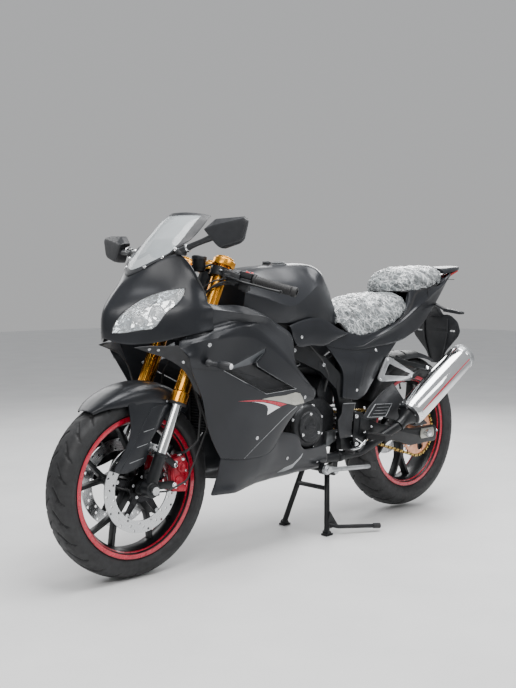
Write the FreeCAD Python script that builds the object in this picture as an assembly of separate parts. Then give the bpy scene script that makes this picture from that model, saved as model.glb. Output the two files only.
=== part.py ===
import FreeCAD, Part
import math
import os

os.makedirs("parts", exist_ok=True)
V = FreeCAD.Vector

# ---------------------------------------------------------------- driving dimensions
# Millimetres. The tables below use a working frame with X = 0 at the front
# axle, Y negative on the left and Z = 0 on the floor. Every piece is moved by
# SHIFT_X when it is written, so the stored frame is centred on the length.
SHIFT_X = -742.0
WHEELBASE = 1385.0
FRONT_R = 293.0            # tyre radius, 110/70-17
REAR_R = 314.0             # tyre radius, 140/70-17
REAR_LIFT = 12.0           # the centre stand holds the rear tyre off the floor
RIM_FLANGE_R = 230.0
RAKE = math.radians(24.0)
FORK_Y = 100.0             # fork leg, sideways from the middle
AXIS_BACK = 32.0           # steering axis behind the fork legs, square to them
SLIDER_R = 20.0
CHROME_R = 16.5
OUTER_R = 26.0
STEM_R = 14.0
HEAD_BORE_R = 14.3
DISC_R = 143.0
DISC_Y = 62.0
REAR_DISC_R = 110.0
CHAIN_Y = -93.0
SPROCKET_R = 99.0
COUNTER = (850.0, 427.0)   # output shaft, x and z
COUNTER_R = 33.0
STAND_PIVOT = (872.0, 235.0)
SIDE_PIVOT = (752.0, -168.0, 262.0)
PANEL_T = 3.0

FA = (0.0, FRONT_R)                      # front axle, x and z
RA = (WHEELBASE, REAR_R + REAR_LIFT)     # rear axle, x and z
D = V(math.sin(RAKE), 0, math.cos(RAKE))       # up the fork
U = V(math.cos(RAKE), 0, -math.sin(RAKE))      # square to it, backward


# ---------------------------------------------------------------- helpers
def leg(s, y=0.0, u=0.0):
    """Point s up the fork from the axle, y sideways and u behind the legs."""
    p = V(FA[0], y, FA[1]) + D * s + U * u
    return (p.x, p.y, p.z)


def box(x0, x1, y0, y1, z0, z1):
    return Part.makeBox(x1 - x0, y1 - y0, z1 - z0, V(x0, y0, z0))


def rod(a, b, r):
    a, b = V(*a), V(*b)
    return Part.makeCylinder(r, (b - a).Length, a, b - a)


def pipe(a, b, ro, ri):
    return rod(a, b, ro).cut(rod(a, b, ri))


def ring_y(c, y0, y1, ro, ri):
    return pipe((c[0], y0, c[1]), (c[0], y1, c[1]), ro, ri)


def disc_y(c, y0, y1, r):
    return rod((c[0], y0, c[1]), (c[0], y1, c[1]), r)


def face(pts):
    return Part.Face(Part.makePolygon([V(*p) for p in pts] + [V(*pts[0])]))


def prism_xz(pts, y0, y1):
    return face([(x, y0, z) for x, z in pts]).extrude(V(0, y1 - y0, 0))


def prism_yz(pts, x0, x1):
    return face([(x0, y, z) for y, z in pts]).extrude(V(x1 - x0, 0, 0))


def prism_xy(pts, z0, z1):
    return face([(x, y, z0) for x, y in pts]).extrude(V(0, 0, z1 - z0))


def rev_y(profile, c):
    """Closed profile of (y, r) turned about the Y axis through c."""
    f = face([(c[0], y, c[1] + r) for y, r in profile])
    return f.revolve(V(c[0], 0, c[1]), V(0, 1, 0), 360)


def rev_line(profile, a, b):
    """Closed profile of (t, r) turned about the line from a to b, t from a."""
    a, b = V(*a), V(*b)
    w = (b - a).normalize()
    n = w.cross(V(0, 1, 0)) if abs(w.y) < 0.9 else w.cross(V(1, 0, 0))
    n.normalize()
    f = Part.Face(Part.makePolygon([a + w * t + n * r for t, r in profile]
                                   + [a + w * profile[0][0] + n * profile[0][1]]))
    return f.revolve(a, w, 360)


def beam(a, b, w, h, up=(0, 0, 1)):
    """Straight bar from a to b, w sideways and h in the direction of up."""
    a, b, up = V(*a), V(*b), V(*up)
    d = (b - a)
    s = d.cross(up)
    s.normalize()
    n = s.cross(d)
    n.normalize()
    q = [a + s * (w / 2) + n * (h / 2), a - s * (w / 2) + n * (h / 2),
         a - s * (w / 2) - n * (h / 2), a + s * (w / 2) - n * (h / 2)]
    return Part.Face(Part.makePolygon(q + [q[0]])).extrude(d)


def bent(points, r, bend):
    """Round bar along straight runs joined by arcs of radius bend."""
    p = [V(*q) for q in points]
    edges = []
    start = p[0]
    for i in range(1, len(p) - 1):
        d1 = (p[i] - p[i - 1]).normalize()
        d2 = (p[i + 1] - p[i]).normalize()
        ang = d1.getAngle(d2)
        if ang < 0.02:
            continue
        k = min(bend * math.tan(ang / 2), 0.48 * (p[i] - p[i - 1]).Length,
                0.48 * (p[i + 1] - p[i]).Length)
        rad = k / math.tan(ang / 2)
        t1, t2 = p[i] - d1 * k, p[i] + d2 * k
        mid_dir = (d2 - d1).normalize()
        centre = p[i] + mid_dir * (rad / math.cos(ang / 2))
        mid = centre - mid_dir * rad
        if (t1 - start).Length > 0.01:
            edges.append(Part.LineSegment(start, t1).toShape())
        edges.append(Part.Arc(t1, mid, t2).toShape())
        start = t2
    edges.append(Part.LineSegment(start, p[-1]).toShape())
    wire = Part.Wire(edges)
    d0 = (p[1] - p[0]).normalize()
    circle = Part.Wire([Part.Circle(p[0], d0, r).toShape()])
    out = wire.makePipeShell([circle], True, False)
    return out


def polyhedron(verts, tris):
    faces = []
    for t in tris:
        a, b, c = (verts[i] for i in t)
        if (b - a).cross(c - a).Length < 1e-6:
            continue
        faces.append(Part.Face(Part.makePolygon([a, b, c, a])))
    shell = Part.makeShell(faces)
    shell.sewShape()
    solid = Part.Solid(shell)
    if solid.Volume < 0:
        solid.reverse()
    return solid


def skin(rows, t=PANEL_T, inside=(700, 0, 500)):
    """Thin panel: a grid of outer points with an inner copy t behind it."""
    nr, nc = len(rows), len(rows[0])
    pts = [[V(*p) for p in r] for r in rows]
    c = V(*inside)
    nrm = [[V(0, 0, 0) for _ in range(nc)] for _ in range(nr)]
    score = 0.0
    for i in range(nr - 1):
        for j in range(nc - 1):
            a, b, d, e = pts[i][j], pts[i][j + 1], pts[i + 1][j], pts[i + 1][j + 1]
            n = (e - a).cross(d - b)
            if n.Length < 1e-9:
                continue
            n.normalize()
            score += n.dot((a + e) * 0.5 - c)
            for (k, l) in ((i, j), (i, j + 1), (i + 1, j), (i + 1, j + 1)):
                nrm[k][l] = nrm[k][l] + n
    sign = 1.0 if score > 0 else -1.0
    verts = []
    for i in range(nr):
        for j in range(nc):
            verts.append(pts[i][j])
    for i in range(nr):
        for j in range(nc):
            n = nrm[i][j]
            n.normalize()
            verts.append(pts[i][j] - n * (t * sign))
    off = nr * nc
    tri = []

    def quad(a, b, c_, d_):
        tri.append((a, b, c_))
        tri.append((a, c_, d_))

    for i in range(nr - 1):
        for j in range(nc - 1):
            a, b = i * nc + j, i * nc + j + 1
            d_, e = (i + 1) * nc + j, (i + 1) * nc + j + 1
            quad(a, b, e, d_)
            quad(off + a, off + d_, off + e, off + b)
    for i in range(nr - 1):
        a, b = i * nc, (i + 1) * nc
        quad(a, b, off + b, off + a)
        a, b = i * nc + nc - 1, (i + 1) * nc + nc - 1
        quad(b, a, off + a, off + b)
    for j in range(nc - 1):
        a, b = j, j + 1
        quad(b, a, off + a, off + b)
        a, b = (nr - 1) * nc + j, (nr - 1) * nc + j + 1
        quad(a, b, off + b, off + a)
    return polyhedron(verts, tri)


def both(rows):
    """Rows from the middle outward (y positive), completed to both sides."""
    return [[(x, -y, z) for x, y, z in reversed(r[1:])] + list(r) for r in rows]


def body_of(stations):
    """Closed solid through cross-sections: x and a half outline of (y, z)."""
    rings = []
    for x, half in stations:
        ring = [V(x, y, z) for y, z in half]
        ring += [V(x, -y, z) for y, z in reversed(half) if y > 0.001]
        rings.append(ring)
    n = len(rings[0])
    verts = [p for r in rings for p in r]
    tri = []
    for k in range(len(rings) - 1):
        for j in range(n):
            a, b = k * n + j, k * n + (j + 1) % n
            c_, d_ = a + n, b + n
            tri.append((a, b, d_))
            tri.append((a, d_, c_))
    for k, flip in ((0, True), (len(rings) - 1, False)):
        m = V(0, 0, 0)
        for p in rings[k]:
            m = m + p
        verts.append(m * (1.0 / n))
        ci = len(verts) - 1
        for j in range(n):
            a, b = k * n + j, k * n + (j + 1) % n
            tri.append((b, a, ci) if flip else (a, b, ci))
    return polyhedron(verts, tri)


def mirrored(s):
    return s.mirror(V(0, 0, 0), V(0, 1, 0))


def fuse(items):
    out = items[0]
    for s in items[1:]:
        out = out.fuse(s)
    return out.removeSplitter()


def belt(c1, r1, c2, r2, grow, y0, y1):
    """Belt outline around two wheels, grown outward, as a slab along Y."""
    r1, r2 = r1 + grow, r2 + grow
    dx, dz = c2[0] - c1[0], c2[1] - c1[1]
    dist = math.hypot(dx, dz)
    base = math.atan2(dz, dx)
    a = math.acos((r1 - r2) / dist)
    pts = []
    n = 16
    for i in range(n + 1):
        t = base + a + (2 * math.pi - 2 * a) * i / n
        pts.append((c1[0] + r1 * math.cos(t), c1[1] + r1 * math.sin(t)))
    for i in range(n + 1):
        t = base - a + 2 * a * i / n
        pts.append((c2[0] + r2 * math.cos(t), c2[1] + r2 * math.sin(t)))
    return prism_xz(pts, y0, y1)


WRITTEN = []


def save(name, *items):
    out = []
    for s in items:
        s = s.copy()
        s.translate(V(SHIFT_X, 0, 0))
        out.extend(s.Solids if s.Solids else [s])
    shape = out[0] if len(out) == 1 else Part.makeCompound(out)
    shape.exportStep("parts/" + name + ".step")
    WRITTEN.append((name, len(out), shape.BoundBox, sum(q.Volume for q in out)))


# ================================================================ wheels
# profile columns: y across the wheel, r from the axle
FRONT_TYRE = [(-37.4, 218.6), (-37.4, 231), (-46, 232.5), (-53, 240), (-56, 252),
              (-55, 264), (-50, 276), (-38, 286.5), (-20, 291.8), (0, 293),
              (20, 291.8), (38, 286.5), (50, 276), (55, 264), (56, 252), (53, 240),
              (46, 232.5), (37.4, 231), (37.4, 218.6), (30, 219), (31, 227),
              (44, 238), (48, 252), (47, 264), (42, 273), (31, 280), (0, 284),
              (-31, 280), (-42, 273), (-47, 264), (-48, 252), (-44, 238),
              (-31, 227), (-30, 219)]
FRONT_RIM = [(-45, 230), (-38, 230), (-38, 218.4), (-29, 216), (-18, 206), (18, 206),
             (29, 216), (38, 218.4), (38, 230), (45, 230), (45, 213), (30, 208),
             (18, 199), (-18, 199), (-30, 208), (-45, 213)]
REAR_TYRE = [(-48.4, 218.6), (-48.4, 231), (-59, 233), (-69, 243), (-74, 257),
             (-73, 270), (-66, 286), (-52, 300), (-28, 310.8), (0, 314),
             (28, 310.8), (52, 300), (66, 286), (73, 270), (74, 257), (69, 243),
             (59, 233), (48.4, 231), (48.4, 218.6), (40, 219), (41, 227),
             (56, 240), (64, 257), (63, 270), (56, 282), (44, 292), (0, 303),
             (-44, 292), (-56, 282), (-63, 270), (-64, 257), (-56, 240),
             (-41, 227), (-40, 219)]
REAR_RIM = [(-56, 230), (-49, 230), (-49, 218.4), (-39, 216), (-28, 205), (28, 205),
            (39, 216), (49, 218.4), (49, 230), (56, 230), (56, 213), (40, 207),
            (28, 198), (-28, 198), (-40, 207), (-56, 213)]


def turned(pts, ang, c):
    ca, sa = math.cos(ang), math.sin(ang)
    return [(c[0] + x * ca - z * sa, c[1] + x * sa + z * ca) for x, z in pts]


def y_spokes(c, half_t, r_hub, r_rim, first):
    """Five spokes, each a stem that divides in two towards the rim."""
    out = []
    for k in range(5):
        a = math.radians(first + 72 * k)
        stem = [(r_hub - 8, -15), (112, -11), (118, 0), (112, 11), (r_hub - 8, 15)]
        out.append(prism_xz(turned(stem, a, c), -half_t, half_t))
        for sgn in (1, -1):
            arm = [(98, 12 * sgn), (r_rim + 4, 62 * sgn), (r_rim + 4, 44 * sgn),
                   (112, -4 * sgn)]
            if sgn < 0:
                arm = list(reversed(arm))
            out.append(prism_xz(turned(arm, a, c), -half_t + 2, half_t - 2))
    return out


def drilled_disc(c, y0, y1, ri, ro, rows, first=0.0):
    wires = [Part.Wire([Part.Circle(V(c[0], y0, c[1]), V(0, 1, 0), ro).toShape()]),
             Part.Wire([Part.Circle(V(c[0], y0, c[1]), V(0, 1, 0), ri).toShape()])]
    disc = Part.Face(wires[0]).cut(Part.Face(wires[1]))
    holes = []
    for r, n, hole_r, shift in rows:
        for i in range(n):
            a = math.radians(first + shift + 360.0 * i / n)
            p = V(c[0] + r * math.cos(a), y0, c[1] + r * math.sin(a))
            holes.append(Part.Face(Part.Wire([Part.Circle(p, V(0, 1, 0), hole_r).toShape()])))
    disc = disc.cut(Part.makeCompound(holes))
    return disc.extrude(V(0, y1 - y0, 0))


front_rim = fuse([rev_y(FRONT_RIM, FA), disc_y(FA, -50, 50, 31), disc_y(FA, -57.8, 57.8, 26)]
                 + y_spokes(FA, 14, 30, 199, 90))
front_rim = front_rim.cut(disc_y(FA, -80, 80, 8.4))
save("front_rim", front_rim)
save("front_tyre", rev_y(FRONT_TYRE, FA))


def front_disc(sgn):
    y0, y1 = sorted((sgn * (DISC_Y - 2), sgn * (DISC_Y + 2)))
    rotor = drilled_disc(FA, y0, y1, 104, DISC_R,
                         [(111, 15, 4.2, 0), (123.5, 15, 4.2, 8), (136, 15, 4.2, 16)])
    z0, z1 = sorted((sgn * 58.0, sgn * 62.0))
    carrier = [ring_y(FA, z0, z1, 46, 26.2)]
    for k in range(5):
        a = math.radians(18 + 72 * k)
        arm = [(40, -13), (106, -8), (106, 8), (40, 13)]
        carrier.append(prism_xz(turned(arm, a, FA), z0, z1))
    return fuse([rotor] + carrier)


save("front_discs", front_disc(-1), front_disc(1))

rear_rim = fuse([rev_y(REAR_RIM, RA), disc_y(RA, -70, 66, 34)]
                + y_spokes(RA, 18, 33, 198, 54))
rear_rim = rear_rim.cut(disc_y(RA, -90, 90, 8.9))
save("rear_rim", rear_rim)
save("rear_tyre", rev_y(REAR_TYRE, RA))

rear_rotor = drilled_disc(RA, 66, 70, 78, REAR_DISC_R,
                          [(86, 15, 3.8, 0), (99, 15, 3.8, 12)])
rear_disc = [rear_rotor, ring_y(RA, 66.2, 70, 44, 9.2)]
for k in range(5):
    rear_disc.append(prism_xz(turned([(38, -11), (81, -7), (81, 7), (38, 11)],
                                     math.radians(30 + 72 * k), RA), 66.2, 70))
save("rear_disc", fuse(rear_disc))


def sprocket(c, r, teeth, y0, y1, bore):
    pts = []
    for i in range(teeth):
        a = 2 * math.pi * i / teeth
        w = 2 * math.pi / teeth
        pts.append(((r - 6.5) * math.cos(a - 0.32 * w), (r - 6.5) * math.sin(a - 0.32 * w)))
        pts.append((r * math.cos(a - 0.1 * w), r * math.sin(a - 0.1 * w)))
        pts.append((r * math.cos(a + 0.1 * w), r * math.sin(a + 0.1 * w)))
        pts.append(((r - 6.5) * math.cos(a + 0.32 * w), (r - 6.5) * math.sin(a + 0.32 * w)))
    blank = prism_xz([(c[0] + x, c[1] + z) for x, z in pts], y0, y1)
    return blank.cut(disc_y(c, y0 - 1, y1 + 1, bore))


spr = sprocket(RA, SPROCKET_R, 42, CHAIN_Y - 3, CHAIN_Y + 3, 24)
windows = [disc_y((RA[0] + 62 * math.cos(math.radians(72 * k)),
                   RA[1] + 62 * math.sin(math.radians(72 * k))),
                  CHAIN_Y - 5, CHAIN_Y + 5, 20) for k in range(5)]
spr = spr.cut(Part.makeCompound(windows))
spr = fuse([spr, ring_y(RA, CHAIN_Y - 3, -70.2, 40, 24)])
save("rear_sprocket", spr)

# ================================================================ fork
CALIPER = (138.0, 320.0)
fork_lowers = []
for sgn in (-1, 1):
    y = sgn * FORK_Y
    leg_low = fuse([rod(leg(0, y), leg(118, y), SLIDER_R),
                    disc_y(FA, y - 22, y + 22, 25),
                    rod(leg(104, y), leg(118, y), 23.5)])
    # brake bracket arms behind the leg
    arms = [beam((18, sgn * 90, 300), (104, sgn * 90, 292), 10, 24),
            beam((58, sgn * 90, 398), (112, sgn * 90, 352), 10, 20)]
    leg_low = fuse([leg_low] + arms)
    leg_low = leg_low.cut(disc_y(FA, y - 30, y + 30, 9.0))
    leg_low = leg_low.cut(rod(leg(100, y), leg(130, y), CHROME_R + 0.05))
    fork_lowers.append(leg_low)
save("fork_lowers", *fork_lowers)

save("fork_inner_tubes", *[rod(leg(100.2, s * FORK_Y), leg(300, s * FORK_Y), CHROME_R)
                           for s in (-1, 1)])

fork_outer = []
for s in (-1, 1):
    y = s * FORK_Y
    t = fuse([rod(leg(283, y), leg(790, y), OUTER_R), rod(leg(283, y), leg(322, y), 28.5),
              rod(leg(790, y), leg(797, y), 18)])
    t = t.cut(rod(leg(280, y), leg(300.2, y), CHROME_R + 0.05))
    fork_outer.append(t)
save("fork_outer_tubes", *fork_outer)


def fork_plate(s0, s1, outline, holes):
    """Plate square to the fork: outline of (u, y), from s0 to s1."""
    base = [V(*leg(s0, y, u)) for u, y in outline]
    f = Part.Face(Part.makePolygon(base + [base[0]]))
    out = f.extrude(D * (s1 - s0))
    for u, y, r in holes:
        out = out.cut(rod(leg(s0 - 5, y, u), leg(s1 + 5, y, u), r))
    return out


CLAMP_OUTLINE = [(-40, -128), (-12, -137), (22, -137), (40, -112), (56, -40), (58, 0),
                 (56, 40), (40, 112), (22, 137), (-12, 137), (-40, 128), (-40, 84),
                 (-14, 52), (0, 0), (-14, -52), (-40, -84)]
legs_bore = [(0, -FORK_Y, OUTER_R + 0.02), (0, FORK_Y, OUTER_R + 0.02)]
low_clamp = fork_plate(512, 546, CLAMP_OUTLINE, legs_bore)
top_clamp = fork_plate(760, 784, CLAMP_OUTLINE, legs_bore + [(AXIS_BACK, 0, STEM_R + 0.02)])
stem = rod(leg(540, 0, AXIS_BACK), leg(792, 0, AXIS_BACK), STEM_R)
cap_nut = rod(leg(784.2, 0, AXIS_BACK), leg(796, 0, AXIS_BACK), 20).cut(
    rod(leg(780, 0, AXIS_BACK), leg(800, 0, AXIS_BACK), STEM_R + 0.02))
save("lower_clamp", fuse([low_clamp, stem]))
save("upper_clamp", top_clamp, cap_nut)

# handlebar: clamp ring, bar, grip, lever, switch pod; ends of the bar as x, |y|, z
BAR_A = (297, 126, 972)
BAR_B = (409, 344, 905)


def bar_point(t, sgn):
    return (BAR_A[0] + (BAR_B[0] - BAR_A[0]) * t,
            sgn * (BAR_A[1] + (BAR_B[1] - BAR_A[1]) * t),
            BAR_A[2] + (BAR_B[2] - BAR_A[2]) * t)


bars, grips, controls = [], [], []
for sgn in (-1, 1):
    y = sgn * FORK_Y
    ring = pipe(leg(722, y), leg(752, y), 37, OUTER_R + 0.05)
    a, b = bar_point(0.0, sgn), bar_point(1.0, sgn)
    bar = rod(a, b, 11).cut(rod(leg(700, y), leg(770, y), OUTER_R + 3))
    w = (V(*b) - V(*a)).normalize() * 40      # the open end takes an end weight
    bar = bar.cut(rod(b, tuple(V(*b) - w), 8))
    bars.append(fuse([ring, bar]))
    grip = fuse([pipe(bar_point(0.42, sgn), bar_point(0.93, sgn), 16.5, 11.05),
                 pipe(bar_point(0.405, sgn), bar_point(0.43, sgn), 20, 11.05)])
    grips.append(grip)
    pod_a, pod_b = bar_point(0.22, sgn), bar_point(0.40, sgn)
    pod = beam(pod_a, pod_b, 44, 40).cut(rod(bar_point(0.1, sgn), bar_point(0.6, sgn), 11.05))
    perch_a, perch_b = bar_point(0.10, sgn), bar_point(0.21, sgn)
    perch = fuse([rod(perch_a, perch_b, 18),
                  beam(((perch_a[0] + perch_b[0]) / 2, (perch_a[1] + perch_b[1]) / 2,
                        (perch_a[2] + perch_b[2]) / 2),
                       (bar_point(0.16, sgn)[0] - 42, bar_point(0.16, sgn)[1] - sgn * 6,
                        bar_point(0.16, sgn)[2] - 4), 22, 16)])
    perch = perch.cut(rod(bar_point(0.0, sgn), bar_point(0.6, sgn), 11.05))
    base = bar_point(0.16, sgn)
    p0 = (base[0] - 40, base[1] - sgn * 4, base[2] - 4)
    p1 = (base[0] - 30, base[1] + sgn * 60, base[2] - 22)
    tip = bar_point(0.90, sgn)
    p2 = (tip[0] - 46, tip[1] + sgn * 6, tip[2] - 4)
    lever = bent([p0, p1, p2], 6, 30)
    controls.append(fuse([pod]))
    controls.append(fuse([perch, lever]))
save("handlebars", *bars)
save("grips", *grips)
save("bar_controls", *controls)

# front mudguard: rows run back over the tyre, columns from the middle outward
FENDER = [  # angle from straight up (forward negative), radius, half width, side drop
    (-34, 306, 40, 12), (-27, 311, 60, 22), (-18, 318, 73, 42), (-8, 326, 78, 58),
    (4, 333, 79, 63), (16, 336, 79, 64), (28, 334, 76, 58), (38, 330, 70, 50)]
rows = []
for ang, r, w, drop in FENDER:
    a = math.radians(ang)
    rows.append([(FA[0] + (r - k * drop) * math.sin(a), w * f,
                  FA[1] + (r - k * drop) * math.cos(a))
                 for k, f in ((0, 0), (0.03, 0.42), (0.16, 0.76), (0.42, 0.95), (1, 1))])
fender_top = skin(both(rows), 3.0, (0, 0, 293))
BLADE = [(-60, 560), (4, 580), (80, 578), (112, 572), (108, 545), (70, 487), (24, 456),
         (6, 372), (-70, 350), (-116, 360), (-92, 392), (-58, 450), (-50, 500)]
blades = []
for sgn in (-1, 1):
    y0, y1 = sorted((sgn * 78.5, sgn * 74.5))
    p = prism_xz(BLADE, y0, y1)
    blades.append(p)
fender = fuse([fender_top] + blades)
fender = fender.cut(Part.makeCompound([rod(leg(40, s * FORK_Y), leg(420, s * FORK_Y), OUTER_R + 3)
                                       for s in (-1, 1)]))
save("front_fender", *fender.Solids)

# brake calipers and axle
calipers = []
for sgn in (-1, 1):
    block = prism_xz([(106, 268), (160, 262), (172, 290), (172, 350), (150, 380),
                      (112, 372), (100, 330)], *sorted((sgn * 42, sgn * 84.8)))
    slot = prism_xz([(60, 240), (152, 240), (152, 400), (60, 400)],
                    *sorted((sgn * (DISC_Y - 5), sgn * (DISC_Y + 5))))
    block = block.cut(slot)
    block = block.cut(disc_y(FA, -90, 90, 96))
    calipers.append(block)
save("front_calipers", *calipers)
save("front_axle", fuse([disc_y(FA, -128, 128, 8.0), disc_y(FA, -136, -122.2, 13),
                         disc_y(FA, 122.2, 136, 13)]))

# hoses along the fork, from the lower clamp down to each caliper
hose_l = bent([(233, -60, 700), (190, -66, 640), (205, -108, 520), (178, -128, 430),
               (150, -96, 392), (140, -66, 386)], 4, 30)
hose_r = mirrored(hose_l)
cable = bent([(243, -48, 742), (222, -52, 600), (214, -132, 470), (120, -140, 310),
              (44, -134, 286), (18, -131, 288)], 3, 36)
save("fork_cables", hose_l, hose_r, cable)

# ================================================================ frame and engine
HEAD_LOW, HEAD_TOP = leg(556, 0, AXIS_BACK), leg(750, 0, AXIS_BACK)
head_tube = pipe(HEAD_LOW, HEAD_TOP, 30, HEAD_BORE_R)
SPAR = [  # x, |y|, z of the middle of the side spar
    (284, 30, 842), (358, 95, 798), (470, 112, 752), (620, 118, 700), (770, 120, 640),
    (868, 122, 560), (898, 122, 470), (900, 122, 345)]
spars = []
for sgn in (-1, 1):
    segs = []
    for (x0, y0, z0), (x1, y1, z1) in zip(SPAR, SPAR[1:]):
        segs.append(beam((x0, sgn * y0, z0), (x1, sgn * y1, z1), 24, 56 if x0 < 850 else 62,
                         (0, 0, 1) if x0 < 860 else (-1, 0, 0)))
    for (x0, y0, z0) in SPAR[1:-1]:
        segs.append(rod((x0, sgn * y0 - 12, z0), (x0, sgn * y0 + 12, z0), 28))
    spars.append(fuse(segs))
cross = [rod((900, -122, 332), (900, 122, 332), 18), rod((892, -120, 548), (892, 120, 548), 16)]
pivot_hole = rod((925, -160, 430), (925, 160, 430), 9.0)
plates = []
for sgn in (-1, 1):
    y0, y1 = sorted((sgn * 110, sgn * 134))
    plates.append(prism_xz([(872, 500), (928, 496), (948, 440), (940, 340), (930, 317),
                            (868, 317), (862, 400)], y0, y1))
down = [beam((892, s * 86, 340), (872, s * 86, 262), 22, 30, (1, 0, 0)) for s in (-1, 1)]
stand_lugs = []
for sgn in (-1, 1):
    y0, y1 = sorted((sgn * 78, sgn * 96))
    stand_lugs.append(disc_y(STAND_PIVOT, y0, y1, 20))
    stand_lugs.append(prism_xz([(855, 235), (889, 235), (900, 300), (862, 300)], y0, y1))
frame = fuse([head_tube] + spars + cross + plates + down + stand_lugs)
# bracket that carries the side stand
bracket = fuse([beam((866, -88, 258), (752, -140, 258), 14, 14),
                disc_y((SIDE_PIVOT[0], SIDE_PIVOT[2]), -158, -140, 18)])
frame = fuse([frame, bracket])
frame = frame.cut(rod(leg(540, 0, AXIS_BACK), leg(800, 0, AXIS_BACK), HEAD_BORE_R))
frame = frame.cut(pivot_hole)
frame = frame.cut(disc_y(STAND_PIVOT, -120, 120, 8.3))
frame = frame.cut(disc_y((SIDE_PIVOT[0], SIDE_PIVOT[2]), -190, -130, 6.3))
save("main_frame", frame)

SUB = [(800, 104, 660), (960, 92, 730), (1180, 84, 770), (1330, 74, 850), (1560, 56, 915)]
sub = []
for sgn in (-1, 1):
    segs = [rod((x0, sgn * y0, z0), (x1, sgn * y1, z1), 13)
            for (x0, y0, z0), (x1, y1, z1) in zip(SUB, SUB[1:])]
    segs += [Part.makeSphere(13, V(x, sgn * y, z)) for x, y, z in SUB[1:-1]]
    segs.append(rod((905, sgn * 108, 505), (1180, sgn * 84, 758), 11))
    sub += segs
sub += [rod((1180, -84, 770), (1180, 84, 770), 11), rod((1540, -58, 910), (1540, 58, 910), 11)]
sub_frame = fuse(sub).cut(frame)
sub_frame = max(sub_frame.Solids, key=lambda q: q.Volume)
save("seat_subframe", sub_frame)

case = prism_xz([(600, 335), (640, 313), (800, 313), (862, 348), (862, 470), (800, 515),
                 (640, 520), (600, 480)], -104, 104)
barrel = prism_xz([(470, 486), (640, 486), (640, 560), (560, 640), (440, 592), (420, 540)],
                  -78, 78)
neck = prism_xz([(560, 470), (680, 470), (660, 540), (560, 560)], -80, 80)
engine = fuse([case, barrel, neck])
COVER_C = (676.0, 425.0)
left_cover = fuse([disc_y(COVER_C, -150, -103, 82), disc_y(COVER_C, -158, -149, 56)])
right_cover = fuse([disc_y((690, 415), 103, 146, 88)])
engine = engine.cut(box(800, 905, -112, -78, 340, 520))
engine = fuse([engine, left_cover, right_cover, disc_y(COUNTER, -101, -70, 12)])
engine = engine.cut(frame)
engine = max(engine.Solids, key=lambda q: q.Volume)
save("engine", engine)

save("radiator", box(338, 372, -122, 122, 420, 640))

# chain around both sprockets, open inside for the teeth
chain = belt(RA, SPROCKET_R, COUNTER, COUNTER_R, 6.0, CHAIN_Y - 8, CHAIN_Y + 8)
chain = chain.cut(belt(RA, SPROCKET_R, COUNTER, COUNTER_R, -8.0, CHAIN_Y - 9, CHAIN_Y + 9))
chain = chain.cut(belt(RA, SPROCKET_R, COUNTER, COUNTER_R, 1.5, CHAIN_Y - 4.2, CHAIN_Y + 4.2))
front_spr = sprocket(COUNTER, COUNTER_R, 14, CHAIN_Y - 3, CHAIN_Y + 3, 12.02)
save("chain", chain, front_spr)

# swingarm: box arms from the pivot to the axle
arm_pts = [(905, 395), (925, 390), (1290, 284), (1450, 286), (1462, 318), (1450, 352),
           (1300, 352), (1080, 396), (960, 455), (925, 462), (900, 440)]
arm_l = prism_xz(arm_pts, -138, -112)
arm_r = prism_xz(arm_pts, 112, 138)
swing = fuse([arm_l, arm_r, box(985, 1035, -138, 138, 372, 420)])
swing = swing.cut(pivot_hole)
swing = swing.cut(disc_y(RA, -160, 160, 9.05))
save("swingarm", swing.cut(frame))
swing_shaft = fuse([rod((925, -144, 430), (925, 144, 430), 8.9),
                    rod((925, -150, 430), (925, -138.2, 430), 15),
                    rod((925, 138.2, 430), (925, 150, 430), 15)])
save("rear_axle", fuse([disc_y(RA, -150, 150, 8.6), disc_y(RA, -156, -138.2, 15),
                        disc_y(RA, 138.2, 156, 15)]))
shock_a, shock_b = (1010, 0, 425), (985, 0, 700)
save("rear_shock", fuse([rod(shock_a, shock_b, 12), rod((1006, 0, 470), (990, 0, 650), 30)]))

# ================================================================ stands
stand_tube = pipe((STAND_PIVOT[0], -76, STAND_PIVOT[1]), (STAND_PIVOT[0], 76, STAND_PIVOT[1]),
                  14, 8.3)
legs = []
for sgn in (-1, 1):
    legs.append(rod((872, sgn * 60, 232), (817, sgn * 110, 14), 10.5))
    legs.append(disc_y((817, 10), *sorted((sgn * 96, sgn * 124)), 10))
    legs.append(box(800, 836, sgn * 110 - 14, sgn * 110 + 14, 0, 8))
legs.append(rod((855, -76, 165), (855, 76, 165), 9))
tang = bent([(826, -104, 40), (856, -132, 30), (1000, -206, 22)], 7.5, 40)
tang_pad = rod((985, -198, 23), (1004, -208, 22), 9.5)
gusset = prism_xz([(818, 22), (880, 26), (832, 90)], -112, -102)
centre_stand = fuse([stand_tube] + legs + [tang, tang_pad, gusset])
centre_stand = centre_stand.cut(disc_y(STAND_PIVOT, -120, 120, 8.3))
save("centre_stand", centre_stand)
stand_shaft = fuse([disc_y(STAND_PIVOT, -104, 104, 8.0), disc_y(STAND_PIVOT, -108, -96.2, 13),
                    disc_y(STAND_PIVOT, 96.2, 108, 13)])

sp = (SIDE_PIVOT[0], SIDE_PIVOT[2])
side = fuse([disc_y(sp, -172, -158.4, 17),
             rod((765, -167.4, 261), (975, -187, 250), 8.5),
             beam((968, -187, 250), (1000, -189, 249), 30, 18, (0, 1, 0))])
side = side.cut(disc_y(sp, -190, -150, 6.3))
save("side_stand", side)
side_bolt = fuse([disc_y(sp, -178, -134, 6.0), disc_y(sp, -182, -172.4, 10)])
save("pivot_shafts", swing_shaft, stand_shaft, side_bolt)

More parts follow.
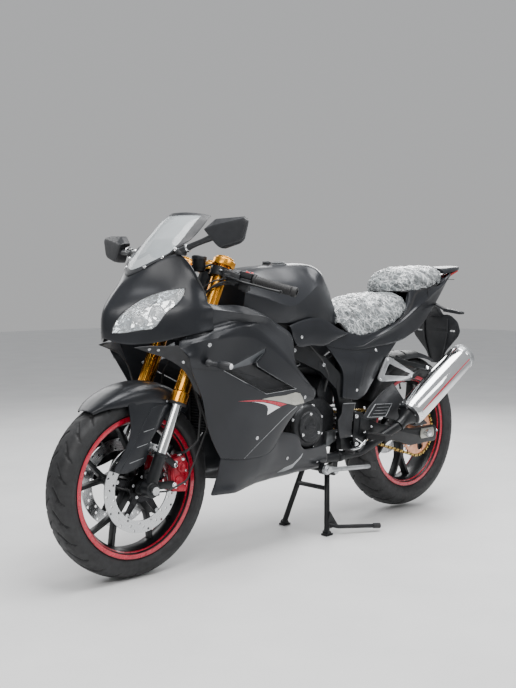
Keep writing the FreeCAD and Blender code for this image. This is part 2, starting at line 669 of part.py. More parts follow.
# ================================================================ bodywork
NOSE = [  # rows from the lower edge up, columns from the middle outward: x, |y|, z
    [(-93, 0, 764), (-75, 39, 752), (-43, 80, 747), (21, 128, 754), (63, 172, 768),
     (110, 214, 782), (168, 229, 792)],
    [(-97, 0, 800), (-80, 37, 800), (-47, 78, 800), (19, 130, 803), (65, 176, 810),
     (111, 209, 816), (165, 218, 821)],
    [(-92, 0, 850), (-73, 37, 850), (-33, 78, 853), (34, 138, 853), (75, 180, 855),
     (114, 208, 856), (158, 221, 858)],
    [(-70, 0, 885), (-50, 38, 888), (-8, 82, 893), (52, 134, 895), (84, 169, 895),
     (113, 197, 890), (146, 208, 882)],
    [(-42, 0, 918), (-24, 33, 922), (17, 76, 930), (64, 126, 930), (90, 162, 928),
     (115, 186, 925), (141, 200, 912)],
    [(-1, 0, 958), (10, 32, 968), (40, 68, 992), (78, 98, 1019), (105, 125, 1025),
     (112, 160, 1000), (122, 192, 950)]]
nose = skin(both(NOSE), 3.0, (300, 0, 880))

SCREEN = [  # rows up the screen, columns from the middle outward
    [(0, 0, 962), (12, 30, 972), (42, 64, 996), (80, 94, 1023), (130, 108, 1058)],
    [(64, 0, 1040), (72, 34, 1044), (97, 66, 1052), (132, 93, 1064), (172, 110, 1079)],
    [(119, 0, 1096), (126, 36, 1098), (146, 66, 1102), (176, 93, 1108), (212, 111, 1114)],
    [(162, 0, 1137), (168, 35, 1138), (185, 65, 1140), (212, 91, 1142), (242, 106, 1142)],
    [(201, 0, 1166), (206, 31, 1166), (220, 59, 1164), (242, 83, 1160), (264, 96, 1155)]]
save("windscreen", skin(both(SCREEN), 3.0, (400, 0, 900)))

# headlight lenses lie on the nose, one each side
LENS = [
    [(-92, 40, 783), (-66, 92, 787), (-22, 132, 796), (12, 158, 824), (50, 186, 866), (76, 192, 910)],
    [(-98, 42, 800), (-72, 92, 812), (-26, 130, 830), (8, 154, 850), (46, 180, 880), (77, 191, 916)],
    [(-94, 44, 822), (-70, 86, 846), (-36, 112, 874), (2, 134, 894), (40, 160, 910), (78, 188, 922)]]
LENS = [[(x + 11, y - 13, z) for x, y, z in r] for r in LENS]
lens = skin(LENS, 2.5, (300, 0, 880))
save("headlights", lens, mirrored(lens))
# each lens fills an opening in the nose, with a bright bowl behind it
opening = skin([[(x - 12, y + 8, z) for x, y, z in r] for r in LENS], 34, (300, 0, 880))
nose = nose.cut(opening).cut(mirrored(opening)).cut(lens).cut(mirrored(lens))
nose = max(nose.Solids, key=lambda q: q.Volume)
save("nose_fairing", nose)
BOWL = [[(x + 24, y - 16, z + 4 - 3 * i) for x, y, z in r] for i, r in enumerate(LENS)]
bowl = skin(BOWL, 2, (300, 0, 880))
save("headlight_bowls", bowl, mirrored(bowl))

SIDE = [  # left and right alike: rows from the top edge down, columns front to rear
    [(150, 206, 874), (205, 206, 866), (262, 205, 866), (325, 203, 857), (390, 198, 838),
     (470, 190, 802), (556, 180, 755), (536, 219, 660), (585, 211, 616), (643, 201, 570)],
    [(164, 217, 852), (215, 229, 848), (262, 232, 837), (312, 232, 829), (376, 216, 822),
     (460, 203, 790), (546, 192, 742), (534, 220, 657), (583, 212, 613), (642, 201, 568)],
    [(172, 211, 818), (222, 217, 818), (270, 220, 815), (316, 225, 812), (368, 228, 800),
     (440, 219, 762), (512, 212, 722), (532, 221, 654), (581, 213, 611), (641, 202, 567)],
    [(66, 170, 756), (122, 212, 772), (196, 232, 788), (262, 237, 798), (318, 237, 794),
     (378, 235, 764), (474, 229, 697), (530, 222, 652), (580, 214, 609), (640, 202, 566)],
    [(58, 180, 738), (118, 220, 757), (190, 236, 767), (262, 239, 772), (320, 239, 765),
     (386, 237, 733), (468, 231, 684), (532, 223, 640), (582, 214, 600), (641, 202, 562)],
    [(72, 206, 712), (130, 215, 708), (200, 223, 706), (275, 229, 700), (338, 232, 686),
     (400, 231, 660), (470, 227, 632), (536, 219, 604), (592, 211, 583), (648, 200, 552)],
    [(92, 197, 672), (150, 208, 664), (222, 218, 655), (292, 226, 643), (352, 229, 626),
     (410, 228, 606), (468, 223, 585), (532, 215, 568), (590, 207, 554), (650, 198, 536)],
    [(147, 186, 570), (190, 196, 566), (245, 206, 560), (305, 214, 550), (360, 218, 540),
     (410, 219, 532), (460, 217, 525), (512, 213, 520), (560, 206, 516), (612, 196, 522)],
    [(176, 180, 470), (216, 186, 466), (265, 194, 460), (318, 202, 455), (368, 206, 450),
     (412, 207, 448), (455, 206, 450), (492, 203, 455), (520, 200, 465), (548, 196, 490)],
    [(230, 178, 372), (258, 180, 368), (292, 184, 362), (328, 188, 358), (366, 190, 358),
     (400, 191, 360), (432, 190, 366), (455, 189, 378), (470, 188, 392), (486, 187, 430)]]
side_l = skin([[(x, -y, z) for x, y, z in r] for r in SIDE], 3.0, (450, 0, 560))
save("side_fairing_left", side_l)
save("side_fairing_right", mirrored(side_l))

BELLY = [  # lower panel: rows from its top edge down, columns front to rear
    [(230, 178, 371), (258, 180, 367), (292, 184, 361), (328, 188, 357), (366, 190, 357),
     (400, 191, 359), (432, 190, 365), (455, 189, 377), (470, 188, 391), (486, 187, 429),
     (528, 186, 424), (592, 179, 402), (618, 171, 360), (700, 163, 351), (752, 158, 356)],
    [(220, 176, 330), (250, 178, 326), (290, 180, 322), (328, 181, 320), (366, 181, 320),
     (400, 181, 321), (432, 180, 326), (455, 179, 333), (478, 178, 343), (502, 177, 354),
     (542, 174, 356), (600, 170, 342), (642, 164, 330), (708, 157, 322), (772, 150, 320)],
    [(203, 178, 290), (246, 178, 287), (286, 178, 284), (326, 175, 283), (366, 170, 284),
     (400, 166, 285), (432, 162, 287), (455, 160, 289), (485, 158, 291), (515, 156, 293),
     (555, 154, 294), (604, 151, 293), (655, 148, 291), (716, 144, 290), (782, 140, 289)],
    [(188, 181, 258), (240, 180, 255), (290, 178, 252), (330, 166, 252), (366, 150, 252),
     (400, 138, 253), (432, 128, 254), (455, 123, 255), (490, 120, 256), (520, 118, 258),
     (560, 117, 259), (606, 116, 260), (656, 114, 262), (718, 112, 262), (788, 108, 262)],
    [(204, 178, 255), (248, 177, 252), (296, 173, 249), (338, 152, 248), (374, 108, 247),
     (406, 60, 246), (434, 42, 247), (457, 34, 248), (492, 31, 250), (522, 30, 251),
     (562, 30, 252), (607, 30, 253), (657, 30, 255), (719, 30, 256), (789, 30, 257)]]
belly_l = skin([[(x, -y, z) for x, y, z in r] for r in BELLY], 3.0, (500, 0, 420))
save("belly_fairing", belly_l, mirrored(belly_l))

# inner panels below the nose, beside the forks
DUCT = [
    [(-50, 96, 738), (30, 140, 741), (90, 185, 738)],
    [(30, 120, 716), (70, 152, 710), (106, 184, 698)],
    [(72, 146, 690), (100, 164, 676), (122, 180, 658)],
    [(116, 162, 636), (130, 170, 616), (142, 178, 590)]]
duct = skin(DUCT, 2.5, (300, 0, 800))
save("inner_fairing", duct, mirrored(duct))

TANK = [  # x, then half outline (y, z): crown, shoulder, knee crease, lower side
    (395, [(0, 962), (55, 960), (100, 945), (118, 903), (112, 870), (105, 838), (0, 838)]),
    (480, [(0, 985), (62, 981), (112, 955), (136, 882), (130, 840), (122, 806), (0, 806)]),
    (590, [(0, 999), (68, 994), (122, 965), (152, 857), (146, 830), (136, 796), (0, 796)]),
    (690, [(0, 1005), (70, 1000), (112, 982), (136, 896), (138, 840), (132, 790), (0, 790)]),
    (752, [(0, 1007), (60, 1001), (94, 984), (115, 923), (126, 860), (122, 785), (0, 785)]),
    (806, [(0, 1001), (50, 994), (76, 976), (94, 926), (112, 850), (108, 782), (0, 782)]),
    (858, [(0, 972), (36, 966), (56, 944), (76, 898), (94, 846), (96, 780), (0, 780)]),
    (884, [(0, 938), (38, 930), (52, 910), (70, 868), (84, 838), (87, 780), (0, 780)]),
    (904, [(0, 880), (34, 874), (46, 862), (60, 840), (70, 820), (75, 780), (0, 780)])]
tank = body_of(TANK)
CAP = (650.0, 0.0)
tank = tank.cut(rod((CAP[0], 0, 985), (CAP[0], 0, 1020), 46))
# filler ring with two hinge ears in front, and the lid that turns on their pin
HINGE = (CAP[0] - 43, 1009.0)
ears = [box(HINGE[0] - 4, HINGE[0] + 4, *sorted((s * 9.6, s * 14)), 1003, 1013) for s in (-1, 1)]
filler = fuse([pipe((CAP[0], 0, 985), (CAP[0], 0, 1004), 45.9, 38.6)] + ears
              + [disc_y(HINGE, -14, 14, 2.0)])
save("fuel_tank", tank, filler)
lid = fuse([rod((CAP[0], 0, 1004.6), (CAP[0], 0, 1011), 37.5), rod((CAP[0], 0, 992), (CAP[0], 0, 1005), 30),
            disc_y(HINGE, -9, 9, 4.2), box(HINGE[0], CAP[0] - 30, -9, 9, 1005, 1011)])
save("fuel_cap", lid.cut(disc_y(HINGE, -16, 16, 2.3)))

SEAT = [
    (880, [(0, 842), (60, 841), (90, 835), (106, 812), (112, 786), (104, 781), (98, 780), (0, 778)]),
    (925, [(0, 852), (66, 850), (100, 840), (120, 792), (124, 746), (110, 748), (106, 779), (0, 779)]),
    (975, [(0, 858), (74, 856), (110, 842), (130, 786), (130, 734), (112, 738), (108, 779), (0, 779)]),
    (1040, [(0, 866), (80, 864), (116, 848), (136, 792), (134, 739), (112, 744), (108, 780), (0, 780)]),
    (1110, [(0, 881), (82, 879), (118, 862), (138, 806), (134, 754), (112, 760), (108, 786), (0, 786)]),
    (1180, [(0, 889), (80, 887), (116, 872), (134, 822), (130, 773), (112, 778), (106, 794), (0, 794)]),
    (1240, [(0, 892), (76, 890), (110, 878), (126, 840), (121, 798), (108, 804), (102, 822), (0, 822)]),
    (1300, [(0, 885), (64, 881), (90, 866), (104, 846), (101, 828), (94, 827), (88, 827), (0, 827)])]
save("rider_seat", body_of(SEAT).cut(tank).cut(sub_frame))
PILLION = [
    (1276, [(0, 950), (56, 948), (80, 938), (88, 918), (86, 900), (0, 900)]),
    (1300, [(0, 976), (62, 974), (91, 956), (99, 920), (95, 900), (0, 900)]),
    (1345, [(0, 991), (66, 989), (98, 968), (107, 922), (103, 902), (0, 902)]),
    (1407, [(0, 1001), (66, 998), (98, 976), (108, 926), (104, 908), (0, 908)]),
    (1480, [(0, 1005), (62, 1002), (90, 982), (98, 940), (94, 918), (0, 918)]),
    (1540, [(0, 1005), (52, 1002), (76, 985), (82, 950), (78, 930), (0, 930)]),
    (1578, [(0, 1000), (42, 997), (62, 985), (68, 960), (64, 940), (0, 940)])]
save("pillion_seat", body_of(PILLION))

TAIL = [  # rows from the upper edge down, columns front to rear
    [(897, 134, 754), (985, 137, 738), (1047, 139, 746), (1120, 137.5, 764), (1190, 134, 784),
     (1258, 122, 817), (1296, 110, 858), (1312, 105, 896), (1425, 101, 904), (1545, 82, 923),
     (1600, 68, 957)],
    [(893, 136, 750), (985, 138.5, 733), (1047, 140.5, 741), (1120, 139, 759), (1190, 135.5, 779),
     (1262, 127, 811), (1320, 119, 841), (1360, 113, 884), (1440, 106, 913), (1552, 87, 931),
     (1640, 70, 975)],
    [(838, 141, 732), (965, 146, 701), (1050, 148, 729), (1125, 149, 753), (1200, 144, 778),
     (1262, 137, 803), (1320, 129, 829), (1400, 121, 863), (1480, 108, 898), (1575, 88, 932),
     (1665, 58, 972)],
    [(768, 143, 712), (955, 144, 687), (1055, 143, 694), (1135, 142, 700), (1215, 138, 710),
     (1290, 130, 732), (1360, 120, 755), (1425, 108, 794), (1505, 92, 850), (1590, 70, 910),
     (1690, 36, 975)]]
tail_l = skin([[(x, -y, z) for x, y, z in r] for r in TAIL], 3.0, (1300, 0, 860))
save("tail_fairing", tail_l, mirrored(tail_l))
SPOILER = [
    (1592, [(0, 1000), (40, 998), (66, 986), (70, 974), (0, 974)]),
    (1660, [(0, 1006), (44, 1004), (66, 996), (70, 982), (0, 980)]),
    (1730, [(0, 1009), (34, 1007), (50, 1001), (52, 994), (0, 990)]),
    (1776, [(0, 1008), (12, 1007), (18, 1005), (18, 1001), (0, 999)])]
spoiler = body_of(SPOILER)
save("tail_spoiler", spoiler)
lamp = prism_xz([(1630, 950), (1700, 976), (1762, 994), (1766, 986), (1700, 962)], -28, 28)
save("tail_light", lamp.cut(spoiler))

SIDE_COVER_TOP = [(580, 788), (651, 806), (719, 812), (774, 798), (830, 773), (889, 750),
                  (757, 711), (690, 715), (622, 716), (596, 750)]
SIDE_COVER = [(768, 711), (955, 685), (1058, 690), (1135, 696), (1198, 704), (1137, 662),
              (1086, 616), (1024, 545), (985, 512), (943, 499), (866, 513), (870, 601),
              (820, 660)]
covers = []
for sgn in (-1, 1):
    top = prism_xz(SIDE_COVER_TOP, *sorted((sgn * 146, sgn * 150)))
    low = prism_xz(SIDE_COVER, *sorted((sgn * 142, sgn * 146)))
    covers.append(fuse([top, low, prism_xz([(752, 708), (790, 702), (800, 718), (752, 716)],
                                           *sorted((sgn * 143, sgn * 149)))]))
save("side_covers", *covers)

# ================================================================ fittings
MIRROR = [(218, 1106), (256, 1132), (372, 1136), (384, 1124), (366, 1068), (348, 1056),
          (278, 1040), (262, 1053)]
MIRROR_BACK = 0.80          # the housing narrows behind its outer face
mirrors = []
for sgn, dx, dz in ((-1, 0, 0), (1, 12, -36)):      # the two are set at different heights
    front = [V(118 + dx + (yy - 216) * 0.26, sgn * yy, zz + dz) for yy, zz in MIRROR]
    narrow = [(218 + (yy - 218) * MIRROR_BACK, zz) for yy, zz in MIRROR]
    back = [V(158 + dx + (yy - 216) * 0.26, sgn * yy, zz + dz) for yy, zz in narrow]
    n = len(MIRROR)
    tri = [(0, i, i + 1) for i in range(1, n - 1)]
    tri += [(n, n + i + 1, n + i) for i in range(1, n - 1)]
    for i in range(n):
        j = (i + 1) % n
        tri += [(i, n + i, n + j), (i, n + j, j)]
    shell = polyhedron(front + back, tri)
    stalk = rod((112, sgn * 128, 1034), (146 + dx, sgn * 244, 1078 + dz), 9.5)
    foot = box(96, 130, *sorted((sgn * 112, sgn * 142)), 1026, 1044)
    mirrors.append(fuse([shell, stalk, foot]))
save("mirrors", *mirrors)

signals = []
for sgn in (-1, 1):
    signals.append(fuse([rod((140, sgn * 226, 688), (148, sgn * 262, 684), 8),
                         rod((150, sgn * 258, 684), (166, sgn * 306, 680), 14)]))
save("front_signals", *[s.cut(side_l).cut(mirrored(side_l)) for s in signals])
rear_signals = []
for sgn in (-1, 1):
    sig = fuse([rod((1500, sgn * 70, 856), (1500, sgn * 150, 824), 7),
                beam((1500, sgn * 148, 824), (1496, sgn * 232, 812), 30, 16)])
    rear_signals.append(sig.cut(tail_l).cut(mirrored(tail_l)))
rear_signals = [max(q.Solids, key=lambda w: w.Volume) for q in rear_signals]
save("rear_signals", *rear_signals)

save("instrument_panel", beam((138, 0, 1058), (170, 0, 1036), 150, 56, (0.5, 0, 0.8)))

HANGER = [(-70, 800), (-110, 770), (-122, 728), (-112, 706), (-50, 640), (-30, 590), (30, 590),
          (50, 640), (112, 706), (122, 728), (110, 770), (70, 800)]
hanger = prism_yz(HANGER, 1640, 1645)
for s in (-1, 1):      # two slots for the number plate's bolts
    slot = fuse([box(1630, 1655, s * 85 - 9, s * 85 + 9, 726.8, 733.2),
                 rod((1630, s * 85 - 9, 730), (1655, s * 85 - 9, 730), 3.2),
                 rod((1630, s * 85 + 9, 730), (1655, s * 85 + 9, 730), 3.2)])
    hanger = hanger.cut(slot)
hanger = fuse([hanger, beam((1642, 0, 792), (1560, 0, 880), 70, 16)])
save("plate_hanger", hanger)

MUFF_A, MUFF_B = (1160, -218, 426), (1510, -236, 649)
muff = rev_line([(0, 0), (0, 40), (22, 54), (395, 54), (409, 50), (415, 40), (415, 24),
                 (393, 24), (393, 0)], MUFF_A, MUFF_B)
save("silencer", muff)
exhaust = bent([(424, -20, 556), (396, -20, 470), (400, -24, 330), (470, -50, 291),
                (700, -92, 288), (860, -118, 291), (975, -136, 299), (1062, -180, 356),
                (1160, -218, 426)], 18, 60)
save("exhaust_pipe", exhaust.cut(muff).cut(engine))
save("silencer_bracket", beam((1180, -100, 640), (1366, -190, 586), 10, 22).cut(muff))

pegs = []
for sgn in (-1, 1):
    plate = prism_xz([(905, 350), (915, 460), (960, 452), (1000, 372), (985, 330), (940, 300)],
                     *sorted((sgn * 152, sgn * 159)))
    peg = fuse([rod((985, sgn * 156, 362), (985, sgn * 176, 362), 14),
                beam((985, sgn * 176, 362), (985, sgn * 262, 362), 34, 24)])
    pegs.append(fuse([plate, peg, rod((925, sgn * 138, 336), (925, sgn * 155, 336), 9)]))
save("footpeg_brackets", *pegs)
pill = []
for sgn in (-1, 1):
    tri_out = [(1056, 572), (1106, 648), (1122, 652), (1284, 577), (1262, 550), (1072, 559)]
    tri_in = [(1092, 582), (1122, 626), (1254, 578), (1240, 568)]
    plate = prism_xz(tri_out, *sorted((sgn * 148, sgn * 156)))
    plate = plate.cut(prism_xz(tri_in, *sorted((sgn * 140, sgn * 165))))
    pill.append(plate)
save("pillion_brackets", *pill)

GUARD = [(956, 418), (1010, 470), (1090, 520), (1153, 548), (1217, 480), (1383, 365),
         (1300, 362), (1100, 420)]
save("chain_guard", prism_xz(GUARD, -152, -146))
HUG = []
for ang in (-62, -40, -18, 4, 24):
    a = math.radians(ang)
    HUG.append([(RA[0] + 330 * math.sin(a), 0, RA[1] + 330 * math.cos(a)),
                (RA[0] + 326 * math.sin(a), 50, RA[1] + 326 * math.cos(a)),
                (RA[0] + 306 * math.sin(a), 84, RA[1] + 306 * math.cos(a))])
save("rear_hugger", skin(both(HUG), 3.0, (RA[0], 0, RA[1])))

rear_cal = prism_xz([(1310, 380), (1350, 400), (1340, 440), (1290, 425), (1285, 395)], 50, 88)
rear_cal = rear_cal.cut(disc_y(RA, 62, 74, REAR_DISC_R + 4))
save("rear_caliper", rear_cal)

for name, count, bb, vol in WRITTEN:
    print("%-20s solids %d  x %.0f..%.0f y %.0f..%.0f z %.0f..%.0f  vol %.0f cm3"
          % (name, count, bb.XMin, bb.XMax, bb.YMin, bb.YMax, bb.ZMin, bb.ZMax, vol / 1000))
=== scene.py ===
import math
import random

import bmesh
import bpy
from mathutils import Matrix, Vector, noise
from mathutils.bvhtree import BVHTree


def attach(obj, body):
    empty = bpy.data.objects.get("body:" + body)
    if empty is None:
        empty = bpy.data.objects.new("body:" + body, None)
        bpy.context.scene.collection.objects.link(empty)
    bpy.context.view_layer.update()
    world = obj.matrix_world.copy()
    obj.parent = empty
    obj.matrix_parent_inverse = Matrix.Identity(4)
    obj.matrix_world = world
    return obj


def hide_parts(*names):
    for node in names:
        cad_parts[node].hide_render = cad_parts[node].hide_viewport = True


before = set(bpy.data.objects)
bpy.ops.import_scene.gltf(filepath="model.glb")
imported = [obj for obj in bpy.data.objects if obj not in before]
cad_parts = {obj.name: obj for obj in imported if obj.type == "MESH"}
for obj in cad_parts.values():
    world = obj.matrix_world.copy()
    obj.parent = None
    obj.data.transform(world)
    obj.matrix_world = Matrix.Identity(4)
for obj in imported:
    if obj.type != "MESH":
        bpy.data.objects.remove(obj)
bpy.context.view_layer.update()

random.seed(7)

# Tables are in millimetres with X = 0 at the front axle; mm() takes them to the
# shared frame, in metres.
SHIFT_X = -742.0


def mm(p):
    return Vector(((p[0] + SHIFT_X) / 1000.0, p[1] / 1000.0, p[2] / 1000.0))


def back(v):
    return Vector((v[0] * 1000.0 - SHIFT_X, v[1] * 1000.0, v[2] * 1000.0))


RAKE = math.radians(24.0)
FA = (0.0, 293.0)
RA = (1385.0, 326.0)
D = Vector((math.sin(RAKE), 0, math.cos(RAKE)))
U = Vector((math.cos(RAKE), 0, -math.sin(RAKE)))
FORK_Y = 100.0


def leg(s, y=0.0, u=0.0):
    p = Vector((FA[0], y, FA[1])) + D * s + U * u
    return (p.x, p.y, p.z)


# ------------------------------------------------------------------ camera
CAM_AT = Vector((-2.56697, -2.48369, 0.93901))
CAM_DIR = Vector((0.6924, 0.7187, -0.0639)).normalized()
LENS = 50.63
cam_data = bpy.data.cameras.new("camera")
cam_data.sensor_fit = "VERTICAL"
cam_data.sensor_height = 36.0
cam_data.sensor_width = 36.0
cam_data.lens = LENS
cam_data.dof.use_dof = False
camera = bpy.data.objects.new("camera", cam_data)
bpy.context.collection.objects.link(camera)
camera.location = CAM_AT
camera.rotation_euler = CAM_DIR.to_track_quat("-Z", "Y").to_euler()
bpy.context.scene.camera = camera
CAM_R = CAM_DIR.cross(Vector((0, 0, 1))).normalized()
CAM_U = CAM_R.cross(CAM_DIR)
FOCAL = LENS / 36.0 * 688.0


def ray(px, py):
    return (CAM_DIR + CAM_R * ((px - 258.0) / FOCAL) - CAM_U * ((py - 344.0) / FOCAL)).normalized()


# ------------------------------------------------------------------ materials
MATS = {}


def node(nt, kind, **kw):
    n = nt.nodes.new(kind)
    for k, v in kw.items():
        setattr(n, k, v)
    return n


class Look:
    """A principled material with procedural detail in object coordinates."""

    def __init__(self, name, base=(0.5, 0.5, 0.5), metallic=0.0, rough=0.5, **sockets):
        self.m = bpy.data.materials.new(name)
        self.m.use_nodes = True
        self.nt = self.m.node_tree
        self.b = self.nt.nodes["Principled BSDF"]
        self.coord = node(self.nt, "ShaderNodeTexCoord").outputs["Object"]
        self.b.inputs["Base Color"].default_value = (*base, 1)
        self.b.inputs["Metallic"].default_value = metallic
        self.b.inputs["Roughness"].default_value = rough
        for k, v in sockets.items():
            self.b.inputs[k.replace("_", " ")].default_value = v
        self.m.diffuse_color = (*base, 1)
        self.height = None
        MATS[name] = self

    def link(self, a, b):
        self.nt.links.new(a, b)

    def stretch(self, scale, rot=(0, 0, 0)):
        mp = node(self.nt, "ShaderNodeMapping", vector_type="TEXTURE")
        mp.inputs["Scale"].default_value = tuple(1.0 / s for s in scale)
        mp.inputs["Rotation"].default_value = rot
        self.link(self.coord, mp.inputs["Vector"])
        return mp.outputs["Vector"]

    def noise(self, scale, detail=3.0, rough=0.55, vec=None, distortion=0.0):
        n = node(self.nt, "ShaderNodeTexNoise")
        n.inputs["Scale"].default_value = scale
        n.inputs["Detail"].default_value = detail
        n.inputs["Roughness"].default_value = rough
        n.inputs["Distortion"].default_value = distortion
        self.link(vec or self.coord, n.inputs["Vector"])
        return n.outputs["Fac"]

    def voronoi(self, scale, feature="F1", vec=None):
        n = node(self.nt, "ShaderNodeTexVoronoi", feature=feature)
        n.inputs["Scale"].default_value = scale
        self.link(vec or self.coord, n.inputs["Vector"])
        return n.outputs["Distance"]

    def remap(self, fac, a, b, c=0.0, d=1.0):
        n = node(self.nt, "ShaderNodeMapRange")
        n.inputs["From Min"].default_value = a
        n.inputs["From Max"].default_value = b
        n.inputs["To Min"].default_value = c
        n.inputs["To Max"].default_value = d
        self.link(fac, n.inputs["Value"])
        return n.outputs["Result"]

    def math(self, op, a, b=None):
        n = node(self.nt, "ShaderNodeMath", operation=op)
        for i, v in enumerate((a, b)):
            if v is None:
                continue
            if isinstance(v, (int, float)):
                n.inputs[i].default_value = v
            else:
                self.link(v, n.inputs[i])
        return n.outputs[0]

    def ramp(self, fac, stops):
        n = node(self.nt, "ShaderNodeValToRGB")
        els = n.color_ramp.elements
        while len(els) < len(stops):
            els.new(0.5)
        for e, (pos, col) in zip(els, stops):
            e.position = pos
            e.color = (*col, 1) if len(col) == 3 else col
        self.link(fac, n.inputs["Fac"])
        return n.outputs["Color"]

    def colour(self, out):
        self.link(out, self.b.inputs["Base Color"])
        return self

    def roughness(self, out):
        self.link(out, self.b.inputs["Roughness"])
        return self

    def bump(self, height, dist, strength=1.0):
        n = node(self.nt, "ShaderNodeBump")
        n.inputs["Strength"].default_value = strength
        n.inputs["Distance"].default_value = dist
        self.link(height, n.inputs["Height"])
        if self.height is not None:
            self.link(self.height, n.inputs["Normal"])
        self.height = n.outputs["Normal"]
        self.link(self.height, self.b.inputs["Normal"])
        return self

    def split(self, axis):
        n = node(self.nt, "ShaderNodeSeparateXYZ")
        self.link(self.coord, n.inputs[0])
        return n.outputs[axis]


def simple(name, lo, hi, metallic, rough, scale=40.0, grain=900.0, depth=0.00012, spread=0.08,
           **sockets):
    k = Look(name, tuple((a + b) / 2 for a, b in zip(lo, hi)), metallic, rough, **sockets)
    f = k.noise(scale, 4.0)
    k.colour(k.ramp(k.remap(f, 0.3, 0.7), [(0.0, lo), (1.0, hi)]))
    k.roughness(k.remap(k.noise(scale * 2.3, 5.0), 0.25, 0.75, rough - spread, rough + spread))
    k.bump(k.noise(grain, 2.0), depth, 0.5)
    return k


paint = Look("graphite_paint_look", (0.022, 0.024, 0.028), 0.30, 0.34, Coat_Weight=0.16,
             Coat_Roughness=0.20, Specular_IOR_Level=0.34)
flake = paint.noise(2600.0, 1.0)
tone = paint.noise(5.0, 3.0)
paint.colour(paint.ramp(paint.math("ADD", paint.math("MULTIPLY", flake, 0.5),
                                   paint.math("MULTIPLY", tone, 0.5)),
                        [(0.30, (0.009, 0.010, 0.0125)), (0.52, (0.015, 0.0165, 0.020)),
                         (0.72, (0.028, 0.030, 0.035))]))
paint.roughness(paint.remap(paint.noise(9.0, 5.0), 0.3, 0.7, 0.28, 0.37))
paint.bump(paint.noise(420.0, 2.0), 0.00006, 0.35)

simple("black_plastic_look", (0.007, 0.008, 0.010), (0.015, 0.016, 0.019), 0.0, 0.50, 30, 1300,
       0.00015)
simple("black_metal_look", (0.004, 0.0045, 0.005), (0.010, 0.011, 0.013), 0.20, 0.36, 22, 700,
       0.00006, 0.07, Coat_Weight=0.10, Coat_Roughness=0.2, Specular_IOR_Level=0.34)
simple("black_cast_look", (0.010, 0.011, 0.012), (0.028, 0.029, 0.032), 0.45, 0.46, 60, 520,
       0.00022, 0.09)

gold = Look("gold_metal_look", (0.82, 0.42, 0.07), 1.0, 0.26)
# streaks along the fork axis, painted from dark brown to bright yellow: painted reflection streaks on the gold tubes
# and clamp; the same noise also varies roughness and bump
fine = gold.noise(60.0, 3.0, vec=gold.stretch((4.5, 4.5, 0.16), (0, RAKE, 0)))
gold.colour(gold.ramp(fine, [(0.38, (0.42, 0.13, 0.008)), (0.50, (0.80, 0.33, 0.030)),
                             (0.64, (1.0, 0.56, 0.10))]))
gold.roughness(gold.remap(fine, 0.3, 0.7, 0.16, 0.30))
gold.bump(fine, 0.00004, 0.5)

simple("gold_cast_look", (0.74, 0.30, 0.026), (0.92, 0.44, 0.060), 1.0, 0.24, 9, 500, 0.00005)
simple("chrome_look", (0.78, 0.79, 0.80), (0.90, 0.91, 0.92), 1.0, 0.09, 15, 600, 0.00002, 0.03)
simple("steel_look", (0.42, 0.43, 0.44), (0.62, 0.63, 0.64), 1.0, 0.26, 35, 900, 0.00004, 0.08)
simple("alloy_look", (0.30, 0.31, 0.32), (0.46, 0.47, 0.48), 0.9, 0.36, 50, 480, 0.00018, 0.08)
simple("dark_alloy_look", (0.09, 0.095, 0.10), (0.16, 0.165, 0.17), 0.85, 0.40, 50, 480,
       0.00018, 0.08)
simple("red_metal_look", (0.26, 0.002, 0.012), (0.44, 0.005, 0.024), 0.30, 0.30, 30, 500, 0.00010,
       0.06, Coat_Weight=0.22, Coat_Roughness=0.14)
simple("red_stripe_look", (0.36, 0.004, 0.020), (0.54, 0.010, 0.036), 0.1, 0.28, 25, 700, 0.00004,
       0.05, Coat_Weight=0.6, Coat_Roughness=0.1)
simple("white_look", (0.70, 0.71, 0.73), (0.84, 0.85, 0.86), 0.0, 0.35, 25, 700, 0.00004, 0.05)
simple("champagne_look", (0.28, 0.28, 0.25), (0.52, 0.51, 0.46), 0.80, 0.30, 7, 900, 0.00005,
       0.06, Coat_Weight=0.3, Coat_Roughness=0.15)
simple("trim_grey_look", (0.26, 0.27, 0.28), (0.38, 0.39, 0.40), 0.6, 0.32, 30, 900, 0.00005)
# lighter than the graphite paint: painted light on the vent facets
simple("facet_look", (0.075, 0.080, 0.088), (0.13, 0.14, 0.15), 0.25, 0.38, 20, 800, 0.00006)
# near black: painted shade inside the tyre grooves; elsewhere the colour of dark panel joints and channels
simple("groove_look", (0.003, 0.003, 0.004), (0.007, 0.007, 0.008), 0.0, 0.8, 30, 900, 0.00005)
simple("rubber_look", (0.007, 0.007, 0.008), (0.016, 0.016, 0.017), 0.0, 0.62, 40, 1100, 0.0002)
simple("chain_gold_look", (0.66, 0.42, 0.10), (0.90, 0.66, 0.24), 1.0, 0.30, 80, 700, 0.00006)
simple("sprocket_look", (0.72, 0.33, 0.20), (0.92, 0.50, 0.34), 1.0, 0.34, 40, 700, 0.00006)
simple("amber_look", (0.80, 0.28, 0.02), (0.95, 0.40, 0.05), 0.0, 0.18, 40, 300, 0.0002, 0.04,
       Coat_Weight=0.6)
simple("red_lens_look", (0.42, 0.006, 0.008), (0.66, 0.016, 0.016), 0.0, 0.16, 40, 300, 0.0002,
       0.04, Coat_Weight=0.6)
simple("red_button_look", (0.66, 0.02, 0.03), (0.86, 0.04, 0.05), 0.0, 0.4, 40, 900, 0.0001)

tyre = Look("tyre_look", (0.018, 0.018, 0.019), 0.0, 0.62)
tyre.colour(tyre.ramp(tyre.noise(24.0, 5.0), [(0.3, (0.006, 0.0062, 0.007)),
                                              (0.7, (0.017, 0.0175, 0.019))]))
tyre.roughness(tyre.remap(tyre.noise(70.0, 4.0), 0.3, 0.7, 0.50, 0.72))
tyre.bump(tyre.noise(950.0, 3.0), 0.0003, 0.5)

disc = Look("disc_look", (0.55, 0.56, 0.57), 1.0, 0.26)


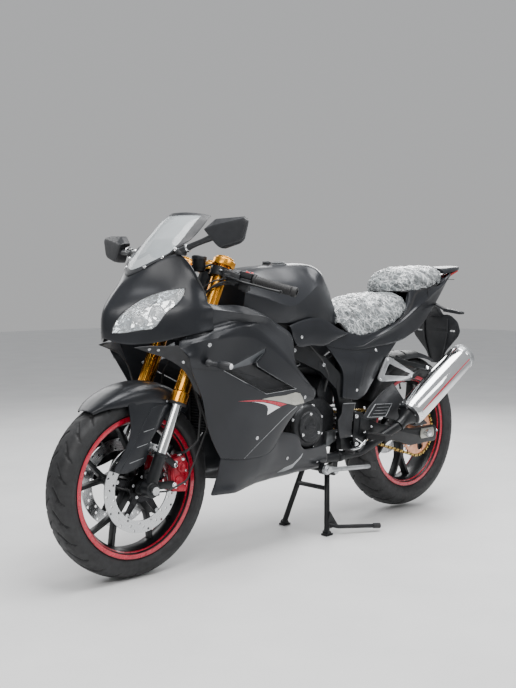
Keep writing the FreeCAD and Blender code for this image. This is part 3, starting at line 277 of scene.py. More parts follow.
def radial(k, cx, cz):
    """Distance from the wheel's axle line, in metres."""
    x = k.math("SUBTRACT", k.split(0), cx)
    z = k.math("SUBTRACT", k.split(2), cz)
    return k.math("SQRT", k.math("ADD", k.math("MULTIPLY", x, x), k.math("MULTIPLY", z, z)))


def disc_look(name, c, inner):
    k = Look(name, (0.55, 0.56, 0.57), 1.0, 0.24)
    x0, z0 = (c[0] + SHIFT_X) / 1000, c[1] / 1000
    r = radial(k, x0, z0)
    rings = node(k.nt, "ShaderNodeCombineXYZ")
    k.link(r, rings.inputs[0])
    lines = k.noise(1800.0, 2.0, vec=rings.outputs[0])
    bright = k.ramp(lines, [(0.3, (0.36, 0.37, 0.38)), (0.7, (0.72, 0.73, 0.74))])
    dark = k.ramp(k.noise(60.0), [(0.3, (0.010, 0.010, 0.011)), (0.7, (0.03, 0.03, 0.032))])
    mix = node(k.nt, "ShaderNodeMix", data_type="RGBA")
    k.link(k.remap(r, inner - 0.0005, inner + 0.0005), mix.inputs[0])
    k.link(dark, mix.inputs[6])
    k.link(bright, mix.inputs[7])
    k.colour(mix.outputs[2])
    k.roughness(k.remap(lines, 0.2, 0.8, 0.18, 0.36))
    k.bump(lines, 0.00003, 0.5)
    return k


disc_look("front_disc_look", FA, 0.1035)
disc_look("rear_disc_look", RA, 0.0775)

vinyl = Look("seat_vinyl_look", (0.016, 0.016, 0.018), 0.0, 0.42)
vinyl.colour(vinyl.ramp(vinyl.noise(40.0, 4.0), [(0.3, (0.010, 0.010, 0.011)),
                                                 (0.7, (0.024, 0.024, 0.026))]))
vinyl.roughness(vinyl.remap(vinyl.noise(120.0, 3.0), 0.3, 0.7, 0.34, 0.50))
vinyl.bump(vinyl.voronoi(420.0), 0.0004, 0.35)

film = Look("film_look", (0.72, 0.75, 0.77), 0.0, 0.14, Specular_IOR_Level=1.0, Coat_Weight=0.8,
            Coat_Roughness=0.05)
creases = film.voronoi(30.0, "DISTANCE_TO_EDGE", film.stretch((1.0, 0.6, 1.8), (0.5, 0.3, 0.7)))
folds = film.voronoi(17.0, "DISTANCE_TO_EDGE", film.stretch((0.7, 1.3, 1.9), (0.2, 0.9, 0.4)))
veil = film.noise(14.0, 3.0, 0.55, film.stretch((1.0, 0.7, 1.9), (0.4, 0.5, 0.6)), 1.6)
near = film.math("MINIMUM", film.remap(creases, 0.0, 0.07, 0.0, 1.0),
                 film.remap(folds, 0.0, 0.06, 0.0, 1.0))
film.link(film.math("MULTIPLY", film.remap(near, 0.0, 1.0, 1.0, 0.62),
                    film.remap(veil, 0.40, 0.60, 0.22, 0.86)), film.b.inputs["Alpha"])
# crease lines painted near white, fading to grey on the faces: painted highlights along the film's creases
film.colour(film.ramp(near, [(0.0, (0.90, 0.92, 0.93)), (0.45, (0.50, 0.53, 0.54)),
                             (1.0, (0.34, 0.37, 0.38))]))
film.roughness(film.remap(veil, 0.3, 0.7, 0.10, 0.20))
film.bump(creases, 0.012, 0.6)
film.m.surface_render_method = "BLENDED" if hasattr(film.m, "surface_render_method") else None

screen = Look("screen_look", (0.50, 0.54, 0.56), 0.0, 0.05, Specular_IOR_Level=0.9)
screen.link(screen.remap(screen.noise(6.0, 3.0), 0.3, 0.7, 0.38, 0.50), screen.b.inputs["Alpha"])
screen.bump(screen.noise(14.0, 1.0), 0.0002, 0.15)

lens_look = Look("lens_look", (0.86, 0.90, 0.92), 0.0, 0.03, Specular_IOR_Level=0.9)
lens_look.link(lens_look.remap(lens_look.noise(30.0, 2.0), 0.3, 0.7, 0.10, 0.18),
               lens_look.b.inputs["Alpha"])
lens_look.bump(lens_look.noise(60.0, 1.0), 0.0001, 0.1)

bowl_look = Look("bowl_look", (0.80, 0.82, 0.84), 1.0, 0.12)
bowl_look.colour(bowl_look.ramp(bowl_look.noise(24.0, 3.0), [(0.3, (0.55, 0.58, 0.60)),
                                                             (0.7, (0.92, 0.94, 0.95))]))
bowl_look.bump(bowl_look.voronoi(70.0), 0.003, 0.5)

dial = Look("dial_look", (0.02, 0.025, 0.03), 0.0, 0.12, Coat_Weight=0.8)
dial.colour(dial.ramp(dial.noise(50.0, 2.0), [(0.3, (0.012, 0.016, 0.020)),
                                              (0.7, (0.03, 0.04, 0.045))]))
dial.bump(dial.noise(300.0, 2.0), 0.0001, 0.3)

simple("fins_look", (0.03, 0.03, 0.033), (0.07, 0.07, 0.075), 0.7, 0.45, 60, 800,
                   0.0001)
simple("floor_look", (0.70, 0.70, 0.70), (0.76, 0.76, 0.755), 0.0, 0.62, 3, 120, 0.0002, 0.06)


# ------------------------------------------------------------------ mesh helpers
def link(ob):
    bpy.context.scene.collection.objects.link(ob)
    return ob


def bake(ob, angle=38.0):
    """Applies every modifier, then shades smooth with sharp creases."""
    dg = bpy.context.evaluated_depsgraph_get()
    dg.update()
    me = bpy.data.meshes.new_from_object(ob.evaluated_get(dg), depsgraph=dg)
    old = ob.data
    ob.modifiers.clear()
    ob.data = me
    me.name = ob.name
    bpy.data.meshes.remove(old)
    me.shade_smooth()
    me.set_sharp_from_angle(angle=math.radians(angle))
    return ob


def settle(ob, body, mats, replaces=()):
    for m in mats:
        ob.data.materials.append(MATS[m].m) if len(ob.data.materials) < len(mats) else None
    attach(ob, body)
    if replaces:
        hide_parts(*replaces)
    return ob


class Piece:
    """Collects primitives, in millimetres, for one object."""

    def __init__(self):
        self.v, self.f, self.m = [], [], []

    def add(self, verts, faces, mi=0):
        off = len(self.v)
        self.v += [Vector(p) for p in verts]
        self.f += [[i + off for i in f] for f in faces]
        self.m += [mi] * len(faces)
        return self

    def lathe(self, prof, a, b, seg=32, mi=0, closed=False):
        """Profile of (t, r) about the line from a to b. Open ones start and end at r = 0."""
        a, b = Vector(a), Vector(b)
        w = (b - a).normalized()
        n = w.cross(Vector((0, 1, 0))) if abs(w.y) < 0.9 else w.cross(Vector((1, 0, 0)))
        n.normalize()
        o = w.cross(n)
        verts, rings = [], []
        for t, r in prof:
            if r < 1e-6:
                rings.append([len(verts)])
                verts.append(a + w * t)
            else:
                rings.append(list(range(len(verts), len(verts) + seg)))
                for k in range(seg):
                    q = 2 * math.pi * k / seg
                    verts.append(a + w * t + (n * math.cos(q) + o * math.sin(q)) * r)
        faces = []
        pairs = list(zip(rings, rings[1:])) + ([(rings[-1], rings[0])] if closed else [])
        for p, q in pairs:
            if len(p) == 1 and len(q) == 1:
                continue
            for k in range(seg):
                j = (k + 1) % seg
                if len(p) == 1:
                    faces.append([p[0], q[j], q[k]])
                elif len(q) == 1:
                    faces.append([p[k], p[j], q[0]])
                else:
                    faces.append([p[k], p[j], q[j], q[k]])
        return self.add(verts, faces, mi)

    def rod(self, a, b, r, seg=20, mi=0, chamfer=0.8):
        L = (Vector(b) - Vector(a)).length
        c = min(chamfer, r * 0.4, L * 0.4)
        return self.lathe([(0, 0), (0, r - c), (c, r), (L - c, r), (L, r - c), (L, 0)], a, b, seg, mi)

    def pipe(self, a, b, ro, ri, seg=32, mi=0, c=0.6):
        L = (Vector(b) - Vector(a)).length
        return self.lathe([(0, ri), (0, ro - c), (c, ro), (L - c, ro), (L, ro - c), (L, ri)],
                          a, b, seg, mi, closed=True)

    def tube(self, pts, r, bend=20.0, seg=12, mi=0):
        """Round bar along pts with its corners rounded; r may be a list, one per point."""
        p = [Vector(q) for q in pts]
        path = [p[0]]
        for i in range(1, len(p) - 1):
            d1, d2 = (p[i] - p[i - 1]), (p[i + 1] - p[i])
            l1, l2 = d1.length, d2.length
            d1.normalize(), d2.normalize()
            ang = d1.angle(d2)
            if ang < 0.03:
                path.append(p[i])
                continue
            k = min(bend * math.tan(ang / 2), 0.48 * l1, 0.48 * l2)
            a, b = p[i] - d1 * k, p[i] + d2 * k
            steps = max(3, int(ang / 0.22))
            for s in range(steps + 1):
                t = s / steps
                path.append(a * (1 - t) ** 2 + p[i] * 2 * t * (1 - t) + b * t * t)
        path.append(p[-1])
        clean = [path[0]]
        for q in path[1:]:
            if (q - clean[-1]).length > 0.05:
                clean.append(q)
        return self.sweep(clean, r, seg, mi)

    def sweep(self, path, r, seg=12, mi=0, flat=1.0, cap=True):
        rr = r if isinstance(r, (list, tuple)) else [r] * len(path)
        t0 = (path[1] - path[0]).normalized()
        n = t0.cross(Vector((0.13, 0.21, 0.97)))
        n.normalize()
        verts, faces = [], []
        prev = t0
        for i, q in enumerate(path):
            a = path[max(i - 1, 0)]
            b = path[min(i + 1, len(path) - 1)]
            t = (b - a).normalized()
            ax = prev.cross(t)
            if ax.length > 1e-7:
                n = Matrix.Rotation(prev.angle(t), 3, ax.normalized()) @ n
            prev = t
            n = (n - t * n.dot(t)).normalized()
            o = t.cross(n)
            for k in range(seg):
                c = 2 * math.pi * k / seg
                verts.append(q + (n * math.cos(c) + o * math.sin(c) * flat) * rr[i])
        for i in range(len(path) - 1):
            for k in range(seg):
                j = (k + 1) % seg
                faces.append([i * seg + k, i * seg + j, (i + 1) * seg + j, (i + 1) * seg + k])
        if cap:
            faces.append(list(reversed(range(seg))))
            faces.append([(len(path) - 1) * seg + k for k in range(seg)])
        return self.add(verts, faces, mi)

    def prism(self, outline, vec, mi=0):
        """Outline of 3-D points pushed along vec."""
        pts = [Vector(p) for p in outline]
        n = len(pts)
        nrm = Vector((0, 0, 0))
        for i in range(n):
            nrm += pts[i].cross(pts[(i + 1) % n])
        v = Vector(vec)
        if nrm.dot(v) > 0:
            pts.reverse()
        faces = [list(range(n)), [n + i for i in reversed(range(n))]]
        for i in range(n):
            j = (i + 1) % n
            faces.append([j, i, n + i, n + j])
        return self.add(pts + [p + v for p in pts], faces, mi)

    def xz(self, outline, y0, y1, mi=0):
        return self.prism([(x, y0, z) for x, z in outline], (0, y1 - y0, 0), mi)

    def box(self, x0, x1, y0, y1, z0, z1, mi=0):
        return self.prism([(x0, y0, z0), (x1, y0, z0), (x1, y1, z0), (x0, y1, z0)],
                          (0, 0, z1 - z0), mi)

    def beam(self, a, b, w, h, up=(0, 0, 1), mi=0, taper=1.0):
        a, b, up = Vector(a), Vector(b), Vector(up)
        d = b - a
        s = d.cross(up).normalized()
        n = s.cross(d).normalized()
        q = [(1, 1), (-1, 1), (-1, -1), (1, -1)]
        p = [a + s * (w / 2 * i) + n * (h / 2 * j) for i, j in q]
        p += [b + s * (w / 2 * i * taper) + n * (h / 2 * j * taper) for i, j in q]
        return self.add(p, [[3, 2, 1, 0], [4, 5, 6, 7]] + [[i, (i + 1) % 4, (i + 1) % 4 + 4, i + 4]
                                                          for i in range(4)], mi)

    def bolt(self, p, n, r=4.5, h=3.0, mi=0, seg=14):
        """Socket head on a small washer face, standing on p along n."""
        p, n = Vector(p), Vector(n).normalized()
        prof = [(-2, 0), (-2, r * 1.25), (0.8, r * 1.25), (1.0, r), (h - 0.5, r), (h, r - 0.6),
                (h, r * 0.52), (h - min(1.6, h * 0.6), r * 0.46), (h - min(1.6, h * 0.6), 0)]
        return self.lathe(prof, p, p + n, seg, mi)

    def nut(self, p, n, r=7.0, h=6.0, mi=0):
        """Hexagonal head with a chamfered crown."""
        p, n = Vector(p), Vector(n).normalized()
        prof = [(-1, 0), (-1, r * 1.3), (1.2, r * 1.3), (1.2, r), (h - 1, r), (h, r * 0.86), (h, 0)]
        return self.lathe(prof, p, p + n, 6, mi)

    def make(self, name, body, mats, replaces=(), bevel=0.0, seg=2, angle=38.0, limit=32.0,
             mirror=False, weld=False):
        me = bpy.data.meshes.new(name)
        verts, faces, mi = self.v, self.f, self.m
        if mirror:
            n = len(verts)
            verts = verts + [Vector((p.x, -p.y, p.z)) for p in verts]
            faces = faces + [[i + n for i in reversed(f)] for f in faces]
            mi = mi + mi
        me.from_pydata([mm(p) for p in verts], [], faces)
        me.polygons.foreach_set("material_index", mi)
        me.validate()
        bm = bmesh.new()
        bm.from_mesh(me)
        if weld:
            bmesh.ops.remove_doubles(bm, verts=bm.verts, dist=0.00001)
        bmesh.ops.recalc_face_normals(bm, faces=bm.faces)
        bm.to_mesh(me)
        bm.free()
        ob = link(bpy.data.objects.new(name, me))
        if bevel:
            b = ob.modifiers.new("bevel", "BEVEL")
            b.width = bevel / 1000.0
            b.segments = seg
            b.limit_method = "ANGLE"
            b.angle_limit = math.radians(limit)
            b.use_clamp_overlap = True
        bake(ob, angle)
        return settle(ob, body, mats, replaces)


def spline(pts, counts, crease=()):
    """Points through pts, counts[i] of them per segment, with corners kept at crease."""
    pts = [Vector(p) for p in pts]
    cuts = [0] + sorted(c for c in crease if 0 < c < len(pts) - 1) + [len(pts) - 1]
    out = [pts[0].copy()]
    for a, b in zip(cuts, cuts[1:]):
        span = pts[a:b + 1]
        n = len(span)
        d = [max((span[i + 1] - span[i]).length, 1e-6) for i in range(n - 1)]
        s = [(span[i + 1] - span[i]) / d[i] for i in range(n - 1)]
        tan = []
        for i in range(n):
            if 0 < i < n - 1:
                tan.append((s[i - 1] * d[i] + s[i] * d[i - 1]) / (d[i - 1] + d[i]))
            else:
                tan.append(None)
        if n == 2:
            tan = [s[0], s[0]]
        else:
            tan[0] = s[0] * 1.5 - tan[1] * 0.5
            tan[-1] = s[-1] * 1.5 - tan[-2] * 0.5
        for i in range(n - 1):
            k = counts[a + i]
            for j in range(1, k + 1):
                t = j / k
                h00 = 2 * t ** 3 - 3 * t ** 2 + 1
                h10 = t ** 3 - 2 * t ** 2 + t
                h01 = -2 * t ** 3 + 3 * t ** 2
                h11 = t ** 3 - t ** 2
                out.append(span[i] * h00 + tan[i] * (h10 * d[i]) + span[i + 1] * h01
                           + tan[i + 1] * (h11 * d[i]))
    return out


def counts_for(rows, cell):
    nc = len(rows[0])
    out = []
    for j in range(nc - 1):
        m = sum((Vector(r[j + 1]) - Vector(r[j])).length for r in rows) / len(rows)
        out.append(max(1, int(round(m / cell))))
    return out


def refine(rows, cell=9.0, crease_rows=(), crease_cols=()):
    cc = counts_for(rows, cell)
    wide = [spline(r, cc, crease_cols) for r in rows]
    cols = [list(c) for c in zip(*wide)]
    rc = counts_for(cols, cell)
    cols = [spline(c, rc, crease_rows) for c in cols]
    return [list(r) for r in zip(*cols)]


def both(rows):
    return [[(x, -y, z) for x, y, z in reversed(r[1:])] + list(r) for r in rows]


def flip_y(rows):
    return [[(p[0], -p[1], p[2]) for p in r] for r in rows]


def grid_mesh(name, grid, inside, thick=3.0, bevel=0.9, close_cols=False, face_mat=None):
    """Panel object from a fine grid: thick behind its outer face, with rolled edges."""
    nr, nc = len(grid), len(grid[0])
    verts = [mm(p) for r in grid for p in r]
    faces, mats = [], []
    for i in range(nr - 1):
        for j in range(nc - 1):
            faces.append([i * nc + j, i * nc + j + 1, (i + 1) * nc + j + 1, (i + 1) * nc + j])
            mats.append(face_mat(i, j, nr, nc) if face_mat else 0)
    c = mm(inside)
    score = 0.0
    for f in faces:
        a, b, d, e = (verts[k] for k in f)
        score += (d - a).cross(e - b).dot((a + d) / 2 - c)
    if score < 0:
        faces = [list(reversed(f)) for f in faces]
    me = bpy.data.meshes.new(name)
    me.from_pydata(verts, [], faces)
    me.polygons.foreach_set("material_index", mats)
    me.validate()
    ob = link(bpy.data.objects.new(name, me))
    if thick:
        s = ob.modifiers.new("thick", "SOLIDIFY")
        s.thickness = thick / 1000.0
        s.offset = -1.0
        s.use_even_offset = False
    if bevel:
        b = ob.modifiers.new("bevel", "BEVEL")
        b.width = bevel / 1000.0
        b.segments = 2
        b.limit_method = "ANGLE"
        b.angle_limit = math.radians(50)
    return ob


def panel(name, rows, body, mats, inside=(700, 0, 500), cell=9.0, crease_rows=(), crease_cols=(),
          thick=3.0, bevel=0.9, replaces=(), angle=30.0, face_mat=None, holes=()):
    ob = grid_mesh(name, refine(rows, cell, crease_rows, crease_cols), inside, thick, 0,
                   face_mat=face_mat)
    for m in mats:
        ob.data.materials.append(MATS[m].m)
    for h in holes:
        cut(ob, h)
    if bevel:
        b = ob.modifiers.new("bevel", "BEVEL")
        b.width = bevel / 1000.0
        b.segments = 2
        b.limit_method = "ANGLE"
        b.angle_limit = math.radians(50)
    bake(ob, angle)
    return settle(ob, body, mats, replaces)


def cut(ob, cutter):
    m = ob.modifiers.new("cut", "BOOLEAN")
    m.operation = "DIFFERENCE"
    m.solver = "EXACT"
    m.object = cutter


def cutter_from(name, piece):
    me = bpy.data.meshes.new(name)
    me.from_pydata([mm(p) for p in piece.v], [], piece.f)
    bm = bmesh.new()
    bm.from_mesh(me)
    bmesh.ops.recalc_face_normals(bm, faces=bm.faces)
    bm.to_mesh(me)
    bm.free()
    return link(bpy.data.objects.new(name, me))


def drop(*obs):
    for o in obs:
        bpy.data.objects.remove(o, do_unlink=True)


def hull_body(name, stations, cell=8.0, crease_ring=(), crease_st=(), cap_round=0.0):
    """Closed form through stations of (x, half outline of (y, z)), as a mesh object."""
    rings = []
    L = len(stations[0][1])
    for x, half in stations:
        up = [(x, y, z) for y, z in reversed(half)]
        rings.append(up + [(x, -y, z) for y, z in half[1:]])
    cr = sorted(set([L - 1 - i for i in crease_ring] + [L - 1 + i for i in crease_ring]))
    grid = refine(rings, cell, crease_st, cr)
    nr, nc = len(grid), len(grid[0]) - 1
    verts = [mm(p) for r in grid for p in r[:-1]]
    faces = []
    for i in range(nr - 1):
        for j in range(nc):
            k = (j + 1) % nc
            faces.append([i * nc + j, i * nc + k, (i + 1) * nc + k, (i + 1) * nc + j])
    for i in (0, nr - 1):
        c = Vector((0, 0, 0))
        for j in range(nc):
            c += verts[i * nc + j]
        verts.append(c / nc)
        ci = len(verts) - 1
        for j in range(nc):
            faces.append([i * nc + j, i * nc + (j + 1) % nc, ci])
    me = bpy.data.meshes.new(name)
    me.from_pydata(verts, [], faces)
    bm = bmesh.new()
    bm.from_mesh(me)
    bmesh.ops.remove_doubles(bm, verts=bm.verts, dist=0.00001)
    bmesh.ops.recalc_face_normals(bm, faces=bm.faces)
    bm.to_mesh(me)
    bm.free()
    return link(bpy.data.objects.new(name, me))


class Surf:
    """Outer faces of one or more finished objects, for laying things on them."""

    def __init__(self, *obs):
        verts, polys = [], []
        for ob in obs:
            off = len(verts)
            verts += [v.co.copy() for v in ob.data.vertices]
            polys += [[i + off for i in p.vertices] for p in ob.data.polygons]
        self.t = BVHTree.FromPolygons(verts, polys)

    def seen(self, px, py):
        """The point, in millimetres, that a pixel of the photograph falls on."""
        p, n, i, d = self.t.ray_cast(CAM_AT, ray(px, py), 20.0)
        return None if p is None else (back(p), n)

    def side(self, x, z, sgn=-1):
        o = mm((x, sgn * 900, z))
        p, n, i, d = self.t.ray_cast(o, Vector((0, -sgn, 0)), 2.0)
        if p is None:
            p, n, i, d = self.t.find_nearest(mm((x, sgn * 230, z)))
        if n.y * sgn < 0:
            n = -n
        return back(p), n

    def down(self, x, y):
        p, n, i, d = self.t.ray_cast(mm((x, y, 1500)), Vector((0, 0, -1)), 3.0)
        if p is None:
            return None
        return back(p), n


def strip_on(piece, surf, pts, width, sgn=-1, raised=0.35, deep=1.0, mi=0, step=5.0):
    """Narrow band laid on a side surface along (x, z) points."""
    line = []
    for (x0, z0), (x1, z1) in zip(pts, pts[1:]):
        n = max(1, int(math.hypot(x1 - x0, z1 - z0) / step))
        for k in range(n):
            line.append((x0 + (x1 - x0) * k / n, z0 + (z1 - z0) * k / n))
    line.append(pts[-1])
    got = [surf.side(x, z, sgn) for x, z in line]
    verts, faces = [], []
    for i, (p, n) in enumerate(got):
        a, b = got[max(i - 1, 0)][0], got[min(i + 1, len(got) - 1)][0]
        t = (b - a).normalized()
        s = t.cross(n).normalized()
        w = width(i / (len(got) - 1)) if callable(width) else width
        verts += [p + n * raised - s * (w / 2), p + n * raised + s * (w / 2),
                  p - n * deep + s * (w / 2), p - n * deep - s * (w / 2)]
    for i in range(len(got) - 1):
        for k in range(4):
            j = (k + 1) % 4
            faces.append([i * 4 + k, i * 4 + j, (i + 1) * 4 + j, (i + 1) * 4 + k])
    faces.append([3, 2, 1, 0])
    e = (len(got) - 1) * 4
    faces.append([e, e + 1, e + 2, e + 3])
    piece.add(verts, faces, mi)


def decal(name, surf, outline, sgn, body, mats, raised=0.4, deep=0.6, cell=6.0):
    """Thin inlay over a side surface inside an outline of (x, z)."""
    bm = bmesh.new()
    vs = [bm.verts.new((x, 0, z)) for x, z in outline]
    bm.faces.new(vs)
    bmesh.ops.triangulate(bm, faces=bm.faces)
    for _ in range(6):
        long = [e for e in bm.edges if e.calc_length() > cell]
        if not long:
            break
        bmesh.ops.subdivide_edges(bm, edges=long, cuts=1)
        bmesh.ops.triangulate(bm, faces=bm.faces)
    bm.verts.ensure_lookup_table()
    top = [surf.side(v.co.x, v.co.z, sgn) for v in bm.verts]
    n = len(top)
    verts = [p + q * raised for p, q in top] + [p - q * deep for p, q in top]
    faces = []
    bm.verts.index_update()
    for f in bm.faces:
        ids = [v.index for v in f.verts]
        faces.append(ids)
        faces.append([i + n for i in reversed(ids)])
    for e in bm.edges:
        if len(e.link_faces) == 1:
            a, b = (v.index for v in e.verts)
            faces.append([a, b, b + n, a + n])
    bm.free()
    pc = Piece().add(verts, faces)
    return pc.make(name, body, mats, angle=35)


def paint_node(name, look):
    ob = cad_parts[name]
    ob = bpy.data.objects.get(name) if not hasattr(ob, "data") else ob
    ob.data.materials.clear()
    ob.data.materials.append(MATS[look].m)
    return ob


# ================================================================== wheels
FRONT_OUT = [(-37.4, 218.6), (-37.4, 231), (-46, 232.5), (-53, 240), (-56, 252), (-55, 264),
             (-50, 276), (-38, 286.5), (-20, 291.8), (0, 293), (20, 291.8), (38, 286.5),
             (50, 276), (55, 264), (56, 252), (53, 240), (46, 232.5), (37.4, 231), (37.4, 218.6)]
REAR_OUT = [(-48.4, 218.6), (-48.4, 231), (-59, 233), (-69, 243), (-74, 257), (-73, 270),
            (-66, 286), (-52, 300), (-28, 310.8), (0, 314), (28, 310.8), (52, 300), (66, 286),
            (73, 270), (74, 257), (69, 243), (59, 233), (48.4, 231), (48.4, 218.6)]
TREAD = {  # per groove: start and end across the crown as a share of the half width, sweep, width
    "front": [(0.10, 0.74, 62.0, 7.6), (0.34, 0.90, 26.0, 6.0)],
    "rear": [(0.06, 0.66, 82.0, 8.4), (0.30, 0.88, 36.0, 6.6)]}


def build_tyre(name, c, outer, kind, body, replaced, repeats):
    crown = max(r for _, r in outer)
    half = max(y for y, _ in outer)
    prof = [Vector((y, 0, r)) for y, r in outer]
    fine = spline(prof, counts_for([prof], 2.6), crease=(1, 17))
    arc = [0.0]
    for a, b in zip(fine, fine[1:]):
        arc.append(arc[-1] + (b - a).length)
    mid = arc[-1] / 2
    inner = [(half * 0.72, 228), (half * 0.84, 252), (half * 0.66, 276), (0, crown - 10),
             (-half * 0.66, 276), (-half * 0.84, 252), (-half * 0.72, 228)]
    n = 480
    pitch = 2 * math.pi / repeats
    verts, faces, deep = [], [], set()
    m = len(fine) + len(inner)
    for i in range(n):
        th = 2 * math.pi * i / n
        ca, sa = math.cos(th), math.sin(th)
        for k, p in enumerate(fine):
            y, r = p.x, p.z
            s = arc[k] - mid
            side = 1 if s > 0 else -1
            share = abs(s) / (half * 1.28)
            depth = 0.0
            base = th + (0 if side > 0 else pitch / 2)
            for g, (a0, a1, sweep, w) in enumerate(TREAD[kind]):
                if not a0 < share < a1:
                    continue
                t = (share - a0) / (a1 - a0)
                ph = (base - (sweep / crown) * (t ** 1.25) - g * pitch * 0.5) % pitch
                dist = min(ph, pitch - ph) * crown * 0.80
                ww = w * (0.45 + 0.55 * math.sin(math.pi * min(1.0, t * 1.15)) ** 0.6)
                q = (ww / 2 + 0.9 - dist) / 1.8
                q = max(0.0, min(1.0, q))
                q = q * q * (3 - 2 * q)
                depth = max(depth, q * 3.6 * min(1.0, (a1 - share) * 9))
            if share > 0.93:        # fine rings low on the sidewall
                ring = abs((r - 236) % 9.0 - 4.5)
                if 238 < r < 264 and ring < 0.8:
                    depth = 0.5
            ny, nr = 0.0, 1.0
            if share > 0.8:
                ny, nr = side * 0.7, 0.7
            # vertices deep in a groove; their faces later take groove_look as painted shade
            if depth > 1.3:
                deep.add(len(verts))
            verts.append((c[0] + (r - depth * nr) * ca, y - depth * ny, c[1] + (r - depth * nr) * sa))
        for y, r in inner:
            verts.append((c[0] + r * ca, y, c[1] + r * sa))
    for i in range(n):
        j = (i + 1) % n
        for k in range(m):
            q = (k + 1) % m
            faces.append([i * m + k, i * m + q, j * m + q, j * m + k])
    pc = Piece()
    pc.add(verts, faces)
    ob = pc.make(name, body, ["tyre_look", "groove_look"], [replaced], angle=50)
    # faces deep in the grooves take groove_look, near black: painted shade inside the tread grooves
    for poly in ob.data.polygons:
        if sum(v in deep for v in poly.vertices) >= 3:
            poly.material_index = 1
    return ob


build_tyre("tyre_front_tread", FA, FRONT_OUT, "front", "front_wheel", "front_tyre", 26)
build_tyre("tyre_rear_tread", RA, REAR_OUT, "rear", "rear_wheel", "rear_tyre", 24)

FRONT_RIM = [(-45, 230), (-38.2, 230), (-38.2, 218.8), (-30, 217), (-18, 207), (18, 207),
             (30, 217), (38.2, 218.8), (38.2, 230), (45, 230), (45, 213), (30, 208),
             (18, 199), (-18, 199), (-30, 208), (-45, 213)]
REAR_RIM = [(-56, 230), (-49.2, 230), (-49.2, 218.8), (-40, 217), (-28, 206), (28, 206),
            (40, 217), (49.2, 218.8), (49.2, 230), (56, 230), (56, 213), (40, 207),
            (28, 198), (-28, 198), (-40, 207), (-56, 213)]


def turned(pts, ang, c):
    ca, sa = math.cos(ang), math.sin(ang)
    return [(c[0] + x * ca - z * sa, c[1] + x * sa + z * ca) for x, z in pts]


def build_rim(name, c, profile, half_t, r_hub, r_rim, first, body, replaced, hub):
    pc = Piece()
    pc.lathe([(y, r) for y, r in profile], (c[0], 0, c[1]), (c[0], 1, c[1]), 144, 0, closed=True)
    pc.lathe(hub, (c[0], 0, c[1]), (c[0], 1, c[1]), 48, 0, closed=True)
    for k in range(5):
        a = math.radians(first + 72 * k)
        stem = [(r_hub - 10, -16), (70, -13), (108, -12), (122, -3), (124, 0), (122, 3), (108, 12),
                (70, 13), (r_hub - 10, 16)]
        pc.xz(turned(stem, a, c), -half_t, half_t)
        for sgn in (1, -1):
            arm = [(92, 11 * sgn), (120, 17 * sgn), (160, 36 * sgn), (r_rim + 3, 60 * sgn),
                   (r_rim + 3, 45 * sgn), (164, 24 * sgn), (126, 4 * sgn), (108, -3 * sgn)]
            if sgn < 0:
                arm = list(reversed(arm))
            pc.xz(turned(arm, a, c), -half_t + 2, half_t - 2)
    ob = pc.make(name, body, ["black_metal_look"], [replaced], bevel=2.4, seg=3, limit=40)
    return ob


FRONT_HUB = [(-57.6, 9), (-57.6, 24), (-55, 26), (-50, 27), (-49, 31), (49, 31), (50, 27), (55, 26),
             (57.6, 24), (57.6, 9)]
REAR_HUB = [(-69.8, 9.5), (-69.8, 32), (-66, 34), (-50, 34), (-48, 38), (48, 38), (50, 34),
            (62, 34), (65.8, 32), (65.8, 9.5)]
build_rim("rim_front_cast", FA, FRONT_RIM, 14, 30, 199, 90, "front_wheel", "front_rim", FRONT_HUB)
build_rim("rim_rear_cast", RA, REAR_RIM, 18, 33, 198, 54, "rear_wheel", "rear_rim", REAR_HUB)


def rim_stripe(name, c, half, body):
    """Red band round each lip, with a thin second line inside it."""
    pc = Piece()
    for s in (-1, 1):
        a, b = (c[0], 0, c[1]), (c[0], s, c[1])
        pc.lathe([(half - 1, 214.2), (half + 0.5, 214.6), (half + 0.9, 216.5), (half + 0.9, 226),
                  (half + 0.5, 228.4), (half - 1, 228.8)], a, b, 180, 0, closed=True)
        pc.lathe([(half - 7.5, 208.9), (half - 8.6, 208.5), (half - 12, 207.0), (half - 12, 209.6),
                  (half - 7.5, 211.2)], a, b, 180, 0, closed=True)
    return pc.make(name, body, ["red_stripe_look"], angle=40)


rim_stripe("rim_stripe_front", FA, 45, "front_wheel")
rim_stripe("rim_stripe_rear", RA, 56, "rear_wheel")

pc = Piece()
for k in range(5):
    a = math.radians(18 + 72 * k)
    for s in (-1, 1):
        for r in (34, 98):
            p = (FA[0] + r * math.cos(a), s * 61.8, FA[1] + r * math.sin(a))
            pc.bolt(p, (0, s, 0), 4.2 if r < 50 else 5.2, 2.6)
pc.make("disc_bolts_front", "front_wheel", ["steel_look"])
pc = Piece()
for k in range(5):
    a = math.radians(30 + 72 * k)
    pc.bolt((RA[0] + 38 * math.cos(a), 69.8, RA[1] + 38 * math.sin(a)), (0, 1, 0), 4.5, 3.0)
    a = math.radians(36 + 72 * k)
    pc.nut((RA[0] + 34 * math.cos(a), -95.8, RA[1] + 34 * math.sin(a)), (0, -1, 0), 6.0, 4.5)
pc.make("rear_hub_fasteners", "rear_wheel", ["steel_look"])
pc = Piece()
for c, y, body in ((FA, 0, "front_wheel"), (RA, 0, "rear_wheel")):
    pc = Piece()
    a = math.radians(90 + 36 if c is FA else 54 + 36)
    p = Vector((c[0] + 200 * math.cos(a), 0, c[1] + 200 * math.sin(a)))
    q = p - Vector((math.cos(a), 0, math.sin(a))) * 30 + Vector((0, -6, 0))
    pc.lathe([(-2, 0), (-2, 6), (6, 6), (9, 3.4), (24, 3.2), (24.5, 4.2), (32, 4.2), (33, 0)], p, q, 16)
    pc.make("valve_" + body, body, ["rubber_look"])

paint_node("front_discs", "front_disc_look")
paint_node("rear_disc", "rear_disc_look")
paint_node("rear_sprocket", "sprocket_look")

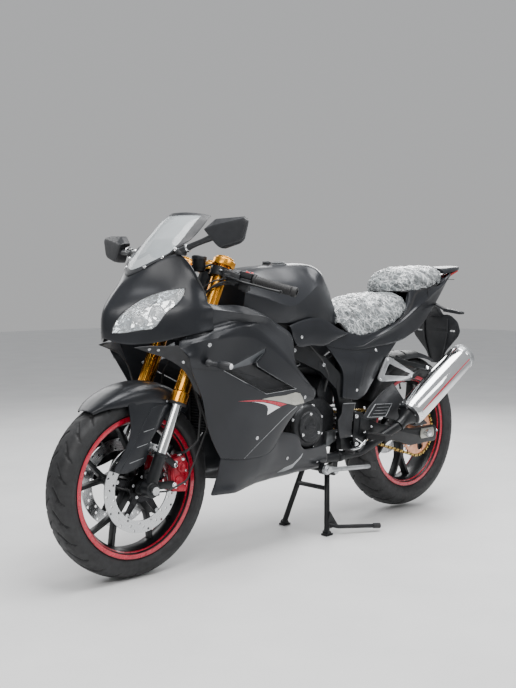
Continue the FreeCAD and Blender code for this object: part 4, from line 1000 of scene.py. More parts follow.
# ================================================================== fork
paint_node("fork_inner_tubes", "chrome_look")
paint_node("upper_clamp", "gold_metal_look")
paint_node("lower_clamp", "black_cast_look")
paint_node("handlebars", "black_metal_look")
paint_node("fork_cables", "rubber_look")
paint_node("front_axle", "steel_look")
paint_node("front_calipers", "red_metal_look")

pc = Piece()
for s in (-1, 1):
    y = s * FORK_Y
    a, b = leg(0, y), leg(1, y)
    pc.lathe([(-1, 0), (-1, 18), (0, 19.6), (106, 19.6), (108, 22.6), (116, 23.3), (118, 22),
              (118, 17), (100.5, 17), (100.5, 0)], a, b, 40)
    pc.lathe([(-22, 9.2), (-22, 23), (-19.5, 25), (19.5, 25), (22, 23), (22, 9.2)],
             (FA[0], y, FA[1]), (FA[0], y + 1, FA[1]), 36, closed=True)
    yy = s * 90
    pc.beam((18, yy, 300), (104, yy, 292), 10, 24)
    pc.beam((58, yy, 398), (112, yy, 352), 10, 20)
    pc.box(12, 40, y - s * 4 - 6, y - s * 4 + 6, 268, 312)
pc.make("fork_lower_castings", "fork", ["black_metal_look"], ["fork_lowers"], bevel=1.6, seg=2)

pc = Piece()
for s in (-1, 1):
    y = s * FORK_Y
    pc.lathe([(283.2, 16.8), (283.2, 25), (285, 28.3), (320, 28.4), (323, 26.4), (326, 25.9),
              (788, 25.9), (790.5, 24), (790.5, 17.8), (795.6, 17.8), (796.8, 16.4), (796.8, 9),
              (793, 8.4), (793, 0), (300.4, 0), (300.4, 16.8)], leg(0, y), leg(1, y), 48)
pc.make("fork_gold_tubes", "fork", ["gold_metal_look"], ["fork_outer_tubes"], angle=30)
pc = Piece()
for s in (-1, 1):
    y = s * FORK_Y
    for a0, a1, r in ((281.0, 287.5, 28.9), (500, 511.8, 27.6)):
        pc.pipe(leg(a0, y), leg(a1, y), r, 26.3 if a0 > 400 else 17.0, 48)
pc.make("fork_dust_seals", "fork", ["rubber_look"])

# clamp bolts and the top nuts
pc = Piece()
for s in (-1, 1):
    for lv in (523, 536):
        pc.bolt(leg(lv, s * 131, 14), tuple(-U * 1.0 + Vector((0, s * 0.3, 0))), 4.4, 6)
    pc.bolt(leg(772, s * 128, 12), tuple(-U + Vector((0, s * 0.3, 0))), 4.2, 6)
    pc.nut(leg(796.6, s * FORK_Y), tuple(D), 8.0, 5.0)
pc.nut(leg(795.5, 0, 32), tuple(D), 13.0, 6.0)
pc.make("clamp_bolts", "fork", ["steel_look"])

# front calipers: piston housings, bridge bolts, hose ends
pc = Piece()
red = Piece()
for s in (-1, 1):
    for (x, z) in ((132, 300), (142, 343)):
        red.lathe([(-2, 0), (-2, 18), (4.0, 17.0), (6.4, 15), (6.8, 11), (5.6, 10.4), (5.2, 0)],
                  (x, s * 84.2, z), (x, s * 85.2, z), 32)
    red.tube([(112, s * 83.5, 292), (107, s * 84.5, 330), (118, s * 83.5, 364)], 5.0, 20, 12)
    red.beam((160, s * 84, 276), (166, s * 84, 352), 5, 9, (0, 1, 0))
    for (x, z) in ((118, 282), (158, 288), (164, 330), (150, 368), (120, 362)):
        pc.bolt((x, s * 84.4, z), (0, s, 0), 4.4, 4.2)
    pc.lathe([(-3, 0), (-3, 6.2), (3, 6.2), (3, 8.2), (6, 8.2), (6, 6.0), (10, 6.0), (10, 0)],
             (146, s * 70, 378), (148, s * 70, 386), 12)
    pc.nut((104, s * 95.5, 292), (0, s, 0), 6.4, 5)
    pc.nut((110, s * 95.5, 354), (0, s, 0), 6.4, 5)
pc.make("caliper_fasteners", "fork", ["chrome_look"])
red.make("caliper_housings", "fork", ["red_metal_look"], bevel=1.0)

# ------------------------------------------------------------------ handlebar area
BAR_A = Vector((297, 126, 972))
BAR_B = Vector((409, 344, 905))


def bar_point(t, sgn, off=(0, 0, 0)):
    p = BAR_A + (BAR_B - BAR_A) * t + Vector(off)
    return (p.x, sgn * p.y, p.z)


grip = Piece()
ctl = Piece()
trim = Piece()
button = Piece()
lev = Piece()
for s in (-1, 1):
    a, b = Vector(bar_point(0, s)), Vector(bar_point(1, s))
    L = (b - a).length
    prof = [(L * 0.405, 11.2), (L * 0.405, 19), (L * 0.415, 20), (L * 0.43, 19.6), (L * 0.44, 16)]
    t = 0.455
    while t < 0.915:
        prof += [(L * t, 15.2), (L * (t + 0.004), 16.4), (L * (t + 0.011), 16.4),
                 (L * (t + 0.015), 15.2)]
        t += 0.024
    prof += [(L * 0.925, 16.2), (L * 0.93, 15.4), (L * 0.93, 11.2)]
    grip.lathe(prof, a, b, 40, closed=True)
    grip.lathe([(L * 0.934, 8.4), (L * 0.934, 15.0), (L * 0.938, 16.6), (L * 0.990, 16.4),
                (L * 0.9985, 14.2), (L * 0.9985, 8.4)], a, b, 32, closed=True)
    # switch pod in two halves with a seam, buttons and a rocker
    w = (b - a).normalized()
    up = Vector((0, 0, 1))
    up = (up - w * up.dot(w)).normalized()
    fw = w.cross(up).normalized()
    if fw.x > 0:
        fw = -fw
    base = a + w * (L * 0.31)
    for dz, h in ((10.6, 17.6), (-10.6, 17.6)):
        c = base + up * dz
        ctl.beam(tuple(c - w * 20), tuple(c + w * 20), 40, h, tuple(up))
    ctl.beam(tuple(base - w * 8 - fw * 16), tuple(base + w * 10 - fw * 20), 14, 22, tuple(up))
    # lower half of the pod with its thumb lever, and the reservoir arm by the clamp
    ctl.beam(tuple(base - w * 17 - up * 28), tuple(base + w * 15 - up * 26), 30, 26, tuple(up))
    ctl.beam(tuple(base - w * 4 - up * 40 + fw * 4), tuple(base + w * 13 - up * 38 + fw * 4), 15, 12,
             tuple(up))
    q0, q1 = Vector(bar_point(0.05, s, (-20, 0, -4))), Vector(bar_point(0.27, s, (-20, 0, -6)))
    ctl.beam(tuple(q0), tuple(q1), 24, 32, tuple(up))
    ctl.beam(tuple(q0.lerp(q1, 0.3) - up * 20), tuple(q0.lerp(q1, 0.85) - up * 18), 16, 14, tuple(up))
    trim.lathe([(0, 0), (0, 5.2), (4, 4.8), (5, 3.4), (5, 0)], q0.lerp(q1, 0.3) + up * 16,
               q0.lerp(q1, 0.3) + up * 17, 18)
    trim.lathe([(0, 0), (0, 5.2), (4, 4.8), (5, 3.4), (5, 0)], q0.lerp(q1, 0.75) + up * 16,
               q0.lerp(q1, 0.75) + up * 17, 18)
    for k, (u0, v0) in enumerate(((-11, 6), (1, 9), (11, 4))):
        c = base + w * u0 + up * 18 - fw * (v0 + 2)
        (button if k == 2 and s < 0 else trim).lathe(
            [(0, 0), (0, 4.6), (3.4, 4.2), (4.4, 3.2), (4.6, 0)], c, c + up, 18)
    c = base + w * 2 + up * 18.5 + fw * 12
    button.beam(tuple(c - w * 6), tuple(c + w * 6), 9, 7, tuple(up)) if s < 0 else None
    # lever perch and lever
    pa, pb = Vector(bar_point(0.10, s)), Vector(bar_point(0.205, s))
    ctl.lathe([(0, 11.3), (0, 16.5), (2, 18), ((pb - pa).length - 2, 18), ((pb - pa).length, 16.5),
               ((pb - pa).length, 11.3)], pa, pb, 28, closed=True)
    pm = (pa + pb) / 2
    lb = Vector((bar_point(0.16, s)[0] - 42, bar_point(0.16, s)[1] - s * 6,
                 bar_point(0.16, s)[2] - 4))
    ctl.beam(tuple(pm), tuple(lb), 21, 15)
    ctl.lathe([(-9, 0), (-9, 6), (-8, 7.4), (8, 7.4), (9, 6), (9, 0)], lb, lb + up, 20)
    p0 = lb
    p1 = Vector((bar_point(0.16, s)[0] - 30, bar_point(0.16, s)[1] + s * 58,
                 bar_point(0.16, s)[2] - 22))
    tip = Vector(bar_point(0.90, s))
    p2 = Vector((tip.x - 46, tip.y + s * 4, tip.z - 4))
    path = [p0, p0.lerp(p1, 0.5), p1, p1.lerp(p2, 0.35), p1.lerp(p2, 0.75) + Vector((-3, 0, 0)), p2]
    fine = spline(path, [6] * 5)
    rr = [5.4 + 1.2 * math.cos(i / len(fine) * 5) for i in range(len(fine))]
    rr[-1] = 6.0
    lev.sweep(fine, rr, 14, 0, flat=0.8)
    lev.lathe([(-6, 0), (-5, 4), (0, 6.2), (5, 4), (6, 0)], p2, p2 + w, 16)
grip.make("grips_ribbed", "fork", ["rubber_look"], ["grips"])
trim.make("bar_ends_and_buttons", "fork", ["dark_alloy_look"])
ctl.make("switch_pods", "fork", ["black_plastic_look"], ["bar_controls"], bevel=2.2, seg=3)
lev.make("hand_levers", "fork", ["black_metal_look"], ["bar_controls"])
button.make("red_buttons", "fork", ["red_button_look"], bevel=0.8)

# clamp bolts of the bars
pc = Piece()
for s in (-1, 1):
    pc.bolt(leg(737, s * (FORK_Y + 30), -26), tuple(-U), 4.0, 5)
    pc.bolt(bar_point(0.15, s, (-16, 0, 2)), (-1, 0, 0.1), 3.4, 4)
pc.make("bar_bolts", "fork", ["steel_look"])

# ------------------------------------------------------------------ front mudguard
FENDER = [(-34, 306, 40, 12), (-27, 311, 60, 22), (-18, 318, 73, 42), (-8, 326, 78, 58),
          (4, 333, 79, 63), (16, 336, 79, 64), (28, 334, 76, 58), (38, 330, 70, 50)]
rows = []
for ang, r, w, fall in FENDER:
    a = math.radians(ang)
    rows.append([(FA[0] + (r - k * fall) * math.sin(a), w * f, FA[1] + (r - k * fall) * math.cos(a))
                 for k, f in ((0, 0), (0.03, 0.42), (0.16, 0.76), (0.42, 0.95), (1, 1))])
BLADE = [(-60, 560), (-30, 572), (4, 580), (44, 581), (80, 578), (106, 574), (112, 570),
         (111, 556), (104, 538), (88, 512), (70, 487), (44, 468), (28, 458), (18, 430),
         (12, 400), (4, 376), (-10, 367), (-40, 357), (-70, 350), (-100, 353), (-116, 360),
         (-110, 376), (-92, 396), (-72, 424), (-58, 452), (-51, 480), (-52, 510)]
fork_gap = Piece()
for s in (-1, 1):
    fork_gap.rod(leg(30, s * FORK_Y), leg(430, s * FORK_Y), 29.0, 40, 0, 0.1)
gap = cutter_from("fork_gap", fork_gap)
fender = panel("mudguard_hood", both(rows), "fork", ["graphite_paint_look"], (0, 0, 293), 8.0,
               thick=3.0, replaces=["front_fender"], holes=[gap])
pc = Piece()
for s in (-1, 1):
    pc.xz(BLADE, *sorted((s * 78.4, s * 75.0)))


def with_cut(piece, name, body, mats, cutter, bevel, replaces=(), seg=2):
    me = bpy.data.meshes.new(name)
    me.from_pydata([mm(p) for p in piece.v], [], piece.f)
    bm = bmesh.new()
    bm.from_mesh(me)
    bmesh.ops.recalc_face_normals(bm, faces=bm.faces)
    bm.to_mesh(me)
    bm.free()
    o = link(bpy.data.objects.new(name, me))
    cut(o, cutter)
    b = o.modifiers.new("bevel", "BEVEL")
    b.width = bevel / 1000.0
    b.segments = seg
    b.limit_method = "ANGLE"
    b.angle_limit = math.radians(40)
    bake(o)
    return settle(o, body, mats, replaces)


with_cut(pc, "mudguard_blades", "fork", ["graphite_paint_look"], gap, 1.1, ["front_fender"])
drop(gap)
pc = Piece()
for s in (-1, 1):
    pc.bolt((92, s * 78.2, 562), (0, s, 0), 4.0, 2.2)
pc.make("mudguard_bolts", "fork", ["steel_look"])
# raised face on each blade with three thin cooling slots
FACE = [(106, 552), (92, 552), (48, 550), (29, 543), (13, 522), (-1, 500), (-20, 470), (-52, 418),
        (-78, 382), (-94, 358), (-60, 357), (-16, 366), (4, 382), (14, 408), (24, 440), (40, 462),
        (62, 484), (84, 512), (100, 536)]
pc, slots = Piece(), Piece()
for s in (-1, 1):
    pc.xz(FACE, *sorted((s * 78.0, s * 80.4)))
    for (x0, z0), (x1, z1) in (((-5, 471), (36, 479)), ((-31, 425), (11, 434)), ((-60, 379), (-6, 391))):
        slots.xz([(x0, z0), (x1, z1 - 1.0), (x1 + 1, z1 + 0.6), (x0 + 1, z0 + 2.4)],
                 *sorted((s * 80.0, s * 80.8)))
pc.make("mudguard_faces", "fork", ["graphite_paint_look"], bevel=1.8, seg=3)
slots.make("mudguard_slots", "fork", ["trim_grey_look"], bevel=0.2)


# ================================================================== nose, screen, lamps
def fill_outline(pts2, cell):
    """Triangles inside a 2-D outline, fine enough to follow a curved surface."""
    bm = bmesh.new()
    vs = [bm.verts.new((a, b, 0)) for a, b in pts2]
    bm.faces.new(vs)
    bmesh.ops.triangulate(bm, faces=bm.faces)
    for _ in range(7):
        long = [e for e in bm.edges if e.calc_length() > cell]
        if not long:
            break
        bmesh.ops.subdivide_edges(bm, edges=long, cuts=1)
        bmesh.ops.triangulate(bm, faces=bm.faces)
    bm.verts.index_update()
    verts = [(v.co.x, v.co.y) for v in bm.verts]
    faces = [[v.index for v in f.verts] for f in bm.faces]
    rim = [[v.index for v in e.verts] for e in bm.edges if len(e.link_faces) == 1]
    bm.free()
    return verts, faces, rim


def plane_axes(d):
    d = Vector(d).normalized()
    a = d.cross(Vector((0, 0, 1))).normalized()
    b = a.cross(d).normalized()
    return d, a, b


def patch(surf, outline, d, raised=0.4, deep=0.6, cell=6.0, warp=None):
    """Piece that follows a surface inside an outline of 3-D points, seen along d (outward)."""
    d, a, b = plane_axes(d)
    o = Vector(outline[0])
    flat = [((Vector(p) - o).dot(a), (Vector(p) - o).dot(b)) for p in outline]
    v2, faces, rim = fill_outline(flat, cell)
    top, low = [], []
    for u, w in v2:
        q = o + a * u + b * w
        hit = surf.t.ray_cast(mm(q + d * 400), -d, 1.2)
        if hit[0] is None:
            hit = surf.t.find_nearest(mm(q))
        p, n = back(hit[0]), hit[1]
        if n.dot(d) < 0:
            n = -n
        e = warp(u, w) if warp else 0.0
        top.append(p + n * (raised - e))
        low.append(p - n * (deep + e))
    n = len(top)
    out = [list(f) for f in faces] + [[i + n for i in reversed(f)] for f in faces]
    out += [[i, j, j + n, i + n] for i, j in rim]
    return Piece().add(top + low, out), top, rim


def seen_outline(surf, pixels, per=3, crease=()):
    pts = []
    for px, py in pixels:
        hit = surf.seen(px, py)
        if hit:
            pts.append(hit[0])
    loop = pts + [pts[0]]
    return spline(loop, [per] * (len(loop) - 1), crease)[:-1]


def mirror_pts(pts):
    return [Vector((p[0], -p[1], p[2])) for p in pts]


NOSE = [
    [(-93, 0, 764), (-75, 39, 752), (-43, 80, 747), (21, 128, 754), (63, 172, 768),
     (110, 211, 782), (168, 219, 792)],
    [(-97, 0, 800), (-80, 37, 800), (-47, 78, 800), (19, 130, 803), (65, 176, 810),
     (111, 207, 816), (165, 215.5, 821)],
    [(-92, 0, 850), (-73, 37, 850), (-33, 78, 853), (34, 138, 853), (75, 180, 855),
     (114, 208, 856), (158, 221, 858)],
    [(-70, 0, 885), (-50, 38, 888), (-8, 82, 893), (52, 134, 895), (84, 169, 895),
     (113, 197, 890), (146, 208, 882)],
    [(-42, 0, 918), (-24, 33, 922), (17, 76, 930), (64, 126, 930), (90, 162, 928),
     (115, 186, 925), (141, 200, 912)],
    [(-1, 0, 958), (10, 32, 968), (40, 68, 992), (78, 98, 1019), (105, 125, 1025),
     (112, 160, 1000), (122, 192, 950)]]
NOSE_IN = (300, 0, 880)
draft = grid_mesh("nose_draft", refine(both(NOSE), 8.0), NOSE_IN, 0, 0)
bake(draft)
nose_surf = Surf(draft)
LAMP_PX = [(111.5, 333.5), (112.5, 328), (117, 319.5), (123.5, 312.5), (132, 305.5), (144.5, 298),
           (160, 292.2), (173, 289.2), (185.5, 288), (184, 295), (178, 303), (170, 309.5),
           (163, 317), (156, 326.5), (151, 329.3), (138, 330.8), (124, 333.2)]
lamp_line = seen_outline(nose_surf, LAMP_PX, 4, (8, 9, 14))
LAMP_DIR = Vector((-0.86, -0.46, 0.22)).normalized()
cut_piece = Piece()
for s in (-1, 1):
    line = lamp_line if s < 0 else mirror_pts(lamp_line)
    d = LAMP_DIR if s < 0 else Vector((LAMP_DIR.x, -LAMP_DIR.y, LAMP_DIR.z))
    cut_piece.prism([Vector(p) + d * 40 for p in line], tuple(d * -110))
lamp_cut = cutter_from("lamp_cut", cut_piece)
nose = panel("nose_cowl", both(NOSE), "chassis", ["graphite_paint_look"], NOSE_IN, 8.0,
             thick=3.0, bevel=0.8, replaces=["nose_fairing"], holes=[lamp_cut])
drop(lamp_cut)

lens_pc, rim_pc, bowl_pc, dark_pc = Piece(), Piece(), Piece(), Piece()
for s in (-1, 1):
    line = lamp_line if s < 0 else mirror_pts(lamp_line)
    d = LAMP_DIR if s < 0 else Vector((LAMP_DIR.x, -LAMP_DIR.y, LAMP_DIR.z))
    c = sum((Vector(p) for p in line), Vector((0, 0, 0))) / len(line)
    small = [c + (Vector(p) - c) * 0.985 for p in line]
    pc, top, rim = patch(nose_surf, small, d, 0.2, 2.0, 7.0)
    lens_pc.add(pc.v, pc.f)
    # dark seal round the lens
    ring = [back(nose_surf.t.find_nearest(mm(p))[0]) - d * 1.2 for p in line]
    rim_pc.sweep([Vector(p) for p in ring] + [Vector(ring[0])], 1.5, 6, cap=False)
    # bowl: a deep facetted tray that follows the outline
    inner = [c + (Vector(p) - c) * 0.99 for p in line]
    n = len(inner)
    levels = [(0.0, 1.0), (0.35, 0.93), (0.7, 0.80), (1.0, 0.62)]
    verts, faces = [], []
    for t, k in levels:
        for p in inner:
            q = back(nose_surf.t.find_nearest(mm(p))[0])
            verts.append(c + (q - c) * k - d * (4.0 + 34.0 * t))
    for a in range(len(levels) - 1):
        for i in range(n):
            j = (i + 1) % n
            faces.append([a * n + i, a * n + j, (a + 1) * n + j, (a + 1) * n + i])
    faces.append([(len(levels) - 1) * n + i for i in range(n)])
    # outer side, so that the tray is a closed shell
    off = len(verts)
    verts += [v - d * 1.6 + (v - c).normalized() * 0.8 for v in verts[:off]]
    faces += [[i + off for i in reversed(f)] for f in faces]
    faces += [[(i + 1) % n, i, i + off, (i + 1) % n + off] for i in range(n)]
    bowl_pc.add(verts, faces)
lens_pc.make("headlight_lenses", "chassis", ["lens_look"], ["headlights"], angle=40)
rim_pc.make("headlight_seals", "chassis", ["rubber_look"])
bowl_pc.make("headlight_trays", "chassis", ["bowl_look"], ["headlight_bowls"], angle=20)

cups, bulbs, rings = Piece(), Piece(), Piece()
for (px, py, r) in ((155.5, 312.5, 25.0), (137.0, 319.5, 19.0), (176.5, 296.3, 13.0)):
    hit = nose_surf.seen(px, py)
    for s in (-1, 1):
        p = hit[0].copy()
        d = LAMP_DIR.copy()
        if s > 0:
            p.y, d.y = -p.y, -d.y
        p = p - d * 27
        cups.lathe([(-2, 0), (-2, r * 0.5), (6, r * 0.86), (14, r), (15.5, r), (15.5, r - 1.4),
                    (7, r * 0.78), (1, r * 0.4), (0, 0)], p, p + d, 40)
        bulbs.lathe([(0, 0), (0, r * 0.26), (7, r * 0.30), (12, r * 0.26), (15, r * 0.12), (15.6, 0)],
                    p, p + d, 24)
        rings.pipe(p + d * 13.5, p + d * 17.0, r + 1.6, r - 0.6, 40)
cups.make("lamp_cups", "chassis", ["chrome_look"], angle=30)
bulbs.make("lamp_bulbs", "chassis", ["white_look"], angle=40)
rings.make("lamp_rings", "chassis", ["chrome_look"])

SCREEN = [
    [(0, 0, 962), (12, 30, 972), (42, 64, 996), (80, 94, 1023), (130, 108, 1058)],
    [(64, 0, 1040), (72, 34, 1044), (97, 66, 1052), (132, 93, 1064), (172, 110, 1079)],
    [(119, 0, 1096), (126, 36, 1098), (146, 66, 1102), (176, 93, 1108), (212, 111, 1114)],
    [(162, 0, 1137), (168, 35, 1138), (185, 65, 1140), (212, 91, 1142), (242, 106, 1142)],
    [(201, 0, 1166), (206, 31, 1166), (220, 59, 1164), (242, 83, 1160), (264, 96, 1155)]]


def screen_mat(i, j, nr, nc):
    edge = min(j, nc - 2 - j)
    return 1 if edge < 5 or i < 2 or nr - 2 - i < 2 else 0


wind = panel("windscreen_clear", both(SCREEN), "chassis", ["screen_look", "black_plastic_look"],
             (400, 0, 900), 8.0, thick=2.8, bevel=0.6, replaces=["windscreen"],
             face_mat=screen_mat)
wind_surf = Surf(wind)
# dark band under the screen's lower edge, with its bright bolts
band = Piece()
lowrow = spline([(x, y, z) for x, y, z in both(SCREEN)[0]], [6] * 8)
nextrow = spline([(x, y, z) for x, y, z in both(SCREEN)[1]], [6] * 8)
bolts = Piece()
verts, faces = [], []
for a, b in zip(lowrow, nextrow):
    t = (b - a).normalized()
    n = Vector((-0.75, a.y * 0.008, 0.5)).normalized()
    verts += [a - t * 5 + n * 0.6, a + t * 10 + n * 1.4, a + t * 10 - n * 4, a - t * 5 - n * 4.5]
for i in range(len(lowrow) - 1):
    for k in range(4):
        j = (k + 1) % 4
        faces.append([i * 4 + k, i * 4 + j, i * 4 + 4 + j, i * 4 + 4 + k])
faces.append([3, 2, 1, 0])
e = (len(lowrow) - 1) * 4
faces.append([e, e + 1, e + 2, e + 3])
band.add(verts, faces)
band.make("screen_lower_band", "chassis", ["black_plastic_look"], bevel=0.6)
for k in (9, 16, 21):
    for i in (24 - k, 24 + k):
        a, b = lowrow[i], nextrow[i]
        t = (b - a).normalized()
        n = Vector((-0.75, a.y * 0.008, 0.5)).normalized()
        bolts.bolt(a + t * 3 + n * 1.0, n, 4.2, 2.6)
bolts.make("screen_bolts", "chassis", ["chrome_look"])

# ================================================================== side fairings
SIDE = [
    [(150, 206, 874), (205, 206, 866), (262, 205, 866), (325, 203, 857), (390, 198, 838),
     (470, 190, 802), (556, 180, 755), (536, 219, 660), (585, 211, 616), (643, 201, 570)],
    [(160, 221.5, 853), (215, 230, 848), (262, 234, 840), (318, 236, 832), (392, 226, 823),
     (462, 205, 790), (546, 192, 742), (534, 220, 657), (583, 212, 613), (642, 201, 568)],
    [(166, 215, 820), (222, 217, 817), (270, 219, 814), (318, 222, 811), (380, 222, 803),
     (444, 215, 766), (514, 209, 723), (532, 221, 654), (581, 213, 611), (641, 202, 567)],
    [(66, 170, 756), (122, 212, 772), (196, 232, 788), (262, 237, 798), (318, 237, 794),
     (378, 235, 764), (474, 229, 697), (530, 222, 652), (580, 214, 609), (640, 202, 566)],
    [(58, 180, 738), (118, 220, 757), (190, 236, 767), (262, 239, 772), (320, 239, 765),
     (386, 237, 733), (468, 231, 684), (532, 223, 640), (582, 214, 600), (641, 202, 562)],
    [(72, 206, 712), (130, 215, 708), (200, 223, 706), (275, 229, 700), (338, 232, 686),
     (400, 231, 660), (470, 227, 632), (536, 219, 604), (592, 211, 583), (648, 200, 552)],
    [(92, 197, 672), (150, 208, 664), (222, 218, 655), (292, 226, 643), (352, 229, 626),
     (410, 228, 606), (468, 223, 585), (532, 215, 568), (590, 207, 554), (650, 198, 536)],
    [(147, 186, 570), (190, 196, 566), (245, 206, 560), (305, 214, 550), (360, 218, 540),
     (410, 219, 532), (460, 217, 525), (512, 213, 520), (560, 206, 516), (612, 196, 522)],
    [(176, 180, 470), (216, 186, 466), (265, 194, 460), (318, 202, 455), (368, 206, 450),
     (412, 207, 448), (455, 206, 450), (492, 203, 455), (520, 200, 465), (548, 196, 490)],
    [(230, 178, 372), (258, 180, 368), (292, 184, 362), (328, 188, 358), (366, 190, 358),
     (400, 191, 360), (432, 190, 366), (455, 189, 378), (470, 188, 392), (486, 187, 430)]]
SIDE_IN = (450, 0, 560)
draft_side = grid_mesh("side_draft", refine(flip_y(SIDE), 8.0, (1, 2, 3, 4)), SIDE_IN, 0, 0)
bake(draft_side)
side_surf0 = Surf(draft_side)

VENT_PX = [(223.7, 370.6), (232, 366.4), (248, 358), (265.6, 348.2), (265.3, 352.6),
           (256.9, 362.6), (257.6, 366), (277, 378), (296.5, 388.8), (281, 391.6), (266.8, 394.2),
           (245, 382.3)]
vent_line = [side_surf0.seen(px, py)[0] for px, py in VENT_PX]


def vent_points(s):
    return [Vector((p.x, s * abs(p.y), p.z)) for p in vent_line]


vc = Piece()
vc.prism([(p.x, -120, p.z) for p in vent_line], (0, -200, 0))
vent_cut_l = cutter_from("vent_cut_l", vc)
vc = Piece()
vc.prism([(p.x, 120, p.z) for p in vent_line], (0, 200, 0))
vent_cut_r = cutter_from("vent_cut_r", vc)
side_l = panel("fairing_left", flip_y(SIDE), "chassis", ["graphite_paint_look"], SIDE_IN, 8.0,
               (1, 2, 3, 4), thick=3.0, bevel=0.8, replaces=["side_fairing_left"], holes=[vent_cut_l])
side_r = panel("fairing_right", SIDE, "chassis", ["graphite_paint_look"], SIDE_IN, 8.0,
               (1, 2, 3, 4), thick=3.0, bevel=0.8, replaces=["side_fairing_right"], holes=[vent_cut_r])
drop(vent_cut_l, vent_cut_r)
full_l = side_surf0
draft_r = grid_mesh("side_draft_r", refine(SIDE, 8.0, (1, 2, 3, 4)), SIDE_IN, 0, 0)
bake(draft_r)
full_r = Surf(draft_r)

# scoop behind each vent: a facet that falls inward, coloured lighter than the panel as painted light, then a dark
# floor in black plastic that also stands as painted shade deep in the scoop
facet, floor_pc, lattice, lip = Piece(), Piece(), Piece(), Piece()
for s in (-1, 1):
    P = vent_points(s)
    inw = Vector((0, -s, 0))
    A, B1, B2, B, C, Dd, E, E1, F, G1, G, G2 = P
    # facet: front edge A..B falls to a line that runs from A to below D
    low = [A.lerp(G2, 0.10) + inw * 5, A.lerp(E, 0.45) + inw * 15, Dd + inw * 22 + Vector((0, 0, -6)),
           C + inw * 15]
    def shell(quad, t, target):
        a = [Vector(q) for q in quad]
        b = [q + inw * t for q in a]
        n = len(a)
        fs = [list(range(n)), [n + i for i in reversed(range(n))]]
        fs += [[j, i, n + i, n + j] for i, j in ((k, (k + 1) % n) for k in range(n))]
        target.add(a + b, fs)
    out = inw * 1.5
    shell([A + out, B1 + out, low[1], low[0]], 2, facet)
    shell([B1 + out, B2 + out, low[2], low[1]], 2, facet)
    shell([B2 + out, B + out, C + out, low[3], low[2]], 2, facet)
    shell([C + out, Dd + out, low[2], low[3]], 2, facet)
    deep = [low[0], low[1], low[2], E + inw * 24, E1 + inw * 22, F + inw * 5, G1 + inw * 14,
            G + inw * 16, G2 + inw * 15]
    cen = sum(deep, Vector((0, 0, 0))) / len(deep) + inw * 6
    for i in range(len(deep)):
        shell([deep[i], deep[(i + 1) % len(deep)], cen], 2, floor_pc)
    shell([Dd + out, E + out, deep[3], low[2]], 2, floor_pc)
    shell([E + out, E1 + out, deep[4], deep[3]], 2, floor_pc)
    shell([E1 + out, F + out, deep[5], deep[4]], 2, floor_pc)
    # lattice strip along the lower edge, 11 mm wide
    lower = [A, G2, G, G1, F]
    line = []
    for a, b in zip(lower, lower[1:]):
        m = max(2, int((b - a).length / 5.0))
        line += [a.lerp(b, k / m) for k in range(m)]
    line.append(F)
    upv = Vector((0.25, 0, 0.97)).normalized()
    wmax = 13.0
    tot = len(line) - 1
    rows_ = []
    for i, p in enumerate(line):
        w = wmax * min(1.0, i / 6.0, (tot - i) / 8.0)
        rows_.append((p + inw * 3.0, p + inw * 4.2 + upv * w))
    for i in range(tot):
        (a0, a1), (b0, b1) = rows_[i], rows_[i + 1]
        for u in range(3):
            p0, p1 = a0.lerp(a1, u / 3), b0.lerp(b1, (u + 1) / 3)
            q0, q1 = a0.lerp(a1, (u + 1) / 3), b0.lerp(b1, u / 3)
            if (p1 - p0).length > 1.5:
                lattice.sweep([p0, p1], 0.55, 4)
            if (q1 - q0).length > 1.5:
                lattice.sweep([q0, q1], 0.55, 4)
    lattice.sweep([r[1] for r in rows_[2:-2]], 0.8, 5)
    lip.sweep([q + inw * 0.4 for q in line], 0.95, 6)
    lip.sweep([q + inw * 0.4 for q in (Dd, E, E1, F)], 0.75, 6)
facet.make("vent_facets", "chassis", ["facet_look"], angle=20)
floor_pc.make("vent_floors", "chassis", ["black_plastic_look"], angle=20)
lattice.make("vent_lattice", "chassis", ["black_metal_look"])
lip.make("vent_lips", "chassis", ["trim_grey_look"])


def px_line(surf, pixels):
    out = []
    for px, py in pixels:
        hit = surf.seen(px, py)
        if hit:
            out.append((hit[0].x, hit[0].z))
    return out


def smooth2(pts, per=4, crease=()):
    return [(p.x, p.z) for p in spline([(a, 0, b) for a, b in pts], [per] * (len(pts) - 1), crease)]


CHAMP_PX = [(262, 399.2), (270, 397.4), (285, 395.4), (300, 393.4), (316.6, 391.4), (316.2, 395.6),
            (313.2, 400.4), (304, 402.8), (295, 405.2), (286.5, 403.4), (276, 401.0)]
RED_PX = [(238, 401.3), (250, 400.4), (262.6, 400.0), (274.4, 401.3), (287, 404.1), (280.4, 406.4),
          (272, 403.8), (262.6, 401.9), (250, 401.5)]
WHITE_PX = [(252, 401.9), (262.6, 402.5), (272, 404.4), (280.2, 407.1), (274.4, 410.4),
            (267.2, 415.0), (268.8, 410.6), (267.6, 406.6), (261, 403.4)]
champ = smooth2(px_line(full_l, CHAMP_PX + CHAMP_PX[:1]), 3, (4, 5, 6, 8))[:-1]
red_ = smooth2(px_line(full_l, RED_PX + RED_PX[:1]), 3, (4, 5))[:-1]
white_ = smooth2(px_line(full_l, WHITE_PX + WHITE_PX[:1]), 3, (3, 5))[:-1]
for tag, s, sf in (("left", -1, full_l), ("right", 1, full_r)):
    decal("side_panel_light_" + tag, sf, champ, s, "chassis", ["champagne_look"], 0.9, 1.0)
    decal("side_stripe_red_" + tag, sf, red_, s, "chassis", ["red_stripe_look"], 0.35, 0.6)
    decal("side_stripe_white_" + tag, sf, white_, s, "chassis", ["white_look"], 0.35, 0.6)

